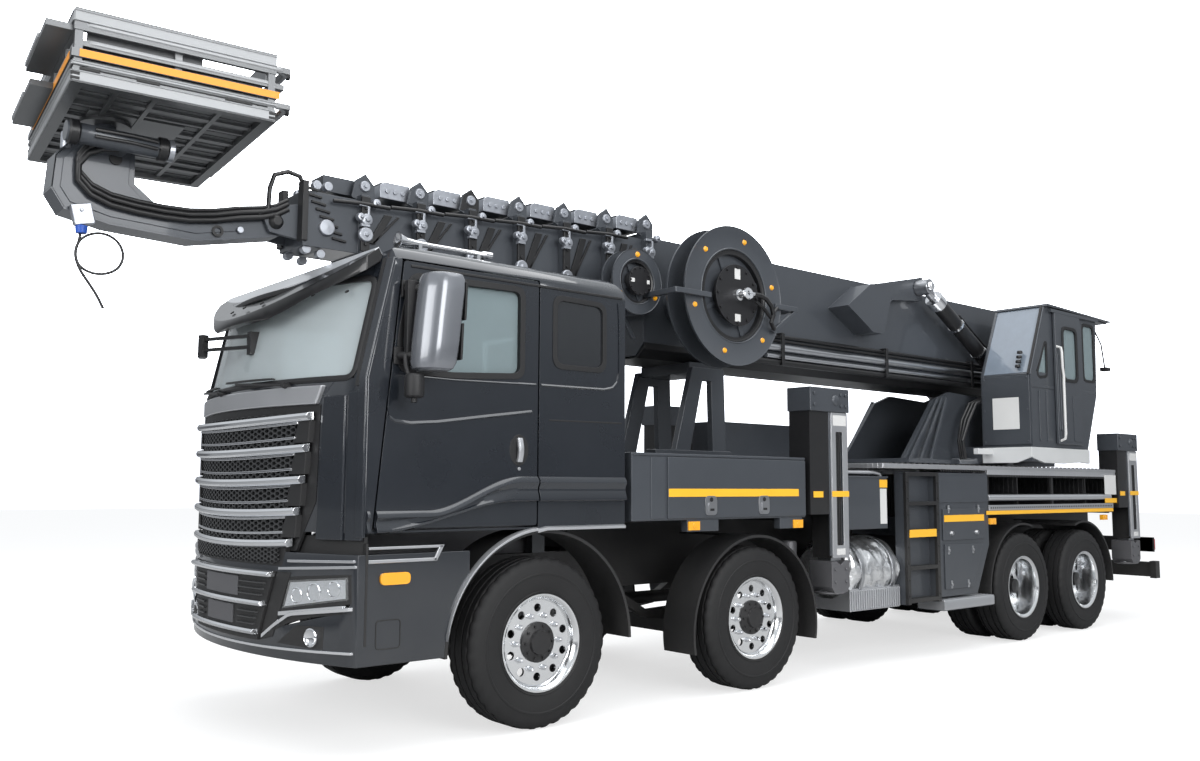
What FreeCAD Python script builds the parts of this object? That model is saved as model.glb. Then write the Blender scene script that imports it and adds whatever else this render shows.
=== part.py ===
import FreeCAD, Part
import Sketcher
import math
import os

# Truck-mounted aerial work platform: an 8x4 lorry with a telescopic boom, two
# pairs of outriggers, an operator's cab on the slewing turret and a folding
# platform on a levelled arm.  +X is forward, +Y is the driver's left, +Z is up.
# The origin is on the ground under the middle of the vehicle.  Millimetres.

SIZES = {
    # axles and wheels
    "axle_one_x": 3205.6,
    "front_axle_spread": 2000,
    "middle_axle_gap": 3970,
    "rear_axle_spread": 1300,
    "wheel_centre_z": 525,
    "tyre_radius": 525,
    "tyre_width": 300,
    "twin_tyre_width": 285,
    "twin_pitch": 335,
    "rim_radius": 286,
    "rim_wall": 14,
    "wheel_outer_y": 1200,
    "hub_radius": 140,
    "hand_hole_radius": 27,
    "hand_hole_circle": 206,
    "hand_holes": 10,
    "kingpin_y": 840,
    "kingpin_radius": 25,
    "spindle_radius": 45,
    "rear_spindle_radius": 60,
    "pin_gap": 0.3,
    # chassis
    "frame_half_width": 420,
    "frame_flange": 80,
    "frame_web": 10,
    "frame_bottom_z": 740,
    "frame_depth": 280,
    "frame_front": 1000,
    "frame_tail": 9050,
    "subframe_depth": 200,
    "subframe_start": 800,
    "beam_axle_depth": 120,
    # driver's cab, measured ahead of axle one
    "cab_half_width": 1220,
    "cab_corner": 1250,
    "cab_nose": 1520,
    "cab_back": 660,
    "cab_sill_z": 1230,
    "cab_floor_z": 1400,
    "cab_belt_z": 2100,
    "cab_roof_z": 2900,
    "cab_rake": 160,
    "cab_wall": 60,
    "cab_roof_round": 150,
    "panel_gap": 8,
    "glass_inset": 22,
    "glass_thickness": 6,
    "seal_gap": 0.5,
    "arch_radius": 722,
    "arch_centre_z": 500,
    "guard_thickness": 20,
    "bumper_bottom_z": 510,
    "bumper_proud": 30,
    # deck and side gear
    "deck_top_z": 1700,
    "deck_thickness": 40,
    "deck_half_width": 1215,
    # outriggers
    "outrigger_front": 2840,
    "outrigger_rear": 8300,
    "outrigger_stagger": 500,
    "beam_width": 300,
    "beam_height": 280,
    "beam_z": 1280,
    "beam_gap": 6,
    "beam_wall": 12,
    "outrigger_box_half_width": 1020,
    "outrigger_box_wall": 20,
    "column_length": 480,
    "column_inner_y": 1030,
    "column_outer_y": 1235,
    "front_column_top_z": 2290,
    "rear_column_top_z": 2110,
    "leg_side": 130,
    "leg_gap": 0.3,
    "foot_z": 640,
    # turret
    "slew_behind": 6620,
    "turntable_radius": 620,
    "turret_base_z": 1745,
    "turret_plate": 45,
    "turret_side_y": 345,
    "turret_side_thickness": 40,
    "boom_pivot_behind": 8350,
    "boom_pivot_z": 3150,
    "boom_pin_radius": 70,
    "lift_pin_behind": 7750,
    "lift_pin_z": 2250,
    "lift_pin_radius": 45,
    "lift_y": 480,
    "lift_barrel_radius": 80,
    "lift_rod_radius": 45,
    "lift_eye_behind": 5470,
    "lift_eye_z": 3560,
    # operator's cab
    "op_inner_y": 620,
    "op_outer_y": 1175,
    "op_wall": 35,
    "op_door_thickness": 30,
    # boom
    "boom_half_width": 330,
    "boom_top_z": 3520,
    "boom_bottom_z": 2550,
    "boom_chamfer": 100,
    "boom_tail": 8650,
    "boom_front": 1650,
    "boom_wall": 10,
    "tunnel_bottom_z": 2925,
    "section_step": 20,
    "section_step_y": 25,
    "section_half_width": 305,
    "section_bottom_z": 2935,
    "section_top_z": 3500,
    "section_wall": 8,
    "section_pitch": 410,
    "section_count": 6,
    "section_tail": 8050,
    "collar_length": 60,
    "collar_proud": 35,
    "reel_behind": 2000,
    "reel_z": 2980,
    "reel_radius": 550,
    "reel_inner_y": 800,
    "reel_width": 200,
    "small_reel_behind": 1220,
    "small_reel_z": 3030,
    "small_reel_radius": 250,
    "reel_shaft_radius": 40,
    # levelled arm and platform
    "jib_pivot_ahead": 1360,
    "jib_pivot_z": 3170,
    "jib_half_width": 90,
    "jib_pin_radius": 30,
    "swing_ahead": 2370,
    "swing_z": 3490,
    "swing_radius": 110,
    "platform_yaw": -5,
    "platform_floor_z": 3595,
    "platform_length": 1070,
    "platform_width": 1690,
    "platform_top_z": 4000,
}

doc = FreeCAD.newDocument("aerial_platform_truck")
sheet = doc.addObject("Spreadsheet::Sheet", "Sizes")


class Size:
    """A length or angle that keeps its value beside its spreadsheet expression."""

    def __init__(self, value, text):
        self.value = float(value)
        self.text = text

    def __add__(self, other):
        other = as_size(other)
        return Size(self.value + other.value, f"({self.text} + {other.text})")

    def __radd__(self, other):
        return as_size(other) + self

    def __sub__(self, other):
        other = as_size(other)
        return Size(self.value - other.value, f"({self.text} - {other.text})")

    def __rsub__(self, other):
        return as_size(other) - self

    def __mul__(self, other):
        other = as_size(other)
        return Size(self.value * other.value, f"({self.text} * {other.text})")

    def __rmul__(self, other):
        return as_size(other) * self

    def __truediv__(self, other):
        other = as_size(other)
        return Size(self.value / other.value, f"({self.text} / {other.text})")

    def __neg__(self):
        return Size(-self.value, f"(0 - {self.text})")


def as_size(number):
    if isinstance(number, Size):
        return number
    return Size(number, repr(number) if number >= 0 else f"(0 - {-number!r})")


def root_of_squares(a, b):
    a, b = as_size(a), as_size(b)
    return Size(math.hypot(a.value, b.value), f"sqrt({a.text}^2 + {b.text}^2)")


def other_leg(longest, b):
    longest, b = as_size(longest), as_size(b)
    value = math.sqrt(longest.value ** 2 - b.value ** 2)
    return Size(value, f"sqrt({longest.text}^2 - {b.text}^2)")


def angle_of(rise, run):
    rise, run = as_size(rise), as_size(run)
    value = math.degrees(math.atan2(rise.value, run.value))
    return Size(value, f"(atan2({rise.text}; {run.text}) / 1deg)")


class Named:
    """The sizes of the sheet, one attribute each."""


s = Named()
for row, (alias, number) in enumerate(SIZES.items(), start=1):
    sheet.set(f"A{row}", alias)
    sheet.set(f"B{row}", str(number))
    sheet.setAlias(f"B{row}", alias)
    setattr(s, alias, Size(number, f"Sizes.{alias}"))
doc.recompute()


# ---------------------------------------------------------------- building blocks

def bind(obj, path, size):
    """Sets a property to a size and ties it to the sheet."""
    size = as_size(size)
    if "Sizes." in size.text:
        obj.setExpression(path, size.text)


def place(obj, x=0, y=0, z=0, turn=None):
    """Puts an object at a point, turned by a fixed rotation."""
    x, y, z = as_size(x), as_size(y), as_size(z)
    turn = turn or FreeCAD.Rotation()
    obj.Placement = FreeCAD.Placement(FreeCAD.Vector(x.value, y.value, z.value), turn)
    for axis, size in (("x", x), ("y", y), ("z", z)):
        bind(obj, f"Placement.Base.{axis}", size)
    return obj


def box(x0, x1, y0, y1, z0, z1):
    """A block between two corners."""
    block = doc.addObject("Part::Box", "Block")
    for prop, low, high in (("Length", x0, x1), ("Width", y0, y1), ("Height", z0, z1)):
        size = as_size(high) - as_size(low)
        setattr(block, prop, size.value)
        bind(block, prop, size)
    return place(block, x0, y0, z0)


TURNS = {
    "X": FreeCAD.Rotation(FreeCAD.Vector(0, 1, 0), 90),
    "Y": FreeCAD.Rotation(FreeCAD.Vector(1, 0, 0), -90),
    "Z": FreeCAD.Rotation(),
}


def rod(axis, radius, x, y, z, length, angle=360):
    """A cylinder whose foot is at x, y, z and which runs along +axis."""
    bar = doc.addObject("Part::Cylinder", "Rod")
    bar.Radius = as_size(radius).value
    bar.Height = as_size(length).value
    bar.Angle = angle
    bind(bar, "Radius", radius)
    bind(bar, "Height", length)
    return place(bar, x, y, z, TURNS[axis])


def tube(axis, outer, inner, x, y, z, length):
    """A round tube with open ends."""
    return cut(rod(axis, outer, x, y, z, length), rod(axis, inner, x, y, z, length))


def cut(base, *tools):
    for tool in tools:
        result = doc.addObject("Part::Cut", "Cut")
        result.Base = base
        result.Tool = tool
        base = result
    return base


def fuse(*pieces):
    result = doc.addObject("Part::MultiFuse", "Fuse")
    result.Shapes = list(pieces)
    result.Refine = True
    return result


def common(first, *others):
    for other in others:
        result = doc.addObject("Part::Common", "Common")
        result.Base = first
        result.Tool = other
        first = result
    return first


def group(*pieces):
    """Pieces of one node that don't touch."""
    result = doc.addObject("Part::Compound", "Group")
    result.Links = list(pieces)
    return result


def across(piece):
    """The same piece on the other side of the vehicle."""
    mirror = doc.addObject("Part::Mirroring", "Across")
    mirror.Source = piece
    mirror.Normal = FreeCAD.Vector(0, 1, 0)
    return mirror


def both_sides(piece):
    return [piece, across(piece)]


PLANES = {"plan": ("XY_Plane", 1), "side": ("XZ_Plane", -1), "front": ("YZ_Plane", 1)}


def outline(body, plane, points, level):
    """A closed sketch of straight runs, each corner tied to the sheet."""
    role, sense = PLANES[plane]
    sketch = body.newObject("Sketcher::SketchObject", "Outline")
    datum = next(f for f in body.Origin.OriginFeatures if f.Role == role)
    sketch.AttachmentSupport = (datum, "")
    sketch.MapMode = "FlatFace"
    level = as_size(level) * sense
    sketch.AttachmentOffset = FreeCAD.Placement(
        FreeCAD.Vector(0, 0, level.value), FreeCAD.Rotation())
    bind(sketch, "AttachmentOffset.Base.z", level)
    corners = [(as_size(u), as_size(v)) for u, v in points]
    ends = [FreeCAD.Vector(u.value, v.value, 0) for u, v in corners]
    lines = [Part.LineSegment(a, b) for a, b in zip(ends, ends[1:] + ends[:1])]
    sketch.addGeometry(lines, False)
    count = len(corners)
    rules = [joined(i, (i + 1) % count) for i in range(count)]
    for i, (u, v) in enumerate(corners):
        rules.append(set_at("DistanceX", i, u))
        rules.append(set_at("DistanceY", i, v))
    sketch.addConstraint(rules)
    for i, corner in enumerate(corners):
        for j, size in enumerate(corner):
            bind(sketch, f"Constraints[{count + 2 * i + j}]", size)
    return sketch


def joined(a, b):
    return Sketcher.Constraint("Coincident", a, 2, b, 1)


def set_at(kind, corner, size):
    return Sketcher.Constraint(kind, -1, 1, corner, 1, size.value)


def pad(plane, points, low, high):
    """An outline drawn in a plane and padded between two levels across it."""
    low, high = as_size(low), as_size(high)
    body = doc.addObject("PartDesign::Body", "Body")
    sense = PLANES[plane][1]
    sketch = outline(body, plane, points, low if sense > 0 else high)
    feature = body.newObject("PartDesign::Pad", "Pad")
    feature.Profile = sketch
    feature.Length = high.value - low.value
    bind(feature, "Length", high - low)
    body.Tip = feature
    return body


def revolve(points, x, y, z, side=1):
    """A round piece about a crossways axis: radius and distance outboard."""
    body = doc.addObject("PartDesign::Body", "Body")
    sketch = outline(body, "front", [(v * side, u) for u, v in points], 0)
    feature = body.newObject("PartDesign::Revolution", "Turned")
    feature.Profile = sketch
    feature.ReferenceAxis = (sketch, ["H_Axis"])
    feature.Angle = 360
    body.Tip = feature
    return place(body, x, y, z)


def node(name, piece):
    """Names a sub-part: its label is its file's name."""
    piece.Label = name
    nodes.append(piece)
    return piece


nodes = []


def behind(distance):
    """A position so far behind axle one."""
    return s.axle_one_x - distance


def ahead(distance):
    return s.axle_one_x + distance


axle_two_x = s.axle_one_x - s.front_axle_spread
axle_three_x = axle_two_x - s.middle_axle_gap
axle_four_x = axle_three_x - s.rear_axle_spread
frame_top_z = s.frame_bottom_z + s.frame_depth
subframe_top_z = frame_top_z + s.subframe_depth
frame_inner_y = s.frame_half_width - s.frame_flange
frame_rear_x = behind(s.frame_tail)


# ---------------------------------------------------------------- chassis frame

def rail(side):
    """A channel with its open side inwards."""
    outer = s.frame_half_width
    web = outer - s.frame_web
    top, low = frame_top_z, s.frame_bottom_z
    profile = [
        (outer, low), (outer, top), (frame_inner_y, top), (frame_inner_y, top - s.frame_web),
        (web, top - s.frame_web), (web, low + s.frame_web), (frame_inner_y, low + s.frame_web),
        (frame_inner_y, low),
    ]
    channel = pad("front", profile, frame_rear_x, ahead(s.frame_front))
    return channel if side > 0 else across(channel)


cross_inset = 30
cross_places = [
    ahead(s.frame_front) - 90, behind(1750), axle_two_x - 750, behind(4300),
    axle_three_x + 620, (axle_three_x + axle_four_x) / 2, axle_four_x - 620,
    frame_rear_x + 60,
]
web_y = s.frame_half_width - s.frame_web
cross_members = [
    box(x - 60, x + 60, -web_y, web_y, s.frame_bottom_z + cross_inset, frame_top_z - cross_inset)
    for x in cross_places
]
node("chassis_frame", fuse(rail(1), rail(-1), *cross_members))


# ---------------------------------------------------------------- subframe and outrigger boxes

left_front_x = behind(s.outrigger_front)
right_front_x = left_front_x - s.outrigger_stagger
left_rear_x = behind(s.outrigger_rear)
right_rear_x = left_rear_x - s.outrigger_stagger
tunnel_half = s.beam_width / 2 + s.beam_gap
tunnel_low_z = s.beam_z - s.pin_gap
tunnel_high_z = s.beam_z + s.beam_height + s.beam_gap
box_low_z = subframe_top_z
box_high_z = tunnel_high_z + s.outrigger_box_wall


def outrigger_box(left_x, right_x):
    """A cross box with one tunnel for each beam, side by side."""
    reach = s.outrigger_box_half_width
    wall = s.outrigger_box_wall
    shell = box(right_x - tunnel_half - wall, left_x + tunnel_half + wall,
                -reach, reach, box_low_z, box_high_z)
    tunnels = [
        box(x - tunnel_half, x + tunnel_half, -reach - 1, reach + 1, tunnel_low_z, tunnel_high_z)
        for x in (left_x, right_x)
    ]
    return cut(shell, *tunnels)


subframe_front_x = behind(s.subframe_start)
slew_x = behind(s.slew_behind)
beams = [
    piece
    for piece in both_sides(
        box(frame_rear_x, subframe_front_x, frame_inner_y, s.frame_half_width,
            frame_top_z, subframe_top_z))
]
bearers = [
    box(x - 40, x + 40, -s.frame_half_width, s.frame_half_width, frame_top_z + 20, subframe_top_z)
    for x in (behind(900), behind(2000), behind(4200), behind(5200), behind(7900))
]
pedestal_top_z = s.turret_base_z - s.pin_gap
pedestal = rod("Z", s.turntable_radius, slew_x, 0, subframe_top_z, pedestal_top_z - subframe_top_z)
pedestal_foot = box(slew_x - 800, slew_x + 800, -s.frame_half_width, s.frame_half_width,
                    frame_top_z, subframe_top_z + 60)
node("subframe", fuse(
    *beams, *bearers, outrigger_box(left_front_x, right_front_x),
    outrigger_box(left_rear_x, right_rear_x), pedestal, pedestal_foot))


# ---------------------------------------------------------------- outriggers

def outrigger(name, x, side, top_z, low_z):
    """A beam that slides out, with a column at its end for the leg."""
    half = s.beam_width / 2
    inner = -s.outrigger_box_half_width + 20
    hollow = s.beam_wall
    beam = cut(
        box(x - half, x + half, inner, s.column_inner_y, s.beam_z, s.beam_z + s.beam_height),
        box(x - half + hollow, x + half - hollow, inner - 1, s.column_inner_y - 40,
            s.beam_z + hollow, s.beam_z + s.beam_height - hollow))
    column_half = s.column_length / 2
    leg_x = x - s.column_length / 4
    socket = s.leg_side / 2 + s.leg_gap
    middle_y = (s.column_inner_y + s.column_outer_y) / 2
    column = box(x - column_half, x + column_half, s.column_inner_y, s.column_outer_y,
                 s.beam_z, top_z)
    skirt = box(leg_x - socket - 20, leg_x + socket + 20, s.column_inner_y, s.column_outer_y,
                low_z, s.beam_z)
    bore = box(leg_x - socket, leg_x + socket, middle_y - socket, middle_y + socket,
               low_z - 1, top_z - 180)
    arm = cut(fuse(beam, column, skirt), bore)
    half_leg = s.leg_side / 2
    leg = fuse(
        box(leg_x - half_leg, leg_x + half_leg, middle_y - half_leg, middle_y + half_leg,
            s.foot_z + 30, top_z - 200),
        rod("Z", half_leg + 30, leg_x, middle_y, s.foot_z, 40))
    if side < 0:
        arm, leg = across(arm), across(leg)
    node(f"outrigger_beam_{name}", arm)
    node(f"outrigger_leg_{name}", leg)


outrigger("front_left", left_front_x, 1, s.front_column_top_z, s.beam_z - 350)
outrigger("front_right", right_front_x, -1, s.front_column_top_z, s.beam_z - 350)
outrigger("rear_left", left_rear_x, 1, s.rear_column_top_z, s.beam_z - 350)
outrigger("rear_right", right_rear_x, -1, s.rear_column_top_z, s.beam_z - 350)


# ---------------------------------------------------------------- axles and springs

beam_low_z = s.wheel_centre_z - 195
boss_half = 65
boss_radius = s.kingpin_radius + 25


def steering_axle(x):
    """A dropped forged beam with an upright boss for each kingpin."""
    low, depth = beam_low_z, s.beam_axle_depth
    tip = s.kingpin_y - 20
    top = s.wheel_centre_z + boss_half - 10
    profile = [
        (-tip, top - 110), (-tip + 65, top - 110), (-tip + 210, low), (tip - 210, low),
        (tip - 65, top - 110), (tip, top - 110), (tip, top), (tip - 60, top),
        (tip - 230, low + depth), (-tip + 230, low + depth), (-tip + 60, top), (-tip, top),
    ]
    forging = pad("front", profile, x - 50, x + 50)
    bosses = [
        rod("Z", boss_radius, x, side * s.kingpin_y, s.wheel_centre_z - boss_half, 2 * boss_half)
        for side in (1, -1)
    ]
    bores = [
        rod("Z", s.kingpin_radius + s.pin_gap, x, side * s.kingpin_y,
            s.wheel_centre_z - boss_half - 200, 2 * boss_half + 400)
        for side in (1, -1)
    ]
    return cut(fuse(forging, *bosses), *bores)


spring_y = s.frame_half_width - s.frame_flange / 2
spring_half_width = 38


def leaf_spring(x, reach, seat_z, depth):
    """A leaf pack that bows down from its shackles to the axle."""
    eye = s.frame_bottom_z
    profile = [
        (x - reach, eye), (x - reach, eye - 60), (x - reach / 2, seat_z + depth / 3),
        (x - 120, seat_z), (x + 120, seat_z), (x + reach / 2, seat_z + depth / 3),
        (x + reach, eye - 60), (x + reach, eye), (x + reach - 40, eye),
        (x + reach / 2, seat_z + depth), (x + 100, seat_z + depth + 10),
        (x - 100, seat_z + depth + 10), (x - reach / 2, seat_z + depth), (x - reach + 40, eye),
    ]
    return pad("side", profile, spring_y - spring_half_width, spring_y + spring_half_width)


front_seat_z = beam_low_z + s.beam_axle_depth
front_springs = [
    piece
    for x in (s.axle_one_x, axle_two_x)
    for piece in both_sides(leaf_spring(x, 780, front_seat_z, 90))
]
rear_seat_z = s.wheel_centre_z + 75
bogie_middle_x = (axle_three_x + axle_four_x) / 2
bogie_reach = s.rear_axle_spread / 2


def bogie_spring():
    """One pack over both rear axles, hung on a trunnion at its middle."""
    low = rear_seat_z
    profile = [
        (bogie_middle_x - bogie_reach - 60, low), (bogie_middle_x + bogie_reach + 60, low),
        (bogie_middle_x + 150, low + 140), (bogie_middle_x - 150, low + 140),
    ]
    return pad("side", profile, spring_y - spring_half_width, spring_y + spring_half_width)


def drive_axle(x):
    """A banjo housing with a tube out to each pair of wheels."""
    housing = rod("Y", 78, x, -(s.wheel_outer_y - 640), s.wheel_centre_z, 2 * (s.wheel_outer_y - 640))
    spindle = rod("Y", s.rear_spindle_radius, x, -(s.wheel_outer_y - 190), s.wheel_centre_z,
                  2 * (s.wheel_outer_y - 190))
    banjo = rod("X", 215, x - 110, 0, s.wheel_centre_z, 220)
    return fuse(housing, spindle, banjo)


shaft_x = behind(1560)
propeller_shaft = rod("X", 50, axle_four_x, 0, s.wheel_centre_z + 60, shaft_x - axle_four_x)
rear_bogie = fuse(
    drive_axle(axle_three_x), drive_axle(axle_four_x), *both_sides(bogie_spring()),
    propeller_shaft)
node("axles", group(
    fuse(steering_axle(s.axle_one_x), *front_springs[:2]),
    fuse(steering_axle(axle_two_x), *front_springs[2:]),
    rear_bogie))


# ---------------------------------------------------------------- steering knuckles

def knuckle(name, x, side):
    """A fork round the axle's boss, with its kingpin and wheel spindle."""
    centre = s.wheel_centre_z
    low, high = centre - boss_half - s.pin_gap, centre + boss_half + s.pin_gap
    kingpin = rod("Z", s.kingpin_radius, x, s.kingpin_y, low - 30, high - low + 60)
    back = s.kingpin_y + boss_radius + 6
    lugs = [
        box(x - 42, x + 42, s.kingpin_y - 42, back + 5, z, z + 34)
        for z in (low - 34, high)
    ]
    plate = box(x - 60, x + 60, back, back + 24, low - 34, high + 34)
    spindle = rod("Y", s.spindle_radius, x, back, centre, s.wheel_outer_y - 58 - back)
    arm = box(x - 170, x - 30, s.kingpin_y - 20, s.kingpin_y + 20, low - 60, low - 30)
    piece = fuse(kingpin, *lugs, plate, spindle, arm)
    node(f"knuckle_{name}", piece if side > 0 else across(piece))


for axle, x in (("front", s.axle_one_x), ("second", axle_two_x)):
    knuckle(f"{axle}_left", x, 1)
    knuckle(f"{axle}_right", x, -1)


# ---------------------------------------------------------------- wheels

rim_inner = s.rim_radius - s.rim_wall
flange_radius = s.rim_radius + 12


def tyre_profile(start, width):
    """Radius and distance outboard, from the inner bead to the outer one."""
    r = s.tyre_radius
    left = [(flange_radius, 10), (flange_radius + 100, 0), (r - 30, 8), (r, 45)]
    right = [(radius, as_size(width) - y) for radius, y in reversed(left)]
    return [(radius, start + y) for radius, y in left + right]


def wheel_holes(x, y0, y1):
    """The round hand holes through a wheel's disc."""
    holes = []
    for i in range(SIZES["hand_holes"]):
        turn = 2 * math.pi * i / SIZES["hand_holes"]
        holes.append(rod(
            "Y", s.hand_hole_radius, x + s.hand_hole_circle * math.cos(turn), y0,
            s.wheel_centre_z + s.hand_hole_circle * math.sin(turn), as_size(y1) - y0))
    return fuse(*holes)


def front_wheel(name, x, side):
    """A single tyre on a rim whose disc bulges outwards, with hub and drum."""
    bore = s.spindle_radius + s.pin_gap
    width = s.tyre_width
    disc_low, disc_high = width - 115, width - 95
    drum = 205
    points = [
        (bore, 40), (drum, 60), (drum, disc_low), (rim_inner, disc_low), (rim_inner, 14),
        *tyre_profile(0, width),
        (rim_inner, width - 14), (rim_inner, disc_high), (s.hub_radius, disc_high),
        (s.hub_radius - 40, width - 15), (0, width - 15), (0, width - 50), (bore, width - 50),
    ]
    inner_y = s.wheel_outer_y - width
    y = inner_y if side > 0 else -inner_y
    turned = revolve(points, x, y, s.wheel_centre_z, side)
    low = s.wheel_outer_y - 135
    holes = wheel_holes(x, low if side > 0 else -low - 60, low + 60 if side > 0 else -low)
    node(f"wheel_{name}", cut(turned, holes))


def twin_wheel(name, x, side):
    """Two tyres on one hub, the outer rim's disc set deep."""
    bore = s.rear_spindle_radius + s.pin_gap
    width = s.twin_tyre_width
    pitch = s.twin_pitch
    disc_low, disc_high = width + 5, width + 35
    total = pitch + width
    drum = 210
    waist = s.rim_radius + 2
    points = [
        (bore, 20), (drum, 60), (drum, disc_low), (rim_inner, disc_low), (rim_inner, 14),
        *tyre_profile(0, width),
        (waist, width - 14), (waist, pitch + 14),
        *tyre_profile(pitch, width),
        (rim_inner, total - 14), (rim_inner, disc_high), (s.hub_radius, disc_high),
        (s.hub_radius - 40, total - 40), (0, total - 40), (0, total - 70), (bore, total - 70),
    ]
    inner_y = s.wheel_outer_y - total
    y = inner_y if side > 0 else -inner_y
    turned = revolve(points, x, y, s.wheel_centre_z, side)
    low = inner_y + disc_low - 10
    holes = wheel_holes(x, low if side > 0 else -low - 60, low + 60 if side > 0 else -low)
    node(f"wheel_{name}", cut(turned, holes))


for axle, x in (("front", s.axle_one_x), ("second", axle_two_x)):
    front_wheel(f"{axle}_left", x, 1)
    front_wheel(f"{axle}_right", x, -1)
for axle, x in (("third", axle_three_x), ("rear", axle_four_x)):
    twin_wheel(f"{axle}_left", x, 1)
    twin_wheel(f"{axle}_right", x, -1)


# ---------------------------------------------------------------- engine

engine_half_width = 310
engine = box(behind(520), ahead(760), -engine_half_width, engine_half_width, 660, 1360)
gearbox = box(shaft_x, behind(520), -210, 210, 480, 960)
engine_feet = [
    piece
    for x in (behind(300), ahead(500))
    for piece in both_sides(box(x, x + 90, engine_half_width, web_y, 840, 900))
]
node("engine_block", fuse(engine, gearbox, *engine_feet))


# ---------------------------------------------------------------- driver's cab

cab_sag = s.cab_nose - s.cab_corner
nose_radius = (s.cab_half_width * s.cab_half_width + cab_sag * cab_sag) / (2 * cab_sag)
nose_centre_x = ahead(s.cab_nose) - nose_radius
upper_height = s.cab_roof_z - s.cab_belt_z


def rounded(piece, radius, wanted):
    """Rounds the edges that a test picks out."""
    doc.recompute()
    result = doc.addObject("Part::Fillet", "Rounded")
    result.Base = piece
    value = as_size(radius).value
    result.Edges = [
        (i, value, value) for i, edge in enumerate(piece.Shape.Edges, start=1) if wanted(edge)
    ]
    return result


def top_edge(piece):
    """Picks a block's top edges that run fore and aft, and its rear top one."""
    frame = piece.Shape.BoundBox

    def wanted(edge):
        box_ = edge.BoundBox
        if box_.ZMin < frame.ZMax - 0.01:
            return False
        return box_.YLength < 0.01 or box_.XMax < frame.XMin + 0.01
    return wanted


def cab_volume(inset, low_z, high_z):
    """The cab's outer form, drawn in by an inset, between two levels."""
    inset = as_size(inset)
    back = behind(s.cab_back) + inset
    half = s.cab_half_width - inset
    high_z = as_size(high_z)
    block = box(back, ahead(s.cab_nose) + 100, -half, half, low_z, high_z)
    doc.recompute()
    block = rounded(block, s.cab_roof_round - inset, top_edge(block))
    lower = rod("Z", nose_radius - inset, nose_centre_x, 0, as_size(low_z) - 10,
                s.cab_belt_z - low_z + 10)
    upper = doc.addObject("Part::Cone", "Raked")
    upper.Angle = 360
    for prop, size in (("Radius1", nose_radius - inset), ("Height", upper_height),
                       ("Radius2", nose_radius - inset - s.cab_rake)):
        setattr(upper, prop, size.value)
        bind(upper, prop, size)
    place(upper, nose_centre_x, 0, s.cab_belt_z)
    brow = pad("side", [
        (behind(s.cab_back) - 10, low_z - as_size(10)), (ahead(s.cab_nose) + 50, low_z - as_size(10)),
        (ahead(s.cab_nose) + 50, 2640 - inset), (ahead(1400) - inset, 2690 - inset),
        (ahead(1080) - inset, s.cab_roof_z - 35 - inset), (ahead(780), s.cab_roof_z - inset),
        (behind(s.cab_back) - 10, s.cab_roof_z - inset),
    ], -s.cab_half_width - 10, s.cab_half_width + 10)
    return common(block, fuse(lower, upper), brow)


cab_floor_top_z = s.cab_floor_z + s.cab_wall
cab_outer = cab_volume(0, s.cab_sill_z, s.cab_roof_z)
cab_inner = cab_volume(s.cab_wall, cab_floor_top_z, s.cab_roof_z - s.cab_wall)
cab_under = common(
    box(behind(s.cab_back) + s.cab_wall, ahead(s.cab_nose), -s.cab_half_width + s.cab_wall,
        s.cab_half_width - s.cab_wall, s.cab_sill_z - 10, s.cab_floor_z),
    rod("Z", nose_radius - s.cab_wall, nose_centre_x, 0, s.cab_sill_z - 20, 400))
cab_skin = cut(cab_outer, cab_inner, cab_under)

door_low_z, door_high_z = 1250, 2790
door_rear, door_front_low, door_front_high = 70, 1200, 1045


def door_prism(grow, side):
    """The driver's door as a block through the cab's side."""
    points = [
        (ahead(door_rear) - grow, door_low_z - as_size(grow)),
        (ahead(door_front_low) + grow, door_low_z - as_size(grow)),
        (ahead(door_front_high) + grow, door_high_z + as_size(grow)),
        (ahead(door_rear) - grow, door_high_z + as_size(grow)),
    ]
    inner, outer = s.cab_half_width - s.cab_wall - 10, s.cab_half_width + 40
    return pad("side", points, *((inner, outer) if side > 0 else (-outer, -inner)))


door_window = [
    (ahead(205), 2180), (ahead(700), 2150), (ahead(1045), 2160), (ahead(1055), 2330),
    (ahead(985), 2700), (ahead(205), 2712),
]
rear_window = [(behind(470), 2262), (behind(62), 2262), (behind(62), 2700), (behind(470), 2690)]
windscreen_low_z, windscreen_high_z = 2095, 2690
windscreen_half = s.cab_half_width - 95


def through_side(points, grow=0):
    """A window's block through both sides of the cab, drawn in or out from its middle."""
    middle_u = sum(as_size(u).value for u, v in points) / len(points)
    middle_v = sum(as_size(v).value for u, v in points) / len(points)
    moved = [
        (u + (grow if as_size(u).value > middle_u else -grow),
         v + (grow if as_size(v).value > middle_v else -grow))
        for u, v in points
    ]
    return pad("side", moved, -s.cab_half_width - 40, s.cab_half_width + 40)


def windscreen_block(grow):
    return box(ahead(880), ahead(1700), -windscreen_half - grow, windscreen_half + grow,
               windscreen_low_z - grow, windscreen_high_z + grow)


def back_window_block(grow):
    return box(behind(s.cab_back) - 50, behind(s.cab_back) + 150, -500 - grow, 500 + grow,
               2300 - grow, 2640 + grow)


mount_boxes = [
    piece
    for x in (behind(600), ahead(830))
    for piece in both_sides(
        box(x, x + 110, frame_inner_y, s.frame_half_width, frame_top_z, s.cab_floor_z + 1))
]
cab_open = cut(
    cab_skin, door_prism(s.panel_gap, 1), door_prism(s.panel_gap, -1),
    through_side(rear_window), windscreen_block(0), back_window_block(0))
node("cab_shell", fuse(cab_open, *mount_boxes))

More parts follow.
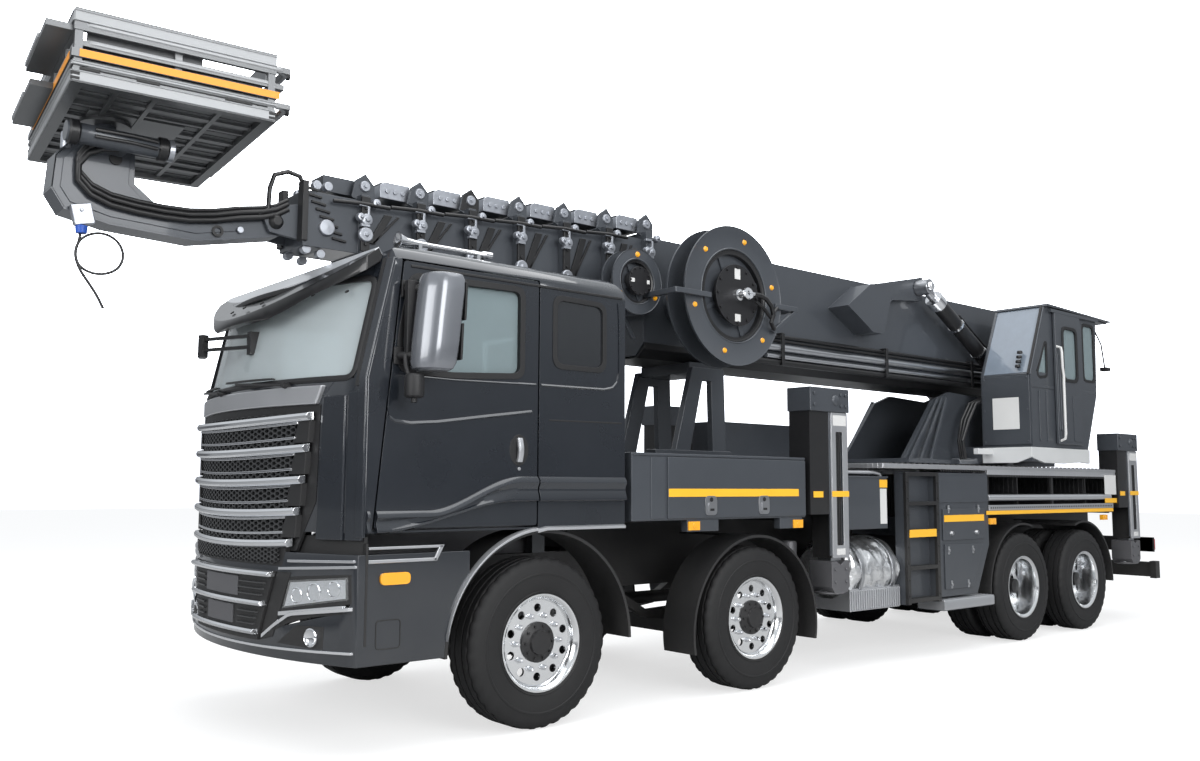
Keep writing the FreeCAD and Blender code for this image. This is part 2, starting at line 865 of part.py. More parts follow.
cab_glass_sheet = cut(
    cab_volume(s.glass_inset, s.cab_sill_z, s.cab_roof_z - s.glass_inset),
    cab_volume(s.glass_inset + s.glass_thickness, s.cab_sill_z - 5,
               s.cab_roof_z - s.glass_inset - s.glass_thickness))
node("cab_glass", group(
    common(cab_glass_sheet, windscreen_block(-s.seal_gap)),
    common(cab_glass_sheet, through_side(rear_window, -0.5)),
    common(cab_glass_sheet, back_window_block(-s.seal_gap))))


# ---------------------------------------------------------------- driver's doors with their mirrors

mirror_low_z, mirror_high_z = 2150, 2690
mirror_near_y = s.cab_half_width + 65
mirror_plan = [
    (ahead(800), mirror_near_y), (ahead(985), mirror_near_y - 10), (ahead(1040), mirror_near_y + 45),
    (ahead(1035), mirror_near_y + 135), (ahead(965), mirror_near_y + 205),
    (ahead(815), mirror_near_y + 215),
]


def cab_door(name, side):
    panel = cut(common(cab_skin, door_prism(0, 1)), through_side(door_window))
    pane = common(cab_glass_sheet, door_prism(0, 1), through_side(door_window, -0.5))
    housing = pad("plan", mirror_plan, mirror_low_z, mirror_high_z)
    arms = [
        box(ahead(x), ahead(x) + 40, s.cab_half_width - 30, mirror_near_y + 55, z, z + 40)
        for x, z in ((1012, 2600), (1052, 2210))
    ]
    near_mirror = box(ahead(990), ahead(1100), mirror_near_y + 25, mirror_near_y + 135, 1990, 2110)
    stalk = box(ahead(1060), ahead(1090), mirror_near_y + 25, mirror_near_y + 55, 2089, 2230)
    door = group(fuse(panel, housing, *arms, near_mirror, stalk), pane)
    node(f"{name}_door", door if side > 0 else across(door))


cab_door("left", 1)
cab_door("right", -1)


# ---------------------------------------------------------------- cab interior

seat_y = 620


def seat(y):
    cushion = box(behind(120), ahead(420), y - 250, y + 250, cab_floor_top_z, 1860)
    back = box(behind(260), behind(110), y - 240, y + 240, cab_floor_top_z + 260, 2480)
    return fuse(cushion, back)


dash_half = s.cab_half_width - 100
dash = box(ahead(820), ahead(1120), -dash_half, dash_half, cab_floor_top_z, 2060)
column = rod("X", 35, ahead(600), seat_y, 1990, 230)
wheel_ring = cut(rod("X", 228, ahead(585), seat_y, 1990, 26), rod("X", 200, ahead(584), seat_y, 1990, 28))
wheel_spokes = [
    box(ahead(590), ahead(610), seat_y - 215, seat_y + 215, 1975, 2005),
    box(ahead(590), ahead(610), seat_y - 15, seat_y + 15, 1775, 1990),
]
node("cab_interior", group(fuse(dash, column, wheel_ring, *wheel_spokes), seat(seat_y), seat(-seat_y)))


# ---------------------------------------------------------------- grille, bumper, lamps, visor

def nose_shell(outer, inner, points):
    """A curved sheet over the cab's nose, trimmed to an outline seen from ahead."""
    ring = cut(
        rod("Z", nose_radius + outer, nose_centre_x, 0, 400, 2000),
        rod("Z", nose_radius + inner, nose_centre_x, 0, 399, 2002))
    return common(ring, pad("front", points, ahead(900), ahead(1800)))


grille_low_z, grille_high_z = 1120, 1955
grille_panel = [(-720, grille_low_z), (720, grille_low_z), (880, 1400), (900, grille_high_z),
                (-900, grille_high_z), (-880, 1400)]
bars = [
    nose_shell(55, 0, [(-half, z), (half, z), (half + 4, z + 44), (-half - 4, z + 44)])
    for half, z in ((715, 1143), (800, 1323), (835, 1503), (860, 1683), (880, 1863))
]
node("grille", fuse(nose_shell(14, 0, grille_panel), *bars))

lamp_face = [(650, 690), (1170, 812), (1172, 1000), (730, 965)]


def bumper_volume(inset):
    """The bumper's wrap-round form between the arches."""
    inset = as_size(inset)
    half = s.cab_half_width - inset
    return common(
        rod("Z", nose_radius + s.bumper_proud - inset, nose_centre_x, 0, 400, 1200),
        box(ahead(560), ahead(1700), -half, half, s.bumper_bottom_z, grille_low_z - 6))


bumper_outer = bumper_volume(0)
arch_cut = rod("Y", s.arch_radius + 1, s.axle_one_x, -1300, s.arch_centre_z, 2600)
bumper_wall = cut(bumper_outer, common(
    rod("Z", nose_radius + s.bumper_proud - s.cab_wall, nose_centre_x, 0, 300, 1400),
    box(ahead(500), ahead(1700), -s.cab_half_width + s.cab_wall, s.cab_half_width - s.cab_wall,
        s.bumper_bottom_z - 10, grille_low_z + 10)), arch_cut)
lamp_block = pad("front", lamp_face, ahead(1090), ahead(1700))
lamp_blocks = fuse(*both_sides(lamp_block))
brackets = both_sides(box(ahead(s.frame_front), ahead(1462), frame_inner_y, s.frame_half_width,
                          s.frame_bottom_z + 60, frame_top_z - 60))
node("front_bumper", fuse(cut(bumper_wall, lamp_blocks), *brackets))

lamp_skin = cut(bumper_outer, common(
    rod("Z", nose_radius + s.bumper_proud - 50, nose_centre_x, 0, 300, 1400),
    box(ahead(500), ahead(1700), -s.cab_half_width + 50, s.cab_half_width - 50, 500, 1300)))
tail_lamps = both_sides(box(behind(9235), behind(9165), 830, 1130, 760, 900))
node("lamps", group(common(lamp_skin, lamp_blocks), *tail_lamps))

visor_profile = [
    (ahead(1120), 2800), (ahead(1160), 2865), (ahead(1545), 2545), (ahead(1550), 2500),
    (ahead(1505), 2490), (ahead(1400), 2600),
]
visor_half, visor_lip, visor_end = 1130, 1545, 1235
visor_radius = (visor_half ** 2 + (visor_lip - visor_end) ** 2) / (2 * (visor_lip - visor_end))
node("sun_visor", cut(
    common(pad("side", visor_profile, -visor_half, visor_half),
           rod("Z", visor_radius, ahead(visor_lip - visor_radius), 0, 2300, 700)),
    cab_outer))


# ---------------------------------------------------------------- mirror over the windscreen

mirror_arm_z, mirror_foot_y, mirror_head_y = 2440, 60, -330
mirror_foot = box(ahead(1380), ahead(1480), mirror_foot_y - 30, mirror_foot_y + 30, mirror_arm_z - 130,
                  mirror_arm_z + 15)
mirror_arms = [
    pad("plan", [
        (ahead(1455), mirror_foot_y - 12), (ahead(1475), mirror_foot_y + 8),
        (ahead(1635), mirror_head_y + 8), (ahead(1615), mirror_head_y - 12),
    ], z, z + 20)
    for z in (mirror_arm_z - 20, mirror_arm_z - 90)
]
mirror_head = pad("plan", [
    (ahead(1575), mirror_head_y - 95), (ahead(1610), mirror_head_y - 110),
    (ahead(1655), mirror_head_y - 15), (ahead(1640), mirror_head_y + 25), (ahead(1600), mirror_head_y + 20),
], mirror_arm_z - 125, mirror_arm_z + 20)
node("front_mirror", fuse(cut(mirror_foot, cab_volume(s.glass_inset, s.cab_sill_z, s.cab_roof_z)),
                          *mirror_arms, mirror_head))


# ---------------------------------------------------------------- mudguards

def mudguard(x, centre_z, inner, y0, y1, low_z):
    """An arched guard over a wheel."""
    thickness = s.guard_thickness
    ring = cut(
        rod("Y", inner + thickness, x, y0, centre_z, as_size(y1) - y0),
        rod("Y", inner, x, as_size(y0) - 1, centre_z, as_size(y1) - y0 + 2))
    keep = box(x - 1000, x + 1000, y0, y1, low_z, 2000)
    return common(ring, keep)


guard_inner_y = 905
front_guards = both_sides(cut(
    mudguard(s.axle_one_x, s.arch_centre_z, s.arch_radius - s.guard_thickness, guard_inner_y,
             s.cab_half_width - 4, 500),
    box(behind(700), ahead(800), 0, 1300, s.cab_sill_z, 1400)))
second_arch_z, second_arch_radius = 450, 668
second_arch_top_z = second_arch_z + second_arch_radius
second_guard = fuse(
    mudguard(axle_two_x, second_arch_z, second_arch_radius, guard_inner_y, s.wheel_outer_y + 15, 320),
    box(axle_two_x - 40, axle_two_x + 40, s.frame_half_width, guard_inner_y + 60,
        second_arch_top_z + 3, second_arch_top_z + 17))
rear_guards = [
    fuse(
        common(mudguard(x, 500, 630, 590, s.wheel_outer_y, 480), box(x0, x1, 0, 1300, 0, 2000)),
        box(x - 30, x + 30, s.frame_half_width, 650, 1132, 1146))
    for x, x0, x1 in (
        (axle_three_x, axle_three_x - 200, axle_three_x + 900),
        (axle_four_x, axle_four_x - 900, axle_four_x + 200))
]
node("mudguards", group(
    *front_guards, *both_sides(second_guard), *both_sides(rear_guards[0]),
    *both_sides(rear_guards[1])))


# ---------------------------------------------------------------- deck

deck_front_x = right_front_x - s.column_length / 2 - 20
deck_rear_x = left_rear_x + s.column_length / 2 + 20
deck_low_z = s.deck_top_z - s.deck_thickness
deck_hole = s.turntable_radius + 25
deck_plate = cut(
    box(deck_rear_x, deck_front_x, -s.deck_half_width, s.deck_half_width, deck_low_z, s.deck_top_z),
    rod("Z", deck_hole, slew_x, 0, deck_low_z - 1, s.deck_thickness + 2))
deck_skirts = both_sides(box(deck_rear_x, behind(5300), s.deck_half_width - 25, s.deck_half_width,
                             deck_low_z - 60, deck_low_z))
side_rails = both_sides(box(behind(7950), behind(5300), s.deck_half_width - 30,
                            s.deck_half_width, 1235, 1330))
deck_posts = [
    piece
    for x in (5305, 6600, 7930)
    for piece in both_sides(box(behind(x) - 40, behind(x), s.deck_half_width - 60,
                                s.deck_half_width - 25, 1235, deck_low_z))
]
deck_ribs = [
    cut(box(behind(x) - 12, behind(x), -half, half, subframe_top_z + lift, deck_low_z),
        rod("Z", deck_hole, slew_x, 0, subframe_top_z, 600))
    for x, half, lift in (
        (3900, 850, 0), (4700, 850, 0), (5350, 1190, 0), (5900, 1190, 70), (7350, 1190, 70),
        (7900, 1190, 0))
]
node("deck", fuse(deck_plate, *deck_skirts, *side_rails, *deck_posts, *deck_ribs))


# ---------------------------------------------------------------- toolboxes and side gear

toolbox_low_z, toolbox_high_z = 1260, 1725
toolbox_side = s.deck_half_width + 7
toolboxes = both_sides(fuse(
    box(behind(2550), behind(720), 620, toolbox_side, toolbox_low_z, toolbox_high_z),
    box(behind(2500), behind(760), s.frame_half_width, 640, toolbox_low_z, toolbox_low_z + 120)))
locker = box(behind(4980), behind(3680), -1200, -800, s.deck_top_z, 2150)
node("toolboxes", group(*toolboxes, locker))

cabinet_outer = s.deck_half_width - 5
panel_profile = [
    (behind(4450), 520), (behind(4450), 1630), (behind(5300), 1630), (behind(5300), 960),
    (behind(5070), 520),
]
cabinet = pad("side", panel_profile, 860, cabinet_outer)
step_bar = box(behind(5290), behind(4450), 980, cabinet_outer + 30, 400, 490)
step_hangers = [box(behind(x) - 30, behind(x), 1000, 1040, 480, 530) for x in (4500, 5000)]
ladder_sides = [box(behind(x) - 40, behind(x), 1130, cabinet_outer, 485, 1630) for x in (3935, 4405)]
ladder_treads = [
    box(behind(4420), behind(3950), 1130, cabinet_outer, z, z + 30) for z in (500, 780, 1060, 1340, 1598)
]
ladder_back = box(behind(4450), behind(3935), 1100, 1132, 485, 1630)
control_box = box(behind(3740), behind(3170), s.outrigger_box_half_width + s.pin_gap, 1150, 1150, 1580)
cabinet_bearers = [
    box(behind(x) - 60, behind(x), s.frame_half_width, 880, frame_top_z + 40, subframe_top_z)
    for x in (4560, 5100)
]
ladder_bearer = box(behind(4300), behind(4240), s.frame_half_width, 1110, frame_top_z + 40, subframe_top_z)
side_panel = fuse(cabinet, step_bar, *step_hangers, *cabinet_bearers)
ladder = fuse(*ladder_sides, *ladder_treads, ladder_back, ladder_bearer)
node("side_cabinets", group(fuse(side_panel, ladder), control_box, across(side_panel)))

tank_profile = [(620, 470), (1100, 470), (1170, 540), (1170, 1000), (1100, 1070), (620, 1070),
                (550, 1000), (550, 540)]
tanks = [
    fuse(pad("front", tank_profile, behind(3900), behind(3240)),
         *[box(behind(x), behind(x) + 50, s.frame_half_width, 560, 850, 950) for x in (3800, 3400)]),
    across(fuse(pad("front", tank_profile, behind(4400), behind(3640)),
                *[box(behind(x), behind(x) + 50, s.frame_half_width, 560, 850, 950)
                  for x in (4300, 3800)])),
]
node("tanks", group(*tanks))


# ---------------------------------------------------------------- boom rest

rest_top_z = s.boom_bottom_z - 10
rest_base = both_sides(box(behind(2580), behind(1700), 300, s.frame_half_width, subframe_top_z, 1790))
rest_leg = pad("side", [
    (behind(2580), 1790), (behind(2420), 1790), (behind(2400), 2380), (behind(2300), 2380),
    (behind(2150), 1790), (behind(1980), 1790), (behind(2180), rest_top_z - 50),
    (behind(2560), rest_top_z - 50),
], 300, 360)
rest_cradle = box(behind(2600), behind(2200), -300, 300, rest_top_z - 90, rest_top_z)
rest_tie = box(behind(2500), behind(2440), -360, 360, 1740, 1790)
node("boom_rest", fuse(*rest_base, *both_sides(rest_leg), rest_cradle, rest_tie))


# ---------------------------------------------------------------- rear bumper

bumper_bar = box(behind(9250), behind(9160), -1090, 1090, 450, 620)
bumper_caps = both_sides(box(behind(9250), behind(9140), 1090, 1160, 435, 635))
bumper_legs = both_sides(box(behind(9170), frame_rear_x, frame_inner_y, s.frame_half_width, 480, 930))
lamp_plates = both_sides(box(behind(9165), behind(9150), frame_inner_y, 1130, 745, 915))
node("rear_bumper", fuse(bumper_bar, *bumper_caps, *bumper_legs, *lamp_plates))


# ---------------------------------------------------------------- turret

side_outer_y = s.turret_side_y + s.turret_side_thickness
base_top_z = s.turret_base_z + s.turret_plate
boom_pivot_x = behind(s.boom_pivot_behind)
lift_pin_x = behind(s.lift_pin_behind)
side_plate = [
    (behind(5170), base_top_z - 1), (behind(5740), 2410), (behind(6040), 2510), (behind(6740), 2480),
    (behind(7300), 2640), (behind(7900), 3250), (behind(8200), 3350), (behind(8500), 3350),
    (behind(8620), 3200), (behind(8560), 2900), (behind(8240), 2200), (behind(8200), base_top_z - 1),
]
side_plates = both_sides(pad("side", side_plate, s.turret_side_y, side_outer_y))
turret_floor = box(behind(8200), behind(5170), -side_outer_y - 60, side_outer_y + 60,
                   s.turret_base_z, base_top_z)
turret_ring = rod("Z", s.turntable_radius + 60, slew_x, 0, s.turret_base_z, s.turret_plate + 15)
turret_web = box(behind(6900), behind(6860), -s.turret_side_y - 5, s.turret_side_y + 5,
                 base_top_z - 1, 2350)
boom_pin = rod("Y", s.boom_pin_radius, boom_pivot_x, -side_outer_y - 5, s.boom_pivot_z,
               2 * side_outer_y + 10)
lift_pins = both_sides(rod("Y", s.lift_pin_radius, lift_pin_x, side_outer_y - 5, s.lift_pin_z,
                           s.lift_y + 75 - side_outer_y + 5))
op_floor_z = 1925
op_sill = pad("side", [
    (behind(6250), base_top_z - 20), (behind(6250), op_floor_z - s.pin_gap), (behind(7500), op_floor_z - s.pin_gap),
    (behind(7500), base_top_z + 10), (behind(7350), base_top_z - 20),
], side_outer_y, s.op_outer_y)
node("turret", fuse(*side_plates, turret_floor, turret_ring, turret_web, boom_pin, *lift_pins, op_sill))


# ---------------------------------------------------------------- operator's cab

op_side = [
    (behind(6280), op_floor_z), (behind(6280), 2670), (behind(6635), 3420), (behind(7800), 3390),
    (behind(7755), 2520), (behind(7500), op_floor_z),
]
op_inside = [
    (behind(6280) - s.op_wall, op_floor_z + s.op_wall), (behind(6280) - s.op_wall, 2665),
    (behind(6635) - s.op_wall + 5, 3420 - s.op_wall), (behind(7800) + s.op_wall, 3390 - s.op_wall),
    (behind(7755) + s.op_wall, 2525), (behind(7500) + s.op_wall - 10, op_floor_z + s.op_wall),
]
op_shell = cut(
    pad("side", op_side, s.op_inner_y, s.op_outer_y),
    pad("side", op_inside, s.op_inner_y + s.op_wall, s.op_outer_y - s.op_wall))
op_door_rear, op_door_front = 7335, 6775
op_doorway = box(behind(op_door_rear) + 25, behind(op_door_front) - 25,
                 s.op_outer_y - s.op_wall - 5, s.op_outer_y + 5, op_floor_z + 60, 3330)
op_windscreen = pad("side", [
    (behind(6240), 2720), (behind(6560), 3390), (behind(6800), 3300), (behind(6500), 2600),
], s.op_inner_y + 50, s.op_outer_y - 50)
op_rear_window = box(behind(7740), behind(7460), s.op_outer_y - 60, s.op_outer_y + 5, 2670, 3300)
op_quarter_window = pad("side", [
    (behind(6400), 2700), (behind(6580), 3000), (behind(6650), 3000), (behind(6650), 2690),
], s.op_outer_y - 60, s.op_outer_y + 5)
op_door_top_z = 3350
op_rail = box(behind(7800), behind(6700), s.op_outer_y - 5, s.op_outer_y + 5 + s.op_door_thickness,
              op_door_top_z + s.pin_gap, op_door_top_z + 35)
op_visor = box(behind(8090), behind(7790), s.op_inner_y, s.op_outer_y, 3365, 3385)
op_seat = fuse(
    box(behind(7350), behind(6900), s.op_inner_y + 80, s.op_outer_y - 80,
        op_floor_z + s.op_wall, 2380),
    box(behind(7450), behind(7320), s.op_inner_y + 80, s.op_outer_y - 80, 2300, 2950))
node("operator_cab", fuse(
    cut(op_shell, op_doorway, op_windscreen, op_rear_window, op_quarter_window), op_visor, op_rail, op_seat))

op_door = cut(
    box(behind(op_door_rear), behind(op_door_front), s.op_outer_y + 5,
        s.op_outer_y + 5 + s.op_door_thickness, op_floor_z + 30, op_door_top_z),
    box(behind(7235), behind(6925), s.op_outer_y, s.op_outer_y + 60, 2640, 3205))
op_grip = box(behind(6830), behind(6800), s.op_outer_y + 30, s.op_outer_y + 62, 2100, 2900)
node("operator_door", fuse(op_door, op_grip))


# ---------------------------------------------------------------- lift cylinders

lift_eye_x = behind(s.lift_eye_behind)
lift_run = lift_eye_x - lift_pin_x
lift_rise = s.lift_eye_z - s.lift_pin_z
lift_length = root_of_squares(lift_run, lift_rise)
lift_angle = angle_of(lift_rise, lift_run)


def along_lift(piece):
    """Turns a piece drawn along +X from the lower pin into the cylinder's line."""
    holder = doc.addObject("Part::Compound", "Turned")
    holder.Links = [piece]
    holder.Placement = FreeCAD.Placement(
        FreeCAD.Vector(lift_pin_x.value, 0, s.lift_pin_z.value),
        FreeCAD.Rotation(FreeCAD.Vector(0, -1, 0), lift_angle.value))
    bind(holder, "Placement.Base.x", lift_pin_x)
    bind(holder, "Placement.Base.z", s.lift_pin_z)
    bind(holder, "Placement.Rotation.Angle", lift_angle)
    return holder


barrel_end = lift_length - 420
eye_half = 70
barrel = cut(
    fuse(rod("X", s.lift_barrel_radius, 60, s.lift_y, 0, barrel_end - 60),
         rod("Y", s.lift_barrel_radius + 15, 0, s.lift_y - eye_half, 0, 2 * eye_half)),
    rod("Y", s.lift_pin_radius + s.pin_gap, 0, s.lift_y - eye_half - 1, 0, 2 * eye_half + 2),
    rod("X", s.lift_rod_radius + s.pin_gap, 200, s.lift_y, 0, lift_length))
lift_rod = fuse(
    rod("X", s.lift_rod_radius, 220, s.lift_y, 0, lift_length - 220),
    rod("Y", s.lift_barrel_radius, lift_length, s.lift_y - eye_half, 0, 2 * eye_half))
node("lift_barrels", group(*both_sides(along_lift(barrel))))
node("lift_rods", group(*both_sides(along_lift(lift_rod))))


# ---------------------------------------------------------------- boom

boom_rear_x = behind(s.boom_tail)
boom_front_x = behind(s.boom_front)
tunnel_half_y = s.boom_half_width - s.boom_wall
tunnel_top_z = s.boom_top_z - s.boom_wall


def boom_section_name(i):
    return f"boom_section_{i + 2}"


def section_half(i):
    return s.section_half_width - i * s.section_step_y


def section_low(i):
    return s.section_bottom_z + i * s.section_step


def section_high(i):
    return s.section_top_z - i * s.section_step


def collar(front_x, half, low_z, high_z, inner_half, inner_low, inner_high):
    """The frame at a section's mouth, with the pads that the next one runs on."""
    gap = s.pin_gap
    top_z = high_z + s.collar_proud
    ring = box(front_x - s.collar_length, front_x, -half - s.collar_proud, half + s.collar_proud,
               low_z, top_z)
    ear = pad("side", [
        (front_x - 130, top_z - 30), (front_x - 130, top_z + 90), (front_x - 60, top_z + 165),
        (front_x + 15, top_z + 110), (front_x + 40, top_z - 10), (front_x - 10, top_z - 30),
    ], half - 45, half - 30)
    pulley = rod("Y", 50, front_x - 50, 40 - half, top_z + 75, 2 * half - 80)
    pulley_box = box(front_x - 10, front_x + 220, 90 - half, half - 90, top_z + 10, top_z + 120)
    frame = fuse(ring, *both_sides(ear), pulley, pulley_box)
    mouth = box(front_x - s.collar_length - 1, front_x + 1, -inner_half - gap, inner_half + gap,
                inner_low - gap, inner_high + gap)
    return frame, mouth


base_profile = [
    (-s.boom_half_width, s.boom_bottom_z + s.boom_chamfer),
    (-s.boom_half_width + s.boom_chamfer, s.boom_bottom_z),
    (s.boom_half_width - s.boom_chamfer, s.boom_bottom_z),
    (s.boom_half_width, s.boom_bottom_z + s.boom_chamfer),
    (s.boom_half_width, s.boom_top_z), (-s.boom_half_width, s.boom_top_z),
]
base_tube = cut(
    pad("front", base_profile, boom_rear_x, boom_front_x),
    box(behind(s.section_tail) - 60, boom_front_x + 1, -tunnel_half_y, tunnel_half_y,
        s.tunnel_bottom_z, tunnel_top_z),
    box(boom_rear_x - 1, boom_front_x - 60, -s.boom_half_width + s.boom_chamfer,
        s.boom_half_width - s.boom_chamfer, s.boom_bottom_z + 20, s.tunnel_bottom_z - 20),
    rod("Y", s.boom_pin_radius + s.pin_gap, boom_pivot_x, -500, s.boom_pivot_z, 1000))
base_frame, base_mouth = collar(
    boom_front_x, s.boom_half_width, s.tunnel_bottom_z - 30, s.boom_top_z,
    section_half(0), section_low(0), section_high(0))
reel_x = behind(s.reel_behind)
small_reel_x = behind(s.small_reel_behind)
reel_shafts = both_sides(rod("Y", s.reel_shaft_radius, reel_x, s.boom_half_width - 5, s.reel_z,
                             s.reel_inner_y + s.reel_width - s.boom_half_width + 5))
reel_mounts = both_sides(rod("Y", 130, reel_x, s.boom_half_width - 5, s.reel_z,
                             s.reel_inner_y - 20 - s.boom_half_width))
small_arm_y = s.boom_half_width + s.collar_proud - 5
small_arm = box(boom_front_x - 60, small_reel_x + 60, small_arm_y, small_arm_y + 50,
                s.small_reel_z - 60, s.small_reel_z + 60)
small_shaft = rod("Y", s.reel_shaft_radius, small_reel_x, s.boom_half_width + 60, s.small_reel_z, 340)
wing = [
    (behind(4050), 3200), (behind(4420), 3450), (behind(5560), 3690), (behind(5560), 3440),
    (behind(5000), 3380), (behind(4620), 2980), (behind(4450), 2980),
]
wing_inner = pad("side", wing, s.boom_half_width - 5, s.lift_y - eye_half - 6)
wing_outer = pad("side", [
    (behind(4050), 3200), (behind(4420), 3450), (behind(4800), 3500), (behind(4620), 2980),
    (behind(4450), 2980),
], s.boom_half_width, s.lift_y + 85)
node("boom_base", fuse(
    cut(fuse(base_tube, base_frame), base_mouth), *reel_shafts, *reel_mounts, small_arm, small_shaft,
    *both_sides(wing_inner), *both_sides(wing_outer)))

jib_pivot_x = ahead(s.jib_pivot_ahead)
last = SIZES["section_count"] - 1
for i in range(SIZES["section_count"]):
    half, low, high = section_half(i), section_low(i), section_high(i)
    front_x = boom_front_x + (i + 1) * s.section_pitch
    rear_x = behind(s.section_tail) + i * 40
    wall = s.section_wall
    if i < last:
        tube_box = cut(
            box(rear_x, front_x, -half, half, low, high),
            box(rear_x - 1, front_x + 1, -half + wall, half - wall, low + wall, high - wall))
        ring, mouth = collar(front_x, half, low - 10, high,
                             section_half(i + 1), section_low(i + 1), section_high(i + 1))
        section = cut(fuse(tube_box, ring), mouth)
    else:
        tip_x = ahead(1200)
        tip_tube = cut(
            box(rear_x, tip_x, -half, half, low, high),
            box(rear_x - 1, tip_x - 20, -half + wall, half - wall, low + wall, high - wall))
        ring, mouth = collar(front_x, half, low - 10, high, half, low, high)
        ears = both_sides(pad("side", [
            (tip_x - 200, low + 20), (tip_x - 200, high - 40), (jib_pivot_x + 30, 3270),
            (jib_pivot_x + 75, s.jib_pivot_z), (jib_pivot_x + 40, 3100),
        ], s.jib_half_width + 6, s.jib_half_width + 36))
        pin = rod("Y", s.jib_pin_radius, jib_pivot_x, -s.jib_half_width - 30, s.jib_pivot_z,
                  2 * s.jib_half_width + 60)
        section = fuse(tip_tube, ring, *ears, pin)
    node(boom_section_name(i), section)


# ---------------------------------------------------------------- reels on the boom

def reel(x, y, z, radius, width, drum):
    """Two discs and a drum that turn on a fixed shaft."""
    discs = [
        rod("Y", radius, x, y, z, 12), rod("Y", radius, x, y + width - 12, z, 12),
        rod("Y", drum, x, y, z, width)]
    return cut(fuse(*discs), rod("Y", s.reel_shaft_radius + s.pin_gap, x, y - 1, z, width + 2))


hose_reel = reel(reel_x, s.reel_inner_y, s.reel_z, s.reel_radius, s.reel_width, 300)
node("hose_reel_left", hose_reel)
node("hose_reel_right", across(hose_reel))
node("cable_reel", reel(small_reel_x, s.boom_half_width + 270, s.small_reel_z, s.small_reel_radius, 130, 120))


# ---------------------------------------------------------------- levelled arm

swing_x = ahead(s.swing_ahead)
jib_profile = [
    (jib_pivot_x - 70, s.jib_pivot_z - 45), (jib_pivot_x - 30, s.jib_pivot_z - 80),
    (ahead(1850), 2985), (ahead(2344), 3005), (ahead(2587), 3056), (ahead(2655), 3160),
    (ahead(2642), 3350), (ahead(2527), s.swing_z), (ahead(2223), s.swing_z), (ahead(2215), 3260),
    (ahead(2092), 3165), (ahead(1848), 3150), (ahead(1580), 3225),
    (jib_pivot_x, s.jib_pivot_z + 75), (jib_pivot_x - 60, s.jib_pivot_z + 45),
]
jib_body = cut(
    pad("side", jib_profile, -s.jib_half_width, s.jib_half_width),
    rod("Y", s.jib_pin_radius + s.pin_gap, jib_pivot_x, -200, s.jib_pivot_z, 400))
swing_post_radius = 60
swing_post = rod("Z", swing_post_radius, swing_x, 0, s.swing_z - 10,
                 s.platform_floor_z + 60 - s.swing_z)
swing_drive_y, swing_drive_radius = 250, 58
swing_drive_z = s.platform_floor_z - 145
swing_drive = rod("X", swing_drive_radius, ahead(2080), swing_drive_y, swing_drive_z, 560)
drive_bracket = box(ahead(2300), ahead(2420), s.jib_half_width - 10, swing_drive_y, swing_drive_z - 50,
                    swing_drive_z - 10)
node("levelling_arm", fuse(jib_body, swing_post, swing_drive, drive_bracket))


# ---------------------------------------------------------------- folding platform

platform_x, platform_y = ahead(2120), -165
half_long = s.platform_length / 2
half_wide = s.platform_width / 2
floor_top_z = s.platform_floor_z + 75


def tube_frame(z, high, thick, grow, back=0):
    """A flat rectangle of rail, drawn out past the floor's rear edge."""
    x0, x1 = platform_x - half_long - grow - as_size(back), platform_x + half_long + grow
    y0, y1 = platform_y - half_wide - grow, platform_y + half_wide + grow
    return cut(
        box(x0, x1, y0, y1, z, z + high),
        box(x0 + thick, x1 - thick, y0 + thick, y1 - thick, z - 1, z + high + 1))


floor_plate = box(platform_x - half_long, platform_x + half_long, platform_y - half_wide,
                  platform_y + half_wide, floor_top_z - 20, floor_top_z)
floor_beams = [
    box(platform_x - half_long, platform_x + half_long, platform_y + y - 25, platform_y + y + 25,
        s.platform_floor_z + 20, floor_top_z)
    for y in (-560, -190, 190, 560)
]
rails = [
    tube_frame(floor_top_z + 15, 30, 30, 0, 90), tube_frame(floor_top_z + 60, 45, 30, 8),
    tube_frame(floor_top_z + 130, 30, 30, -10, 60),
    tube_frame(s.platform_top_z - 120, 120, 30, 0), tube_frame(s.platform_top_z - 100, 35, 35, -5, 90)]
corner_posts = [
    box(platform_x + i * (half_long - 25) - 20, platform_x + i * (half_long - 25) + 20,
        platform_y + j * (half_wide - 25) - 20, platform_y + j * (half_wide - 25) + 20,
        floor_top_z - 10, s.platform_top_z - 20)
    for i in (1, -1) for j in (1, -1)
]
side_boards = [
    box(platform_x + half_long - 5, platform_x + half_long + 130, platform_y + y0, platform_y + y1, z, z + 35)
    for y0, y1, z in ((20, 800, s.platform_top_z - 115), (-560, 250, floor_top_z + 65))
]
swing_hub = rod("Z", s.swing_radius + 30, swing_x, 0, s.platform_floor_z, 75)
swing_bore = rod("Z", swing_post_radius + s.pin_gap, swing_x, 0, s.platform_floor_z - 80, 142)
swing_plate = box(swing_x - 400, swing_x + 120, -380, 200, s.platform_floor_z + 20, floor_top_z)
platform_flat = cut(fuse(
    tube_frame(s.platform_floor_z, 65, 60, 0), floor_plate, *floor_beams, *rails, *corner_posts,
    *side_boards, swing_hub, swing_plate), swing_bore)
platform = doc.addObject("Part::Compound", "Turned_platform")
platform.Links = [platform_flat]
yaw = FreeCAD.Rotation(FreeCAD.Vector(0, 0, 1), s.platform_yaw.value)
middle = FreeCAD.Vector(swing_x.value, 0, 0)
platform.Placement = FreeCAD.Placement(FreeCAD.Vector(), yaw, middle)
node("platform", platform)


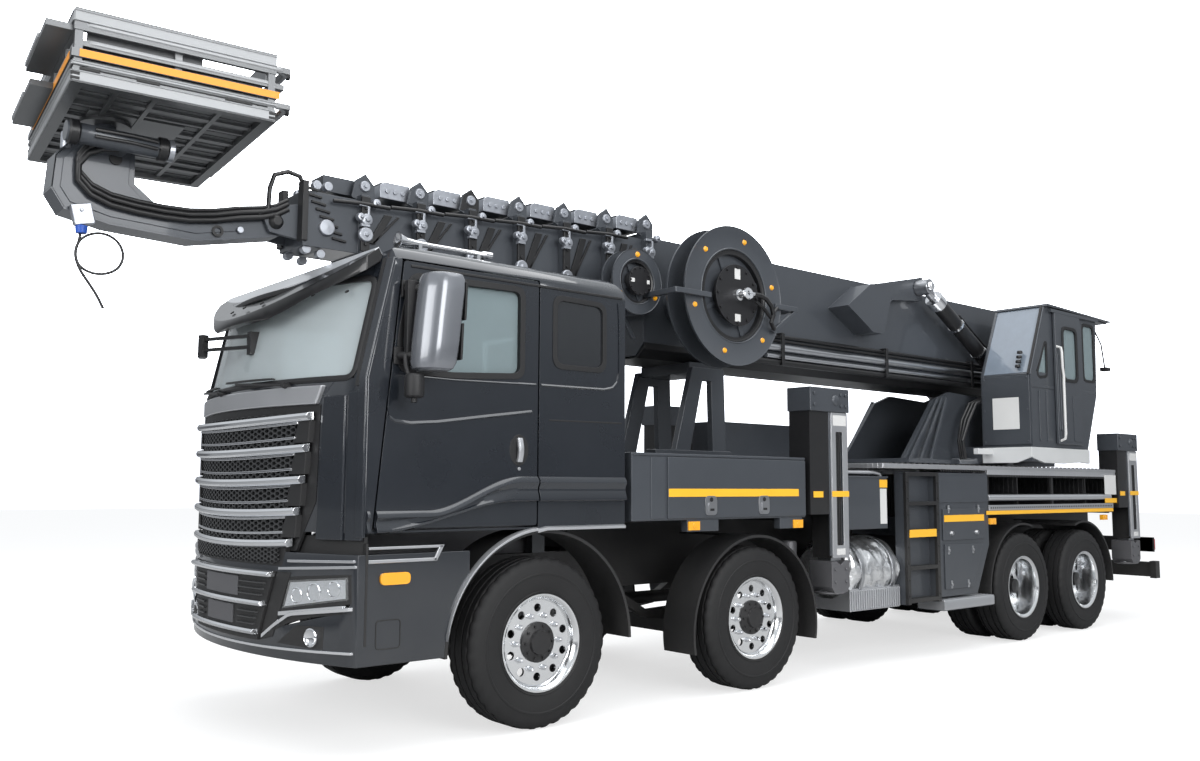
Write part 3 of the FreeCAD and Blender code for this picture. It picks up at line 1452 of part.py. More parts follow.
# ---------------------------------------------------------------- checks and files
doc.recompute()
for obj in doc.Objects:
    for word in ("Invalid", "Error"):
        if word in obj.State:
            raise RuntimeError(f"{obj.Name} ({obj.Label}) is {obj.State}")
os.makedirs("parts", exist_ok=True)
for piece in nodes:
    if piece.Shape.isNull() or not piece.Shape.isValid():
        raise RuntimeError(f"{piece.Label} has no valid shape")
for piece in nodes:
    piece.Shape.exportStep(f"parts/{piece.Label}.step")
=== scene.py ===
"""Truck-mounted aerial work platform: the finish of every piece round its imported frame."""
import math

import bmesh
import bpy
from mathutils import Matrix, Vector


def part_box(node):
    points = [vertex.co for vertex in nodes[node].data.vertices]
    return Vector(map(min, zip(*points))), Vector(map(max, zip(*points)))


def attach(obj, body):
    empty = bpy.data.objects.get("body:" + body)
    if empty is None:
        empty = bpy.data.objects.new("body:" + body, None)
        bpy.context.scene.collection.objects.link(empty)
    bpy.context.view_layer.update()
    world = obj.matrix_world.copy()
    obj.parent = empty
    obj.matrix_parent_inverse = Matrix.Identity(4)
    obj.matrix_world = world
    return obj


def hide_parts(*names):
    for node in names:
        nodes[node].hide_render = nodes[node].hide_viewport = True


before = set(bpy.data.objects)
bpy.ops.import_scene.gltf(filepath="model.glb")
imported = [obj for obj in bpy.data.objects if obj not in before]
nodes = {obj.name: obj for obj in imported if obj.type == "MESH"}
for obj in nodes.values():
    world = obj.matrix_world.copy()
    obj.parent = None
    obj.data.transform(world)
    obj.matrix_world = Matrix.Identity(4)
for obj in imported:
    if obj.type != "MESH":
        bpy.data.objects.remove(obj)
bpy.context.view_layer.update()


# ---------------------------------------------------------------- the yard: camera, floor and lights
# The machine stands on a pale, matt studio floor. A person-high camera looks up a little at it
# from beyond its left front corner, and large soft lamps hang over it.

front_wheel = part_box("wheel_front_left")
FRONT_AXLE = (front_wheel[0].x + front_wheel[1].x) / 2
EYE = Vector((FRONT_AXLE + 4.026, 6.484, 1.5))
HEADING, TILT, LEAN = math.radians(-130.3), math.radians(5.72), math.radians(0.26)

ahead = Vector((
    math.cos(HEADING) * math.cos(TILT), math.sin(HEADING) * math.cos(TILT), math.sin(TILT)))
level_right = ahead.cross(Vector((0, 0, 1))).normalized()
level_up = level_right.cross(ahead)
right = level_right * math.cos(LEAN) + level_up * math.sin(LEAN)
up = level_up * math.cos(LEAN) - level_right * math.sin(LEAN)

camera_data = bpy.data.cameras.new("camera")
camera_data.sensor_width = 36
camera_data.lens = 31.44
camera_data.clip_end = 200
camera = bpy.data.objects.new("camera", camera_data)
bpy.context.scene.collection.objects.link(camera)
camera.matrix_world = Matrix.Translation(EYE) @ Matrix((right, up, -ahead)).transposed().to_4x4()
bpy.context.scene.camera = camera


def lamp(name, place, aim, size, watts):
    """A square softbox that faces a point."""
    data = bpy.data.lights.new(name, "AREA")
    data.shape, data.size, data.energy = "SQUARE", size, watts
    box = bpy.data.objects.new(name, data)
    bpy.context.scene.collection.objects.link(box)
    box.location = place
    box.rotation_mode = "QUATERNION"
    box.rotation_quaternion = (Vector(aim) - Vector(place)).to_track_quat("-Z", "Y")


MIDDLE = (0, 0, 1.5)
lamp("overhead", (1, 2, 13), MIDDLE, 14, 1500)
lamp("near_side", (4, 14, 6), MIDDLE, 7, 1100)
lamp("front", (15, 5, 5), MIDDLE, 6, 600)
lamp("far_side", (-6, -13, 8), MIDDLE, 9, 400)
bpy.context.scene.view_settings.view_transform = "Standard"

world = bpy.data.worlds.new("studio")
bpy.context.scene.world = world
world.use_nodes = True
sky = world.node_tree
backdrop = sky.nodes["Background"]
sight = sky.nodes.new("ShaderNodeLightPath")
glow = sky.nodes.new("ShaderNodeMapRange")
glow.inputs["To Min"].default_value = 0.7
glow.inputs["To Max"].default_value = 8.0
sky.links.new(sight.outputs["Is Camera Ray"], glow.inputs["Value"])
sky.links.new(glow.outputs[0], backdrop.inputs["Strength"])
bearings = sky.nodes.new("ShaderNodeTexCoord")
split = sky.nodes.new("ShaderNodeSeparateXYZ")
ramp = sky.nodes.new("ShaderNodeValToRGB")
ramp.color_ramp.elements[0].position = 0.50
ramp.color_ramp.elements[0].color = (0.16, 0.165, 0.18, 1)
ramp.color_ramp.elements[1].position = 0.66
ramp.color_ramp.elements[1].color = (0.92, 0.96, 1, 1)
height = sky.nodes.new("ShaderNodeMapRange")
height.inputs["From Min"].default_value = -1
sky.links.new(bearings.outputs["Generated"], split.inputs[0])
sky.links.new(split.outputs["Z"], height.inputs["Value"])
sky.links.new(height.outputs[0], ramp.inputs[0])
sky.links.new(ramp.outputs[0], backdrop.inputs["Color"])

floor_mesh = bpy.data.meshes.new("floor")
FLOOR_REACH = 60
floor_mesh.from_pydata(
    [(-FLOOR_REACH, -FLOOR_REACH, 0), (FLOOR_REACH, -FLOOR_REACH, 0),
     (FLOOR_REACH, FLOOR_REACH, 0), (-FLOOR_REACH, FLOOR_REACH, 0)], [], [(0, 1, 2, 3)])
floor = bpy.data.objects.new("floor", floor_mesh)
bpy.context.scene.collection.objects.link(floor)
floor_paint = bpy.data.materials.new("pale_floor")
floor_paint.use_nodes = True
ground = floor_paint.node_tree.nodes["Principled BSDF"]
ground.inputs["Base Color"].default_value = (0.42, 0.42, 0.42, 1)
ground.inputs["Roughness"].default_value = 0.9
ground.inputs["Emission Color"].default_value = (1, 1, 1, 1)
ground_sight = floor_paint.node_tree.nodes.new("ShaderNodeLightPath")
ground_glow = floor_paint.node_tree.nodes.new("ShaderNodeMath")
ground_glow.operation = "MULTIPLY"
ground_glow.inputs[1].default_value = 0.66
floor_paint.node_tree.links.new(ground_sight.outputs["Is Camera Ray"], ground_glow.inputs[0])
floor_paint.node_tree.links.new(ground_glow.outputs[0], ground.inputs["Emission Strength"])
floor_mesh.materials.append(floor_paint)


# ---------------------------------------------------------------- finishes shared by many pieces
# Road film lies on the low panels and thins out upwards; paint has a slight cloudiness, and every
# surface breaks up its gloss a little.

weather = bpy.data.node_groups.new("weather", "ShaderNodeTree")
for name, kind, start in (
        ("Paint", "NodeSocketColor", (0.5, 0.5, 0.5, 1)), ("Film", "NodeSocketColor", (0.10, 0.097, 0.09, 1)),
        ("Road Film", "NodeSocketFloat", 0.3), ("Gloss", "NodeSocketFloat", 0.3),
        ("Break Up", "NodeSocketFloat", 0.1), ("Patches", "NodeSocketFloat", 3.0),
        ("Cloud", "NodeSocketFloat", 0.1), ("Grain", "NodeSocketFloat", 300.0)):
    socket = weather.interface.new_socket(name, in_out="INPUT", socket_type=kind)
    socket.default_value = start
for name, kind in (("Color", "NodeSocketColor"), ("Roughness", "NodeSocketFloat"),
                   ("Height", "NodeSocketFloat")):
    weather.interface.new_socket(name, in_out="OUTPUT", socket_type=kind)


def wire(tree, kind, ends=(), **settings):
    """Adds a node, sets its properties and feeds its inputs from values or other sockets."""
    node = tree.nodes.new(kind)
    for key, value in settings.items():
        setattr(node, key, value)
    for key, value in dict(ends).items():
        if isinstance(value, bpy.types.NodeSocket):
            tree.links.new(value, node.inputs[key])
        else:
            node.inputs[key].default_value = value
    return node


def calc(tree, operation, a, b=0.0, clamp=False):
    """One sum of a math node."""
    return wire(tree, "ShaderNodeMath", {0: a, 1: b}, operation=operation, use_clamp=clamp).outputs[0]


given = weather.nodes.new("NodeGroupInput").outputs
where = wire(weather, "ShaderNodeTexCoord").outputs["Object"]
level = wire(weather, "ShaderNodeSeparateXYZ", {0: where}).outputs["Z"]
patches = wire(weather, "ShaderNodeTexNoise",
               {"Vector": where, "Scale": given["Patches"], "Detail": 5.0}).outputs[0]
grain = wire(weather, "ShaderNodeTexNoise",
             {"Vector": where, "Scale": given["Grain"], "Detail": 2.0}).outputs[0]
lowness = wire(weather, "ShaderNodeMapRange", {
    "Value": level, "From Min": 1.5, "From Max": 0.3}).outputs[0]
film = calc(weather, "MULTIPLY", calc(weather, "MULTIPLY", lowness, patches), given["Road Film"], True)
swing = calc(weather, "SUBTRACT", patches, 0.5)
tone = calc(weather, "ADD", calc(weather, "MULTIPLY", swing, given["Cloud"]), 1.0)
shade = wire(weather, "ShaderNodeVectorMath", {0: given["Paint"]}, operation="SCALE")
weather.links.new(tone, shade.inputs["Scale"])
dusty = wire(weather, "ShaderNodeMix", data_type="RGBA")
weather.links.new(film, dusty.inputs[0])
weather.links.new(shade.outputs[0], dusty.inputs[6])
weather.links.new(given["Film"], dusty.inputs[7])
gloss = calc(weather, "ADD", given["Gloss"], calc(weather, "MULTIPLY", swing, given["Break Up"]))
gloss = calc(weather, "ADD", gloss, calc(weather, "MULTIPLY", film, 0.5), True)
taken = weather.nodes.new("NodeGroupOutput")
weather.links.new(dusty.outputs[2], taken.inputs["Color"])
weather.links.new(gloss, taken.inputs["Roughness"])
weather.links.new(grain, taken.inputs["Height"])

finishes = {}


def finish(name, paint, gloss, metal=0.0, film=0.25, break_up=0.12, cloud=0.15, patches=3.0,
           grain=300.0, relief=0.02, coat=0.0, depth=0.001, **shader):
    """A weathered material; shader sets the shader's own sockets."""
    made = bpy.data.materials.new(name)
    made.use_nodes = True
    tree = made.node_tree
    skin = tree.nodes["Principled BSDF"]
    worn = wire(tree, "ShaderNodeGroup", node_tree=weather)
    for key, value in (("Paint", (*paint, 1)), ("Road Film", film), ("Gloss", gloss),
                       ("Break Up", break_up), ("Patches", patches), ("Cloud", cloud), ("Grain", grain)):
        worn.inputs[key].default_value = value
    tree.links.new(worn.outputs["Color"], skin.inputs["Base Color"])
    tree.links.new(worn.outputs["Roughness"], skin.inputs["Roughness"])
    skin.inputs["Metallic"].default_value = metal
    skin.inputs["Coat Weight"].default_value = coat
    skin.inputs["Coat Roughness"].default_value = 0.04
    for key, value in shader.items():
        skin.inputs[key.replace("_", " ")].default_value = value
    if relief:
        bump = wire(tree, "ShaderNodeBump", {
            "Strength": relief, "Distance": depth, "Height": worn.outputs["Height"]})
        tree.links.new(bump.outputs[0], skin.inputs["Normal"])
    finishes[name] = made
    return made


cab_paint = finish("cab_paint", (0.018, 0.022, 0.029), 0.28, metal=0.35, film=0.25, coat=1.0, relief=0)
upper_paint = finish("upper_paint", (0.060, 0.067, 0.078), 0.40, metal=0.25, film=0.2, coat=0.35,
                     relief=0.05, grain=160.0)
chassis_black = finish("chassis_black", (0.010, 0.010, 0.011), 0.42, film=0.45, relief=0.1, grain=120.0)
black_plastic = finish("black_plastic", (0.010, 0.010, 0.011), 0.52, film=0.3, relief=0.25, grain=700.0)
chrome = finish("chrome", (0.82, 0.83, 0.85), 0.09, metal=1.0, film=0.1, break_up=0.05, relief=0)
steel = finish("steel", (0.50, 0.51, 0.53), 0.3, metal=1.0, film=0.2, relief=0.1, grain=220.0)
aluminium = finish("aluminium", (0.60, 0.61, 0.63), 0.36, metal=0.85, film=0.15, relief=0.08, grain=180.0)
tyre_rubber = finish("tyre_rubber", (0.012, 0.012, 0.013), 0.58, film=0.10, relief=0.3, grain=260.0,
                     Specular_IOR_Level=0.3)
hose_rubber = finish("hose_rubber", (0.012, 0.012, 0.013), 0.38, film=0.1, relief=0.1)
amber = finish("amber_lens", (0.95, 0.42, 0.02), 0.18, film=0.1, relief=0, coat=0.6)
red_lens = finish("red_lens", (0.5, 0.01, 0.01), 0.2, film=0.1, relief=0, coat=0.6)
tape_yellow = finish("tape_yellow", (0.95, 0.5, 0.03), 0.35, film=0.12, relief=0.3, grain=500.0)
white_label = finish("white_label", (0.66, 0.66, 0.65), 0.4, film=0.1, relief=0)
cast_grey = finish("cast_grey", (0.16, 0.16, 0.17), 0.5, metal=0.6, film=0.3, relief=0.3, grain=90.0)

window_glass = bpy.data.materials.new("window_glass")
window_glass.use_nodes = True
pane = window_glass.node_tree.nodes["Principled BSDF"]
pane.inputs["Base Color"].default_value = (0.34, 0.42, 0.44, 1)
pane.inputs["Transmission Weight"].default_value = 0.45
pane.inputs["IOR"].default_value = 1.2
smear = wire(window_glass.node_tree, "ShaderNodeTexNoise", {"Scale": 6.0, "Detail": 3.0})
smear_range = wire(window_glass.node_tree, "ShaderNodeMapRange", {
    "Value": smear.outputs[0], "To Min": 0.0, "To Max": 0.02})
window_glass.node_tree.links.new(smear_range.outputs[0], pane.inputs["Roughness"])
windscreen = window_glass.copy()
windscreen.name = "windscreen_glass"
windscreen.node_tree.nodes["Principled BSDF"].inputs["Base Color"].default_value = (0.70, 0.77, 0.79, 1)
windscreen.node_tree.nodes["Principled BSDF"].inputs["Transmission Weight"].default_value = 0.55


def coat_nodes(material, *names):
    """Gives CAD nodes their finish."""
    for name in names:
        mesh = nodes[name].data
        mesh.materials.clear()
        mesh.materials.append(material)


SECTIONS = [f"boom_section_{i}" for i in range(2, 8)]
CORNERS = ("front_left", "front_right", "rear_left", "rear_right")
coat_nodes(cab_paint, "cab_shell", "left_door", "right_door", "front_bumper", "grille")
coat_nodes(upper_paint, "turret", "operator_cab", "operator_door", "boom_base", *SECTIONS, "levelling_arm",
           "toolboxes", "side_cabinets", "boom_rest")
coat_nodes(chassis_black, "chassis_frame", "subframe", "axles", "rear_bumper", "front_mirror",
           *[f"outrigger_beam_{c}" for c in CORNERS],
           *[f"knuckle_{a}_{b}" for a in ("front", "second") for b in ("left", "right")])
coat_nodes(black_plastic, "mudguards", "cab_interior", "sun_visor")
coat_nodes(windscreen, "cab_glass")
coat_nodes(aluminium, "deck", "platform", "tanks")
coat_nodes(steel, "lift_rods", *[f"outrigger_leg_{c}" for c in CORNERS])
coat_nodes(chassis_black, "lift_barrels", "hose_reel_left", "hose_reel_right", "cable_reel")
coat_nodes(cast_grey, "engine_block")
coat_nodes(tyre_rubber, *[n for n in nodes if n.startswith("wheel_")])
coat_nodes(white_label, "lamps")


# ---------------------------------------------------------------- wheels
# Ten-stud disc wheels with truck tyres. The steered wheels have polished aluminium discs with
# round hand holes and black hubs; the driven twins have deep dishes round a drive flange.

class Work:
    """Metal, rubber or glass being made up into one piece."""

    def __init__(self):
        self.mesh = bmesh.new()

    def add(self, points, faces, place=None):
        corners = [self.mesh.verts.new(place @ Vector(p) if place else Vector(p)) for p in points]
        for face in faces:
            self.mesh.faces.new([corners[i] for i in face])

    def block(self, x0, x1, y0, y1, z0, z1, place=None):
        """A box between two levels along each axis."""
        points = [(x, y, z) for x in (x0, x1) for y in (y0, y1) for z in (z0, z1)]
        self.add(points, [(0, 1, 3, 2), (4, 6, 7, 5), (0, 4, 5, 1), (2, 3, 7, 6), (0, 2, 6, 4),
                          (1, 5, 7, 3)], place)

    def prism(self, outline, low, high, across="Y", place=None):
        """An outline drawn square to an axis and drawn out along it."""
        order = {"X": lambda u, v, w: (w, u, v), "Y": lambda u, v, w: (u, w, v),
                 "Z": lambda u, v, w: (u, v, w)}[across]
        n = len(outline)
        points = [order(u, v, w) for w in (low, high) for u, v in outline]
        faces = [tuple(range(n)), tuple(range(2 * n - 1, n - 1, -1))]
        faces += [(i, i + n, (i + 1) % n + n, (i + 1) % n) for i in range(n)]
        self.add(points, faces, place)

    def turned(self, profile, place, steps=32, ripple=None, closed=True):
        """A profile of (radius, height) turned about the local Z axis."""
        n = len(profile)
        points = []
        for i in range(steps):
            turn = 2 * math.pi * i / steps
            for j, (radius, height) in enumerate(profile):
                r = radius + (ripple(i, j) if ripple else 0)
                points.append((r * math.cos(turn), r * math.sin(turn), height))
        runs = n if closed else n - 1
        faces = [
            (i * n + j, (i + 1) % steps * n + j, (i + 1) % steps * n + (j + 1) % n, i * n + (j + 1) % n)
            for i in range(steps) for j in range(runs)]
        self.add(points, faces, place)

    def disc(self, radius, low, high, place, steps=24, top=None):
        """A short round bar with flat ends, tapered if its top has another radius."""
        top = radius if top is None else top
        ring = circle(1.0, steps)
        points = [(radius * u, radius * v, low) for u, v in ring]
        points += [(top * u, top * v, high) for u, v in ring]
        faces = [tuple(range(steps - 1, -1, -1)), tuple(range(steps, 2 * steps))]
        faces += [(i, (i + 1) % steps, (i + 1) % steps + steps, i + steps) for i in range(steps)]
        self.add(points, faces, place)

    def pierced(self, outer, holes, low, high, place):
        """A flat plate with holes: loops of (u, v) in the local XY plane."""
        flat = bmesh.new()
        for loop in [outer, *holes]:
            ring = [flat.verts.new((u, v, low)) for u, v in loop]
            for i in range(len(ring)):
                flat.edges.new((ring[i], ring[(i + 1) % len(ring)]))
        bmesh.ops.triangle_fill(flat, use_beauty=True, use_dissolve=False, edges=flat.edges[:])
        grown = bmesh.ops.extrude_face_region(flat, geom=flat.faces[:])
        for corner in grown["geom"]:
            if isinstance(corner, bmesh.types.BMVert):
                corner.co.z = high
        bmesh.ops.recalc_face_normals(flat, faces=flat.faces[:])
        flat.verts.index_update()
        points = [v.co.copy() for v in flat.verts]
        self.add(points, [[v.index for v in f.verts] for f in flat.faces], place)
        flat.free()

    def pipe(self, points, radius, sides=10, place=None):
        """A round bar along a path, with flat ends."""
        path = [Vector(p) for p in points]
        ring = circle(1.0, sides)
        n = len(path)
        runs = [(path[min(i + 1, n - 1)] - path[max(i - 1, 0)]).normalized() for i in range(n)]
        side = runs[0].orthogonal().normalized()
        corners = []
        for i in range(n):
            side = (side - runs[i] * side.dot(runs[i])).normalized()
            other = runs[i].cross(side)
            corners += [path[i] + (side * u + other * v) * radius for u, v in ring]
        faces = [tuple(range(sides - 1, -1, -1)), tuple(range((n - 1) * sides, n * sides))]
        faces += [(i * sides + j, i * sides + (j + 1) % sides, (i + 1) * sides + (j + 1) % sides,
                   (i + 1) * sides + j) for i in range(n - 1) for j in range(sides)]
        self.add(corners, faces, place)

    def swept(self, loops):
        """Skins a run of like loops, with flat ends."""
        n, m = len(loops[0]), len(loops)
        faces = [tuple(range(n)), tuple(range(m * n - 1, (m - 1) * n - 1, -1))]
        faces += [(i * n + j, i * n + (j + 1) % n, (i + 1) * n + (j + 1) % n, (i + 1) * n + j)
                  for i in range(m - 1) for j in range(n)]
        self.add([point for loop in loops for point in loop], faces)

    def flipped(self):
        """Turns everything so far over to the other side of the machine's middle."""
        for corner in self.mesh.verts:
            corner.co.y = -corner.co.y
        bmesh.ops.reverse_faces(self.mesh, faces=self.mesh.faces[:])
        return self

    def both_sides(self):
        """Repeats everything so far on the other side of the machine's middle."""
        grown = bmesh.ops.duplicate(self.mesh,
                                    geom=self.mesh.verts[:] + self.mesh.edges[:] + self.mesh.faces[:])
        for item in grown["geom"]:
            if isinstance(item, bmesh.types.BMVert):
                item.co.y = -item.co.y
        copied = [face for face in grown["geom"] if isinstance(face, bmesh.types.BMFace)]
        bmesh.ops.reverse_faces(self.mesh, faces=copied)
        return self

    def finished(self, name, crisp=35):
        """The finished mesh, its sharp corners marked; several wheels may share one."""
        bmesh.ops.recalc_face_normals(self.mesh, faces=self.mesh.faces[:])
        for edge in self.mesh.edges:
            if edge.calc_face_angle(0) > math.radians(crisp):
                edge.smooth = False
        for face in self.mesh.faces:
            face.smooth = True
        data = bpy.data.meshes.new(name)
        self.mesh.to_mesh(data)
        self.mesh.free()
        return data

    def made(self, name, material, body, slot, bevel=0.0, stands_for=(), crisp=35):
        """Finishes the piece and hangs it on its body."""
        return hung(name, self.finished(name, crisp), material, body, bevel, stands_for)


def break_edges(piece, width):
    """Rounds a piece's sharp edges a little, without touching its mesh."""
    edge = piece.modifiers.new("broken_edges", "BEVEL")
    edge.width, edge.segments = width, 2
    edge.limit_method, edge.angle_limit = "ANGLE", math.radians(32)
    edge.harden_normals = True


def hung(name, data, material, body, bevel=0.0, stands_for=(), place=None):
    """Puts a mesh on a body of the machine."""
    if not data.materials:
        data.materials.append(material)
    piece = bpy.data.objects.new(name, data)
    bpy.context.scene.collection.objects.link(piece)
    if place:
        piece.matrix_world = place
    if bevel:
        break_edges(piece, bevel)
    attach(piece, body)
    if stands_for:
        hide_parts(*stands_for)
    return piece


def facing(centre, direction):
    """A place at a point whose local Z axis looks along a direction."""
    turn = Vector((0, 0, 1)).rotation_difference(Vector(direction)).to_matrix().to_4x4()
    return Matrix.Translation(centre) @ turn


def circle(radius, steps, u=0.0, v=0.0):
    return [(u + radius * math.cos(2 * math.pi * i / steps), v + radius * math.sin(2 * math.pi * i / steps))
            for i in range(steps)]


def rectangle(u0, u1, v0, v1):
    return [(u0, v0), (u1, v0), (u1, v1), (u0, v1)]


def outward(x, y, z):
    """A place, x told from the front axle, that looks out to the left."""
    return facing((FRONT_AXLE + x, y, z), (0, 1, 0))


TYRE_RADIUS, RIM_RADIUS = 0.525, 0.286
STUDS, STUD_CIRCLE, HOLE_CIRCLE, HOLE_RADIUS = 10, 0.1675, 0.212, 0.026
TYRE_STEPS = 108


def tyre(width):
    """A tyre's ring from bead to bead, its tread grooved round and across."""
    half, r, rim = width / 2, TYRE_RADIUS, RIM_RADIUS
    side = [(rim - 0.004, half - 0.028), (rim + 0.012, half - 0.016), (rim + 0.03, half - 0.006),
            (rim + 0.034, half - 0.010), (rim + 0.07, half - 0.001), (rim + 0.13, half),
            (rim + 0.134, half + 0.003), (rim + 0.142, half + 0.003), (rim + 0.146, half - 0.001),
            (r - 0.055, half - 0.006), (r - 0.03, half - 0.013), (r - 0.010, half - 0.026),
            (r - 0.002, half - 0.040)]
    tread = []
    for rib in (0.092, 0.036):
        y = rib * width / 0.3
        tread += [(r - 0.001, y + 0.008), (r - 0.014, y + 0.006), (r - 0.014, y - 0.006), (r, y - 0.008)]
    outer = side + tread
    inner = [(radius, -y) for radius, y in reversed(outer)]
    shoulder = {10, 11, 12, 13, len(outer) * 2 - 11, len(outer) * 2 - 12, len(outer) * 2 - 13,
                len(outer) * 2 - 14}

    def lug(i, j):
        return -0.009 if i % 3 == 0 and j in shoulder else 0.0

    piece = Work()
    piece.turned(outer + inner, Matrix.Identity(4), TYRE_STEPS, lug)
    return piece


def dished(profile, disc_low, disc_high):
    """A rim and its pierced disc; profile runs from the outer lip to the disc's edge."""
    piece = Work()
    piece.turned(profile, Matrix.Identity(4), 72)
    holes = [circle(HOLE_RADIUS, 20, HOLE_CIRCLE * math.cos(a), HOLE_CIRCLE * math.sin(a))
             for a in (2 * math.pi * (i + 0.5) / STUDS for i in range(STUDS))]
    piece.pierced(circle(0.262, 72), [circle(0.095, 48), *holes], disc_low, disc_high, None)
    return piece


def studs(level, reach):
    piece = Work()
    for i in range(STUDS):
        a = 2 * math.pi * i / STUDS
        place = Matrix.Translation((STUD_CIRCLE * math.cos(a), STUD_CIRCLE * math.sin(a), level))
        piece.disc(0.021, 0, 0.006, place, 16)
        piece.disc(0.0165, 0.006, reach, place, 6, 0.0155)
        piece.disc(0.010, reach, reach + 0.008, place, 10, 0.008)
    return piece


def hub(level, radius, reach, bolts):
    piece = Work()
    piece.turned([(0.0001, 0), (radius, 0), (radius, reach * 0.35), (radius * 0.8, reach * 0.5),
                  (radius * 0.62, reach * 0.62), (radius * 0.58, reach), (0.0001, reach * 1.05)],
                 Matrix.Translation((0, 0, level)), 36, closed=False)
    for i in range(bolts):
        a = 2 * math.pi * i / bolts
        place = Matrix.Translation((radius * 0.83 * math.cos(a), radius * 0.83 * math.sin(a), level))
        piece.disc(0.009, reach * 0.34, reach * 0.34 + 0.018, place, 6)
    return piece


TYRE_WIDTH, TWIN_WIDTH, TWIN_PITCH = 0.30, 0.285, 0.335
polished = finish("polished_alloy", (0.86, 0.87, 0.88), 0.16, metal=1.0, film=0.05, break_up=0.1, relief=0.03)
black_hub = finish("black_hub", (0.02, 0.02, 0.022), 0.35, metal=0.3, film=0.25, relief=0.1)


half = TYRE_WIDTH / 2
front_disc = dished([
    (RIM_RADIUS + 0.014, half - 0.020), (RIM_RADIUS + 0.014, half - 0.010),
    (RIM_RADIUS + 0.004, half - 0.010), (RIM_RADIUS - 0.012, half - 0.022), (0.262, half - 0.052),
    (0.258, half - 0.066), (0.258, half - 0.078), (0.264, half - 0.078), (0.276, half - 0.05),
    (0.276, -half + 0.02), (RIM_RADIUS + 0.012, -half + 0.02), (RIM_RADIUS + 0.012, -half + 0.03),
    (RIM_RADIUS - 0.004, -half + 0.04), (RIM_RADIUS - 0.002, half - 0.03)], half - 0.078,
    half - 0.06).finished("front_disc")
front_tyre = tyre(TYRE_WIDTH).finished("front_tyre", 28)
front_studs = studs(half - 0.061, 0.034).finished("front_studs")
front_hub = hub(half - 0.066, 0.125, 0.052, 10).finished("front_hub")
twin_tyre = tyre(TWIN_WIDTH).finished("twin_tyre", 28)
half = TWIN_WIDTH / 2
rear_disc = dished([
    (RIM_RADIUS + 0.014, half - 0.020), (RIM_RADIUS + 0.014, half - 0.010),
    (RIM_RADIUS + 0.002, half - 0.010), (RIM_RADIUS - 0.016, half - 0.024), (0.262, half - 0.060),
    (0.256, half - 0.15), (0.262, half - 0.245), (0.262, half - 0.262), (0.272, half - 0.262),
    (0.268, half - 0.14), (0.276, half - 0.05), (RIM_RADIUS - 0.004, half - 0.03)], half - 0.262,
    half - 0.244).finished("rear_disc")
rear_studs = studs(half - 0.245, 0.034).finished("rear_studs")
rear_hub = hub(half - 0.25, 0.118, 0.15, 10).finished("rear_hub")
inner_rim = Work()
inner_rim.turned([(RIM_RADIUS + 0.01, half - 0.03), (RIM_RADIUS + 0.01, -half + 0.03), (0.27, -half + 0.03),
                  (0.27, half - 0.03)], Matrix.Identity(4), 48)
inner_rim = inner_rim.finished("inner_rim")

for node_name in sorted(n for n in nodes if n.startswith("wheel_")):
    low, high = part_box(node_name)
    centre = (low + high) / 2
    side = 1 if centre.y > 0 else -1
    outer_y = high.y if side > 0 else -low.y
    if "front" in node_name or "second" in node_name:
        middle_y = outer_y - TYRE_WIDTH / 2
        parts = [(front_tyre, tyre_rubber, "tyre", middle_y, "tyre"),
                 (front_disc, polished, "disc", middle_y, "tyre"),
                 (front_studs, chrome, "nuts", middle_y, "steel_rod"),
                 (front_hub, black_hub, "hub", middle_y, "frame_paint")]
    else:
        middle_y = outer_y - TWIN_WIDTH / 2
        parts = [(twin_tyre, tyre_rubber, "tyre", middle_y, "tyre"),
                 (twin_tyre, tyre_rubber, "inner_tyre", middle_y - TWIN_PITCH, "tyre"),
                 (inner_rim, black_hub, "inner_rim", middle_y - TWIN_PITCH, "frame_paint"),
                 (rear_disc, polished, "disc", middle_y, "tyre"),
                 (rear_studs, chrome, "nuts", middle_y, "steel_rod"),
                 (rear_hub, black_hub, "hub", middle_y, "frame_paint")]
    for data, material, part, y, slot in parts:
        place = facing((centre.x, side * y, centre.z), (0, side, 0))
        hung(f"{node_name}_{part}", data, material, node_name, place=place,
             stands_for=(node_name,) if part == "tyre" else ())


# ---------------------------------------------------------------- driver's cab shell
# A pressed steel cab with a curved nose that rakes back above the waist. Its seams are broken
# edges in gunmetal paint, with a fold down each panel beside the grille.

def broken(name, width):
    """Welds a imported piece, clears its flat faces and breaks its edges."""
    piece = nodes[name]
    weld = piece.modifiers.new("weld", "WELD")
    weld.merge_threshold = 0.0002
    flat = piece.modifiers.new("flat_faces", "DECIMATE")
    flat.decimate_type, flat.angle_limit = "DISSOLVE", math.radians(0.8)
    break_edges(piece, width)


for name, width in (
        ("cab_shell", 0.012), ("front_bumper", 0.006), ("toolboxes", 0.006), ("side_cabinets", 0.006),
        ("turret", 0.006), ("operator_cab", 0.008), ("operator_door", 0.006), ("boom_base", 0.008),
        ("levelling_arm", 0.008), ("boom_rest", 0.006), ("tanks", 0.01), ("deck", 0.004),
        ("sun_visor", 0.008), *[(s, 0.005) for s in SECTIONS]):
    broken(name, width)

CAB_SIDE, CAB_NOSE, CAB_CORNER, WAIST_Z, CAB_ROOF_Z, RAKE = 1.22, 1.52, 1.25, 2.10, 2.90, 0.16
CAB_BACK = -0.66
NOSE_SAG = CAB_NOSE - CAB_CORNER
NOSE_RADIUS = (CAB_SIDE ** 2 + NOSE_SAG ** 2) / (2 * NOSE_SAG)
NOSE_CENTRE = FRONT_AXLE + CAB_NOSE - NOSE_RADIUS


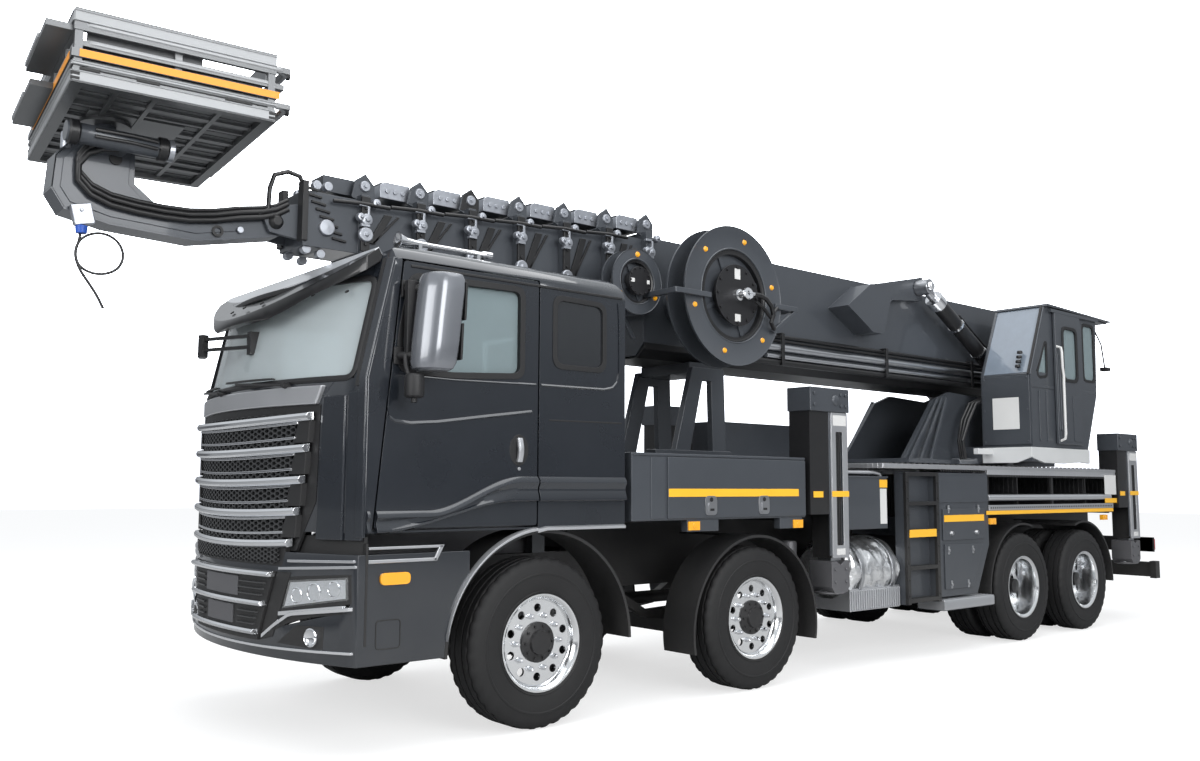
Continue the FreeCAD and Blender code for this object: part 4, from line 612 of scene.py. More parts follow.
def nose(y, z, proud=0.0):
    """The point on the cab's curved front at a place across and up."""
    radius = NOSE_RADIUS - RAKE * max(0.0, z - WAIST_Z) / (CAB_ROOF_Z - WAIST_Z) + proud
    return (NOSE_CENTRE + math.sqrt(max(radius * radius - y * y, 0)), y, z)


def nose_panel(work, corners, inner, outer, columns=24, rows=4):
    """A curved plate on the nose; corners are (y, z) from low left round to high left."""
    (ya, za), (yb, zb), (yc, zc), (yd, zd) = corners
    points = []
    for proud in (inner, outer):
        for j in range(rows + 1):
            t = j / rows
            for i in range(columns + 1):
                s = i / columns
                low = (ya + (yb - ya) * s, za + (zb - za) * s)
                high = (yd + (yc - yd) * s, zd + (zc - zd) * s)
                points.append(nose(low[0] + (high[0] - low[0]) * t, low[1] + (high[1] - low[1]) * t, proud))
    across, layer = columns + 1, (columns + 1) * (rows + 1)
    faces = []
    for j in range(rows):
        for i in range(columns):
            a = j * across + i
            faces.append((a, a + 1, a + 1 + across, a + across))
            faces.append((layer + a, layer + a + across, layer + a + 1 + across, layer + a + 1))
    for i in range(columns):
        faces.append((i, layer + i, layer + i + 1, i + 1))
        a = rows * across + i
        faces.append((a, a + 1, layer + a + 1, layer + a))
    for j in range(rows):
        a = j * across
        faces.append((a, a + across, layer + a + across, layer + a))
        a = j * across + columns
        faces.append((a, layer + a, layer + a + across, a + across))
    work.add(points, faces)


def nose_rod(work, path, profile):
    """A bar with a fixed section of (up, proud) points, led along (y, z) places on the nose."""
    work.swept([[nose(y, z + up, proud) for up, proud in profile] for y, z in path])


def sweep(low, high, count):
    return [low + (high - low) * i / (count - 1) for i in range(count)]


corner_panels = Work()
nose_panel(corner_panels, [(0.90, 1.19), (1.085, 1.19), (1.085, 2.00), (0.93, 2.00)], -0.01, 0.014, 10, 6)
nose_panel(corner_panels, rectangle(1.095, 1.20, 1.19, 2.02), -0.01, 0.006, 6, 6)
corner_panels.both_sides().made("cab_corner_panels", cab_paint, "chassis", "cab_paint", bevel=0.006)

silver_trim_and_painted_highlight = finish("silver_trim_and_painted_highlight", (0.50, 0.51, 0.53), 0.3, metal=0.7, film=0.1, coat=0.6, relief=0)
hood = Work()
nose_panel(hood, [(-0.88, 1.955), (0.88, 1.955), (0.93, 2.065), (-0.93, 2.065)], -0.01, 0.024, 36, 4)
hood.made("hood_strip", silver_trim_and_painted_highlight, "chassis", "cab_paint", bevel=0.01)

gutter = Work()
gutter.block(FRONT_AXLE + CAB_BACK + 0.03, FRONT_AXLE + 1.0, CAB_SIDE - 0.03, CAB_SIDE + 0.008, 2.752, 2.768)
gutter.both_sides().made("roof_gutters", black_plastic, "chassis", "black_plastic", bevel=0.004)

roof_lamps = Work()
for y in (1.08, -1.08):
    roof_lamps.disc(0.03, 0, 0.03, facing((FRONT_AXLE + CAB_BACK + 0.02, y, 2.80), (-1, 0, 0.2)), 16, 0.022)
roof_lamps.made("cab_marker_lamps", amber, "chassis", "clear_lens", bevel=0.003)


# ---------------------------------------------------------------- grille
# Five cast chrome bars, each with a thin bright line above it, stand off a black honeycomb
# moulding between stepped cheeks.

GRILLE_LOW, GRILLE_HIGH = 1.12, 1.955
BAR_LEVELS = (1.165, 1.345, 1.525, 1.705, 1.885)


def grille_half(z):
    return 0.70 + 0.19 * math.sqrt(max(0.0, (z - GRILLE_LOW) / (GRILLE_HIGH - GRILLE_LOW)))


mesh_black = finish("mesh_black", (0.035, 0.036, 0.038), 0.4, film=0.2, relief=0.15, grain=500.0)
grille_back = Work()
nose_panel(grille_back, [(-0.74, GRILLE_LOW), (0.74, GRILLE_LOW), (0.885, 1.40), (-0.885, 1.40)], -0.012,
           0.004, 30, 5)
nose_panel(grille_back, [(-0.885, 1.40), (0.885, 1.40), (0.90, GRILLE_HIGH), (-0.90, GRILLE_HIGH)], -0.012,
           0.004, 30, 5)
grille_back.made("grille_back", black_plastic, "chassis", "bright_trim", stands_for=("grille",))


def honeycomb(work, inside, spans, cell, bar, low, high):
    """Six-sided cells of moulded mesh on the nose, wherever a test says that they fit."""
    (y0, y1), (z0, z1) = spans
    ring = [(math.cos(math.radians(a)), math.sin(math.radians(a))) for a in range(0, 360, 60)]
    reach_y, reach_z = cell[0] / 1.5, cell[1] / 1.732
    for column in range(int((y1 - y0) / cell[0])):
        y = y0 + column * cell[0]
        for row in range(int((z1 - z0) / cell[1])):
            z = z0 + (row + column % 2 / 2) * cell[1]
            if not inside(y, z):
                continue
            outer = [(y + u * reach_y, z + v * reach_z) for u, v in ring]
            inner = [(y + u * (reach_y - bar), z + v * (reach_z - bar)) for u, v in ring]
            points = [nose(a, b, high) for a, b in outer + inner] + [nose(a, b, low) for a, b in inner]
            faces = [(i, (i + 1) % 6, (i + 1) % 6 + 6, i + 6) for i in range(6)]
            faces += [(i + 6, (i + 1) % 6 + 6, (i + 1) % 6 + 12, i + 12) for i in range(6)]
            work.add(points, faces)


mesh = Work()
honeycomb(mesh, lambda y, z: abs(y) < grille_half(z) - 0.13, ((-0.80, 0.80), (GRILLE_LOW + 0.02, 1.94)),
          (0.042, 0.032), 0.006, 0.006, 0.026)
mesh.made("grille_mesh", mesh_black, "chassis", "bright_trim")


def bowed(z, half, sag):
    """Places along a bar that droops a little at its middle."""
    return [(y, z - sag * (1 - (y / half) ** 2)) for y in sweep(-half, half, 27)]


bars = Work()
for z in BAR_LEVELS:
    half = grille_half(z) - 0.01
    nose_rod(bars, bowed(z, half, 0.02),
             [(-0.020, 0.02), (-0.024, 0.05), (-0.012, 0.064), (0.006, 0.066), (0.022, 0.056), (0.028, 0.02)])
    if z > BAR_LEVELS[0]:
        nose_rod(bars, bowed(z - 0.12, half - 0.12, 0.02),
                 [(-0.007, 0.02), (-0.007, 0.044), (0.007, 0.044), (0.007, 0.02)])
        nose_rod(bars, bowed(z - 0.035, half - 0.10, 0.02),
                 [(-0.007, 0.02), (-0.007, 0.044), (0.007, 0.044), (0.007, 0.02)])
bars.made("grille_bars", chrome, "chassis", "bright_trim", bevel=0.003)

cheeks = Work()
for z in BAR_LEVELS[1:]:
    half = grille_half(z) - 0.01
    nose_panel(cheeks, [(half - 0.15, z - 0.15), (half - 0.02, z - 0.15), (half - 0.01, z - 0.02),
                        (half - 0.10, z - 0.02)], 0.0, 0.036, 6, 2)
cheeks.both_sides().made("grille_cheeks", black_plastic, "chassis", "bright_trim", bevel=0.004)


# ---------------------------------------------------------------- bumper
# A painted wrap-round bumper. Its middle stands proud, with three bright lines over black
# louvres, and clear headlamps and round fog lamps sit outside two black channels.

SKIN = 0.03
MIDDLE_LEVELS = (0.650, 0.815, 0.985)


def middle_half(z):
    return 0.46 + (z - 0.62) * 0.40


bumper_middle = Work()
nose_panel(bumper_middle, [(-0.47, 0.60), (0.47, 0.60), (0.62, 1.0), (-0.62, 1.0)], SKIN - 0.02, SKIN + 0.022,
           30, 5)
nose_panel(bumper_middle, [(0.475, 0.60), (0.60, 0.63), (0.745, 1.0), (0.625, 1.0)], SKIN - 0.01,
           SKIN + 0.006, 8, 4)
nose_panel(bumper_middle, [(-0.60, 0.63), (-0.475, 0.60), (-0.625, 1.0), (-0.745, 1.0)], SKIN - 0.01,
           SKIN + 0.006, 8, 4)
nose_panel(bumper_middle, [(-0.66, 1.03), (0.66, 1.03), (0.70, 1.168), (-0.70, 1.168)], SKIN - 0.03,
           SKIN + 0.003, 30, 4)
bumper_middle.made("bumper_recesses", black_plastic, "chassis", "black_plastic", bevel=0.004)

bumper_mesh = Work()
honeycomb(bumper_mesh, lambda y, z: abs(y) < 0.62 + (z - 1.04) * 0.3, ((-0.70, 0.70), (1.055, 1.165)),
          (0.034, 0.026), 0.005, SKIN + 0.004, SKIN + 0.016)
for z in (0.69, 0.725, 0.76, 0.86, 0.895, 0.93):
    for side in (1, -1):
        inner, outer = 0.27, middle_half(z) - 0.035
        nose_rod(bumper_mesh, [(side * y, z) for y in sweep(inner, outer, 8)],
                 [(-0.008, SKIN + 0.015), (-0.004, SKIN + 0.036), (0.004, SKIN + 0.038),
                  (0.008, SKIN + 0.015)])
bumper_mesh.made("bumper_louvres", mesh_black, "chassis", "black_plastic", bevel=0.001)

blank_plates = Work()
nose_panel(blank_plates, rectangle(-0.25, 0.25, 0.84, 0.955), SKIN + 0.02, SKIN + 0.03,
           10, 2)
nose_panel(blank_plates, rectangle(-0.20, 0.20, 0.675, 0.785), SKIN + 0.02, SKIN + 0.03,
           10, 2)
blank_plates.made("bumper_blank_plates", cast_grey, "chassis", "black_plastic", bevel=0.003)

bright_lines = Work()
for z in MIDDLE_LEVELS:
    half = middle_half(z) + 0.01
    nose_rod(bright_lines, [(y, z) for y in sweep(-half, half, 25)],
             [(-0.015, SKIN + 0.01), (-0.016, SKIN + 0.050), (0.0, SKIN + 0.062), (0.014, SKIN + 0.052),
              (0.016, SKIN + 0.01)])
for side in (1, -1):
    nose_rod(bright_lines, [(side * y, 1.018 + (y - 0.64) * 0.055) for y in sweep(0.64, 1.21, 16)],
             [(-0.008, SKIN - 0.01), (-0.008, SKIN + 0.010), (0.008, SKIN + 0.010), (0.008, SKIN - 0.01)])
    nose_rod(bright_lines, [(side * y, 1.066 + (y - 0.78) * 0.03) for y in sweep(0.72, 1.20, 14)],
             [(-0.008, SKIN - 0.01), (-0.008, SKIN + 0.012), (0.008, SKIN + 0.012), (0.008, SKIN - 0.01)])
    nose_rod(bright_lines, [(side * y, 0.765 + (y - 0.66) * 0.13) for y in sweep(0.66, 1.145, 14)],
             [(-0.012, SKIN - 0.01), (-0.012, SKIN + 0.016), (0.012, SKIN + 0.016), (0.012, SKIN - 0.01)])
    nose_rod(bright_lines, [(side * y, 0.705 + min(y - 0.645, 0.12) * 0.55 + max(0, y - 0.765) * 0.12)
                            for y in sweep(0.645, 1.19, 16)],
             [(-0.011, SKIN - 0.01), (-0.011, SKIN + 0.022), (0.011, SKIN + 0.022), (0.011, SKIN - 0.01)])
    nose_rod(bright_lines, [(side * y, 0.625 + (y - 0.50) * 0.62) for y in sweep(0.50, 0.655, 6)],
             [(-0.012, SKIN - 0.01), (-0.012, SKIN + 0.012), (0.012, SKIN + 0.012), (0.012, SKIN - 0.01)])
nose_rod(bright_lines, [(y, 0.585 - 0.02 * (1 - (y / 1.2) ** 2)) for y in sweep(-1.2, 1.2, 45)],
         [(-0.008, SKIN - 0.01), (-0.008, SKIN + 0.012), (0.008, SKIN + 0.012), (0.008, SKIN - 0.01)])
bright_lines.made("bumper_bright_lines", chrome, "chassis", "bright_trim", bevel=0.003)

foot = Work()
for side in (1, -1):
    nose_panel(foot, rectangle(side * 0.56, side * 1.19, 1.05, 1.21),
               SKIN - 0.075, SKIN - 0.055, 12, 4)
foot.made("nose_foot_fillers", black_plastic, "chassis", "black_plastic", bevel=0.002)

lamp_glass = bpy.data.materials.new("lamp_glass")
lamp_glass.use_nodes = True
lens = lamp_glass.node_tree.nodes["Principled BSDF"]
lens.inputs["Base Color"].default_value = (0.93, 0.95, 0.96, 1)
lens.inputs["Transmission Weight"].default_value = 0.9
lens.inputs["IOR"].default_value = 1.15
ribs = wire(lamp_glass.node_tree, "ShaderNodeTexNoise", {"Scale": 14.0, "Detail": 2.0})
ribs_range = wire(lamp_glass.node_tree, "ShaderNodeMapRange",
                  {"Value": ribs.outputs[0], "To Min": 0.03, "To Max": 0.14})
lamp_glass.node_tree.links.new(ribs_range.outputs[0], lens.inputs["Roughness"])

LAMP = [(0.685, 0.795), (1.165, 0.868), (1.158, 0.992), (0.735, 0.955)]
lenses = Work()
nose_panel(lenses, LAMP, SKIN - 0.004, SKIN + 0.008, 16, 6)
lenses.both_sides().made("headlamp_lenses", lamp_glass, "chassis", "clear_lens", bevel=0.004,
                         stands_for=("lamps",))
housings = Work()
nose_panel(housings, [(0.665, 0.775), (1.185, 0.850), (1.178, 1.008), (0.72, 0.975)], SKIN - 0.02,
           SKIN + 0.001, 16, 6)
nose_panel(housings, [(0.60, 0.66), (0.80, 0.745), (1.19, 0.80), (0.68, 0.78)], SKIN - 0.02, SKIN + 0.002, 12,
           4)
housings.both_sides().made("headlamp_surrounds", black_plastic, "chassis", "black_plastic", bevel=0.003)
bowls = Work()
nose_panel(bowls, [(0.70, 0.808), (1.15, 0.878), (1.145, 0.980), (0.745, 0.945)], SKIN - 0.01, SKIN + 0.003,
           14, 4)
for y, z, radius in ((0.80, 0.876, 0.045), (0.93, 0.90, 0.052), (1.07, 0.925, 0.045)):
    bowls.turned([(radius, 0.0), (radius, 0.012), (radius * 0.93, 0.014), (radius * 0.8, 0.003),
                  (radius * 0.3, -0.002), (0.0001, -0.002)],
                 facing(nose(y, z, SKIN - 0.004), (1, 0.35 * y, 0)), 28, closed=False)
bowls.both_sides().made("headlamp_bowls", chrome, "chassis", "clear_lens")

fog_black = Work()
nose_panel(fog_black, [(0.64, 0.60), (1.00, 0.59), (1.005, 0.715), (0.80, 0.71)], SKIN - 0.02, SKIN + 0.003,
           12, 4)
fog_black.both_sides().made("fog_lamp_recesses", black_plastic, "chassis", "black_plastic", bevel=0.003)
fogs = Work()
fogs.turned([(0.052, 0.0), (0.052, 0.020), (0.046, 0.024), (0.040, 0.014), (0.030, 0.008), (0.0001, 0.005)],
            facing(nose(0.925, 0.652, SKIN - 0.002), (1, 0.32, 0)), 32, closed=False)
fogs.both_sides().made("fog_lamps", chrome, "chassis", "clear_lens")

SIDE = Matrix(((1, 0, 0, FRONT_AXLE), (0, 0, 1, 0), (0, 1, 0, 0), (0, 0, 0, 1)))


def offset(outline, amount):
    """A convex outline drawn outwards."""
    n = len(outline)
    area = sum(outline[i - 1][0] * outline[i][1] - outline[i][0] * outline[i - 1][1] for i in range(n))
    out = amount if area > 0 else -amount
    lines = []
    for i in range(n):
        here, after = Vector(outline[i]), Vector(outline[(i + 1) % n])
        along = (after - here).normalized()
        lines.append((here + Vector((along.y, -along.x)) * out, along))
    loop = []
    for i in range(n):
        (a, u), (b, v) = lines[i - 1], lines[i]
        reach = ((b - a).x * v.y - (b - a).y * v.x) / (u.x * v.y - u.y * v.x)
        loop.append(tuple(a + u * reach))
    return loop


def softened(outline, radius, steps=5):
    """An outline with each corner rounded."""
    loop = []
    for i, corner in enumerate(outline):
        here, before, after = Vector(corner), Vector(outline[i - 1]), Vector(outline[(i + 1) % len(outline)])
        reach = min(radius, (before - here).length * 0.45, (after - here).length * 0.45)
        start, end = here + (before - here).normalized() * reach, here + (after - here).normalized() * reach
        for k in range(steps + 1):
            t = k / steps
            loop.append(tuple(start * (1 - t) ** 2 + here * 2 * t * (1 - t) + end * t * t))
    return loop


def ringed(work, outline, grow, shrink, radius, low, high):
    """A flat frame round an opening with rounded corners."""
    work.pierced(softened(offset(outline, grow), radius + grow), [softened(offset(outline, -shrink), radius)],
                 low, high, SIDE)


# The corner of the cab below the doors: an amber side lamp, a tow cover and a pointed light line.
side_trim = Work()
for z0, z1, x0, x1 in ((1.065, 1.085, 0.79, 1.225), (1.140, 1.156, 0.75, 1.225)):
    side_trim.block(FRONT_AXLE + x0, FRONT_AXLE + x1, CAB_SIDE - 0.01, CAB_SIDE + 0.008, z0, z1)
side_trim.prism([(FRONT_AXLE + u, v)
                 for u, v in ((0.74, 1.156), (0.79, 1.065), (0.815, 1.065), (0.77, 1.156))],
                CAB_SIDE - 0.01, CAB_SIDE + 0.008)
side_trim.both_sides().made("bumper_side_trim", silver_trim_and_painted_highlight, "chassis", "bright_trim", bevel=0.004)
corner_parts = Work()
ringed(corner_parts, rectangle(1.02, 1.165, 0.60, 0.75), 0.006, 0.0, 0.02,
       CAB_SIDE - 0.01, CAB_SIDE + 0.004)
corner_parts.block(FRONT_AXLE + 1.226, FRONT_AXLE + 1.240, CAB_SIDE - 0.05, CAB_SIDE + 0.003, 0.62, 1.174)
corner_parts.both_sides().made("bumper_side_seams", black_plastic, "chassis", "black_plastic", bevel=0.002)
side_lamps = Work()
side_lamps.pierced(softened(rectangle(0.965, 1.152, 0.945, 1.012), 0.033), [],
                   CAB_SIDE - 0.01, CAB_SIDE + 0.016, SIDE)
side_lamps.both_sides().made("bumper_side_lamps", amber, "chassis", "clear_lens", bevel=0.006)


# ---------------------------------------------------------------- doors
# Pressed doors with rubber-framed glass, a fold below the window, a handle over a black pocket
# and a flared band along the sill. Each carries a tall mirror on two arms and a small one below.

DOOR = [(0.07, 1.25), (1.20, 1.25), (1.045, 2.79), (0.07, 2.79)]
DOOR_WINDOW = [(0.205, 2.18), (0.70, 2.15), (1.045, 2.16), (1.055, 2.33), (0.985, 2.70), (0.205, 2.712)]
REAR_WINDOW = [(-0.47, 2.262), (-0.062, 2.262), (-0.062, 2.70), (-0.47, 2.69)]


def on_doors(name, material, slot, make, bevel=0.0, crisp=35, replaces=False):
    """The same fitting on each of the two doors."""
    for door in ("left_door", "right_door"):
        work = Work()
        make(work)
        if door == "right_door":
            work.flipped()
        work.made(f"{door}_{name}", material, door, slot, bevel=bevel, crisp=crisp,
                  stands_for=(door,) if replaces else ())


def on_side(work, path, profile):
    """A strip led along (x, z) places on the cab's side; profile points are (up, y)."""
    work.swept([[(FRONT_AXLE + x, y, z + up) for up, y in profile] for x, z in path])


def smooth(t):
    t = min(max(t, 0.0), 1.0)
    return t * t * (3 - 2 * t)


def flare(work, low_x, high_x):
    """The flared band, which sweeps down ahead of the wheel arch."""
    loops = []
    for x in sweep(low_x, high_x, max(3, int((high_x - low_x) / 0.03))):
        top = 1.342 + 0.200 * smooth((0.86 - x) / 0.66)
        low = 1.228 + 0.172 * smooth((1.18 - x) / 0.95)
        middle = (top + low) / 2
        y = CAB_SIDE
        loops.append([(FRONT_AXLE + x, a, b) for a, b in (
            (y - 0.01, top + 0.016), (y + 0.010, top + 0.010), (y + 0.026, top - 0.012),
            (y + 0.028, top - 0.026), (y + 0.012, middle + 0.012), (y + 0.014, middle - 0.010),
            (y + 0.028, low + 0.018), (y + 0.027, low + 0.006), (y - 0.01, low - 0.004))])
    work.swept(loops)


def door_skin(work):
    work.pierced(softened(offset(DOOR, -0.003), 0.02), [softened(DOOR_WINDOW, 0.05)], CAB_SIDE - 0.065,
                 CAB_SIDE, SIDE)
    flare(work, 0.075, 1.188)
    on_side(work, [(0.09, 2.128), (0.70, 2.118), (1.09, 2.124)],
            [(-0.010, CAB_SIDE - 0.002), (-0.002, CAB_SIDE + 0.007), (0.006, CAB_SIDE + 0.003),
             (0.010, CAB_SIDE - 0.002)])
    crease = [(1.126, 2.03), (1.132, 1.93), (1.118, 1.878), (1.08, 1.856), (0.98, 1.848), (0.80, 1.862),
              (0.60, 1.890), (0.40, 1.918), (0.12, 1.955)]
    on_side(work, crease, [(-0.012, CAB_SIDE - 0.002), (-0.002, CAB_SIDE + 0.008), (0.008, CAB_SIDE + 0.003),
                           (0.016, CAB_SIDE - 0.002)])


on_doors("skin", cab_paint, "cab_paint", door_skin, bevel=0.006, replaces=True)
on_doors("pane", window_glass, "window_glass", lambda work: work.pierced(
    softened(offset(DOOR_WINDOW, 0.006), 0.05), [], CAB_SIDE - 0.034, CAB_SIDE - 0.028, SIDE))


def door_rubbers(work):
    ringed(work, DOOR_WINDOW, 0.026, 0.012, 0.05, CAB_SIDE - 0.03, CAB_SIDE + 0.006)
    work.pierced(circle(0.072, 24, 0.215, 1.715), [], CAB_SIDE - 0.01, CAB_SIDE + 0.002,
                 SIDE @ Matrix.Translation((0.215, 1.715, 0)) @ Matrix.Diagonal((1.0, 1.35, 1, 1))
                 @ Matrix.Translation((-0.215, -1.715, 0)))


on_doors("rubbers", black_plastic, "black_plastic", door_rubbers, bevel=0.003)


def door_handle(work):
    x, y = FRONT_AXLE + 0.215, CAB_SIDE
    work.swept([[(x + u, y + v + 0.016 * math.sin(math.pi * t), 1.64 + 0.15 * t)
                 for u, v in ((-0.019, -0.004), (-0.019, 0.014), (-0.012, 0.020), (0.012, 0.020),
                              (0.019, 0.014),
                              (0.019, -0.004))] for t in sweep(0, 1, 9)])
    work.disc(0.011, 0, 0.008, facing((x, y, 1.60), (0, 1, 0)), 16)


on_doors("handle", silver_trim_and_painted_highlight, "bright_trim", door_handle, bevel=0.002)

MIRROR_PLAN = [(0.80, 0.0), (0.985, -0.01), (1.04, 0.045), (1.035, 0.135), (0.965, 0.205), (0.815, 0.215)]


def mirror_loop(z, scale, shift):
    """The housing's outline at one height, scaled about its middle."""
    mid_u, mid_v, stand_off = 0.92, 0.105, 0.065
    return [(FRONT_AXLE + mid_u + (u - mid_u) * scale + shift,
             CAB_SIDE + stand_off + mid_v + (v - mid_v) * scale, z)
            for u, v in softened(MIRROR_PLAN, 0.03, 3)]


def mirror_housing(work):
    work.swept([mirror_loop(z, scale, shift) for z, scale, shift in (
        (2.138, 0.70, 0.030), (2.150, 0.86, 0.030), (2.185, 0.97, 0.026), (2.30, 1.0, 0.014),
        (2.45, 1.0, 0.0), (2.60, 1.0, -0.016), (2.665, 0.97, -0.022), (2.694, 0.86, -0.024),
        (2.702, 0.70, -0.024))])


mirror_grey = finish("mirror_grey", (0.17, 0.18, 0.20), 0.25, metal=0.4, film=0.05, coat=0.8, relief=0)
on_doors("mirror_housing", mirror_grey, "cab_paint", mirror_housing, crisp=28)


def mirror_parts(work):
    x, y = FRONT_AXLE, CAB_SIDE
    for low, high, lean in ((2.205, 2.415, 0.014), (2.435, 2.655, -0.008)):
        work.prism([(x + 0.792 + lean, low), (x + 0.806 + lean, low), (x + 0.800 + lean, high),
                    (x + 0.784 + lean, high)], y + 0.085, y + 0.265)
    work.block(x + 0.86, x + 1.062, y + 0.045, y + 0.082, 2.17, 2.66)
    for px, z in ((1.012, 2.60), (1.052, 2.21)):
        work.pipe([(x + px + 0.02, y - 0.005, z + 0.02), (x + px + 0.015, y + 0.03, z + 0.02),
                   (x + px - 0.03, y + 0.10, z + 0.02)], 0.022, 12)
        work.block(x + px - 0.02, x + px + 0.05, y - 0.004, y + 0.014, z - 0.03, z + 0.07)
    loops = []
    for z, scale in ((1.982, 0.75), (1.990, 0.95), (2.01, 1.0), (2.09, 1.0), (2.11, 0.92), (2.118, 0.72)):
        loops.append([(x + 1.045 + u * 0.056 * scale, y + 0.145 + v * 0.058 * scale, z)
                      for u, v in circle(1.0, 20)])
    work.swept(loops)
    work.pipe([(x + 1.05, y + 0.10, 2.10), (x + 1.062, y + 0.08, 2.16), (x + 1.066, y + 0.07, 2.23)], 0.015,
              10)
    work.disc(0.018, 0, 0.03, facing((x + 1.045, y + 0.145, 1.955), (0, 0, 1)), 14)


on_doors("mirror_parts", black_plastic, "black_plastic", mirror_parts, bevel=0.004)


def mirror_glasses(work):
    x, y = FRONT_AXLE, CAB_SIDE
    for low, high, lean in ((2.215, 2.405, 0.014), (2.445, 2.645, -0.008)):
        work.prism([(x + 0.788 + lean, low), (x + 0.795 + lean, low), (x + 0.790 + lean, high),
                    (x + 0.782 + lean, high)], y + 0.095, y + 0.255)


on_doors("mirror_glasses", chrome, "clear_lens", mirror_glasses, bevel=0.002)


# ---------------------------------------------------------------- cab sides and windscreen
# Behind each door the panel carries on the door's band and fold round a rubber-framed window. A
# rubber seal holds the windscreen, two wipers rest at its foot and a dark pillar stands beside it.

side_skin = Work()
flare(side_skin, CAB_BACK + 0.004, 0.064)
flare(side_skin, 1.228, 1.246)
on_side(side_skin, [(0.05, 2.129), (-0.47, 2.133), (-0.545, 2.150), (-0.585, 2.190), (-0.60, 2.25),
                    (-0.60, 2.60), (-0.59, 2.72)],
        [(-0.010, CAB_SIDE - 0.002), (-0.002, CAB_SIDE + 0.008), (0.006, CAB_SIDE + 0.003),
         (0.010, CAB_SIDE - 0.002)])
side_skin.both_sides().made("cab_side_bands", cab_paint, "chassis", "cab_paint", bevel=0.004)

# Painted highlight: the arch lip is a step in the cab panel, painted silver to stand for the light line along
# its edge; the other users of this silver are real bright trim.
arch_lip = Work()
arch = [(0.722 * math.cos(a), 0.5 + 0.722 * math.sin(a))
        for a in sweep(math.radians(8), math.radians(84), 22)]
arch += [(x, 1.2315) for x in sweep(0.0, CAB_BACK + 0.01, 8)]
on_side(arch_lip, arch[:22], [(0.0, CAB_SIDE - 0.02), (0.0, CAB_SIDE + 0.022), (0.014, CAB_SIDE + 0.024),
                              (0.024, CAB_SIDE + 0.006), (0.024, CAB_SIDE - 0.02)])
on_side(arch_lip, arch[21:], [(-0.012, CAB_SIDE - 0.02), (-0.012, CAB_SIDE + 0.022),
                              (0.004, CAB_SIDE + 0.024), (0.014, CAB_SIDE + 0.006), (0.014, CAB_SIDE - 0.02)])
arch_lip.both_sides().made("wheel_arch_lips", silver_trim_and_painted_highlight, "chassis", "bright_trim", bevel=0.003)

rubbers = Work()
ringed(rubbers, REAR_WINDOW, 0.022, 0.012, 0.06, CAB_SIDE - 0.03, CAB_SIDE + 0.006)
on_side(rubbers, [(-0.015, 1.91), (CAB_BACK + 0.03, 1.915)],
        [(-0.005, CAB_SIDE - 0.01), (-0.005, CAB_SIDE + 0.002), (0.005, CAB_SIDE + 0.002),
         (0.005, CAB_SIDE - 0.01)])
rubbers.both_sides()
SCREEN_HALF, SCREEN_LOW, SCREEN_HIGH = 1.125, 2.095, 2.69
frame_path = softened(rectangle(-SCREEN_HALF, SCREEN_HALF, SCREEN_LOW, SCREEN_HIGH), 0.07, 6)
dense = []
for a, b in zip(frame_path, frame_path[1:] + frame_path[:1]):
    reach = math.hypot(b[0] - a[0], b[1] - a[1])
    for t in sweep(0, 1, max(2, int(reach / 0.06) + 1))[:-1]:
        dense.append((a[0] + (b[0] - a[0]) * t, a[1] + (b[1] - a[1]) * t))
dense.append(dense[0])
loops = []
for i, (y, z) in enumerate(dense):
    before, after = dense[i - 1 if i else -2], dense[(i + 1) % len(dense) if i + 1 < len(dense) else 1]
    along = Vector((after[0] - before[0], after[1] - before[1])).normalized()
    out = Vector((along.y, -along.x))
    loops.append([nose(y + out.x * r, z + out.y * r, proud)
                  for r, proud in ((-0.020, -0.02), (-0.020, 0.004), (0.0, 0.008), (0.014, 0.004),
                                   (0.014, -0.02))])
rubbers.swept(loops)
nose_panel(rubbers, rectangle(1.142, 1.165, 2.05, 2.80), -0.01, 0.008, 3, 8)
nose_panel(rubbers, rectangle(-1.165, -1.142, 2.05, 2.80), -0.01, 0.008, 3, 8)
rubbers.made("window_rubbers", black_plastic, "chassis", "black_plastic", bevel=0.002)

pillars = Work()
nose_panel(pillars, rectangle(1.168, 1.216, 1.205, 2.80), -0.01, 0.012, 4, 16)
pillars.both_sides().made("cab_pillars", cab_paint, "chassis", "cab_paint", bevel=0.006)

wipers = Work()
for pivot, tip in ((0.62, -0.16), (-0.22, -0.98)):
    wipers.disc(0.022, 0, 0.05, facing(nose(pivot, 2.07, 0.0), (1, 0.3 * pivot, 0.2)), 16, 0.017)
    arm = [nose(pivot + (tip - pivot) * t, 2.075 + 0.055 * t, 0.046 - 0.016 * t) for t in sweep(0, 0.72, 8)]
    wipers.pipe(arm, 0.008, 8)
    blade = [nose(pivot + (tip - pivot) * t, 2.118 + 0.02 * t, 0.012) for t in sweep(0.18, 1.0, 12)]
    wipers.swept([[(p[0] + a, p[1], p[2] + b) for a, b in ((-0.012, -0.004), (-0.012, 0.004), (0.012, 0.007),
                                                           (0.016, -0.007))] for p in blade])
wipers.made("wipers", black_plastic, "chassis", "black_plastic", bevel=0.001)

tinted_glass = finish("tinted_glass", (0.014, 0.016, 0.019), 0.06, film=0.02, break_up=0.04, relief=0,
                      coat=1.0)
rear_tint = Work()
rear_tint.pierced(softened(offset(REAR_WINDOW, 0.002), 0.06), [], CAB_SIDE - 0.014, CAB_SIDE - 0.008, SIDE)
rear_tint.both_sides().made("rear_window_tint", tinted_glass, "chassis", "window_glass")
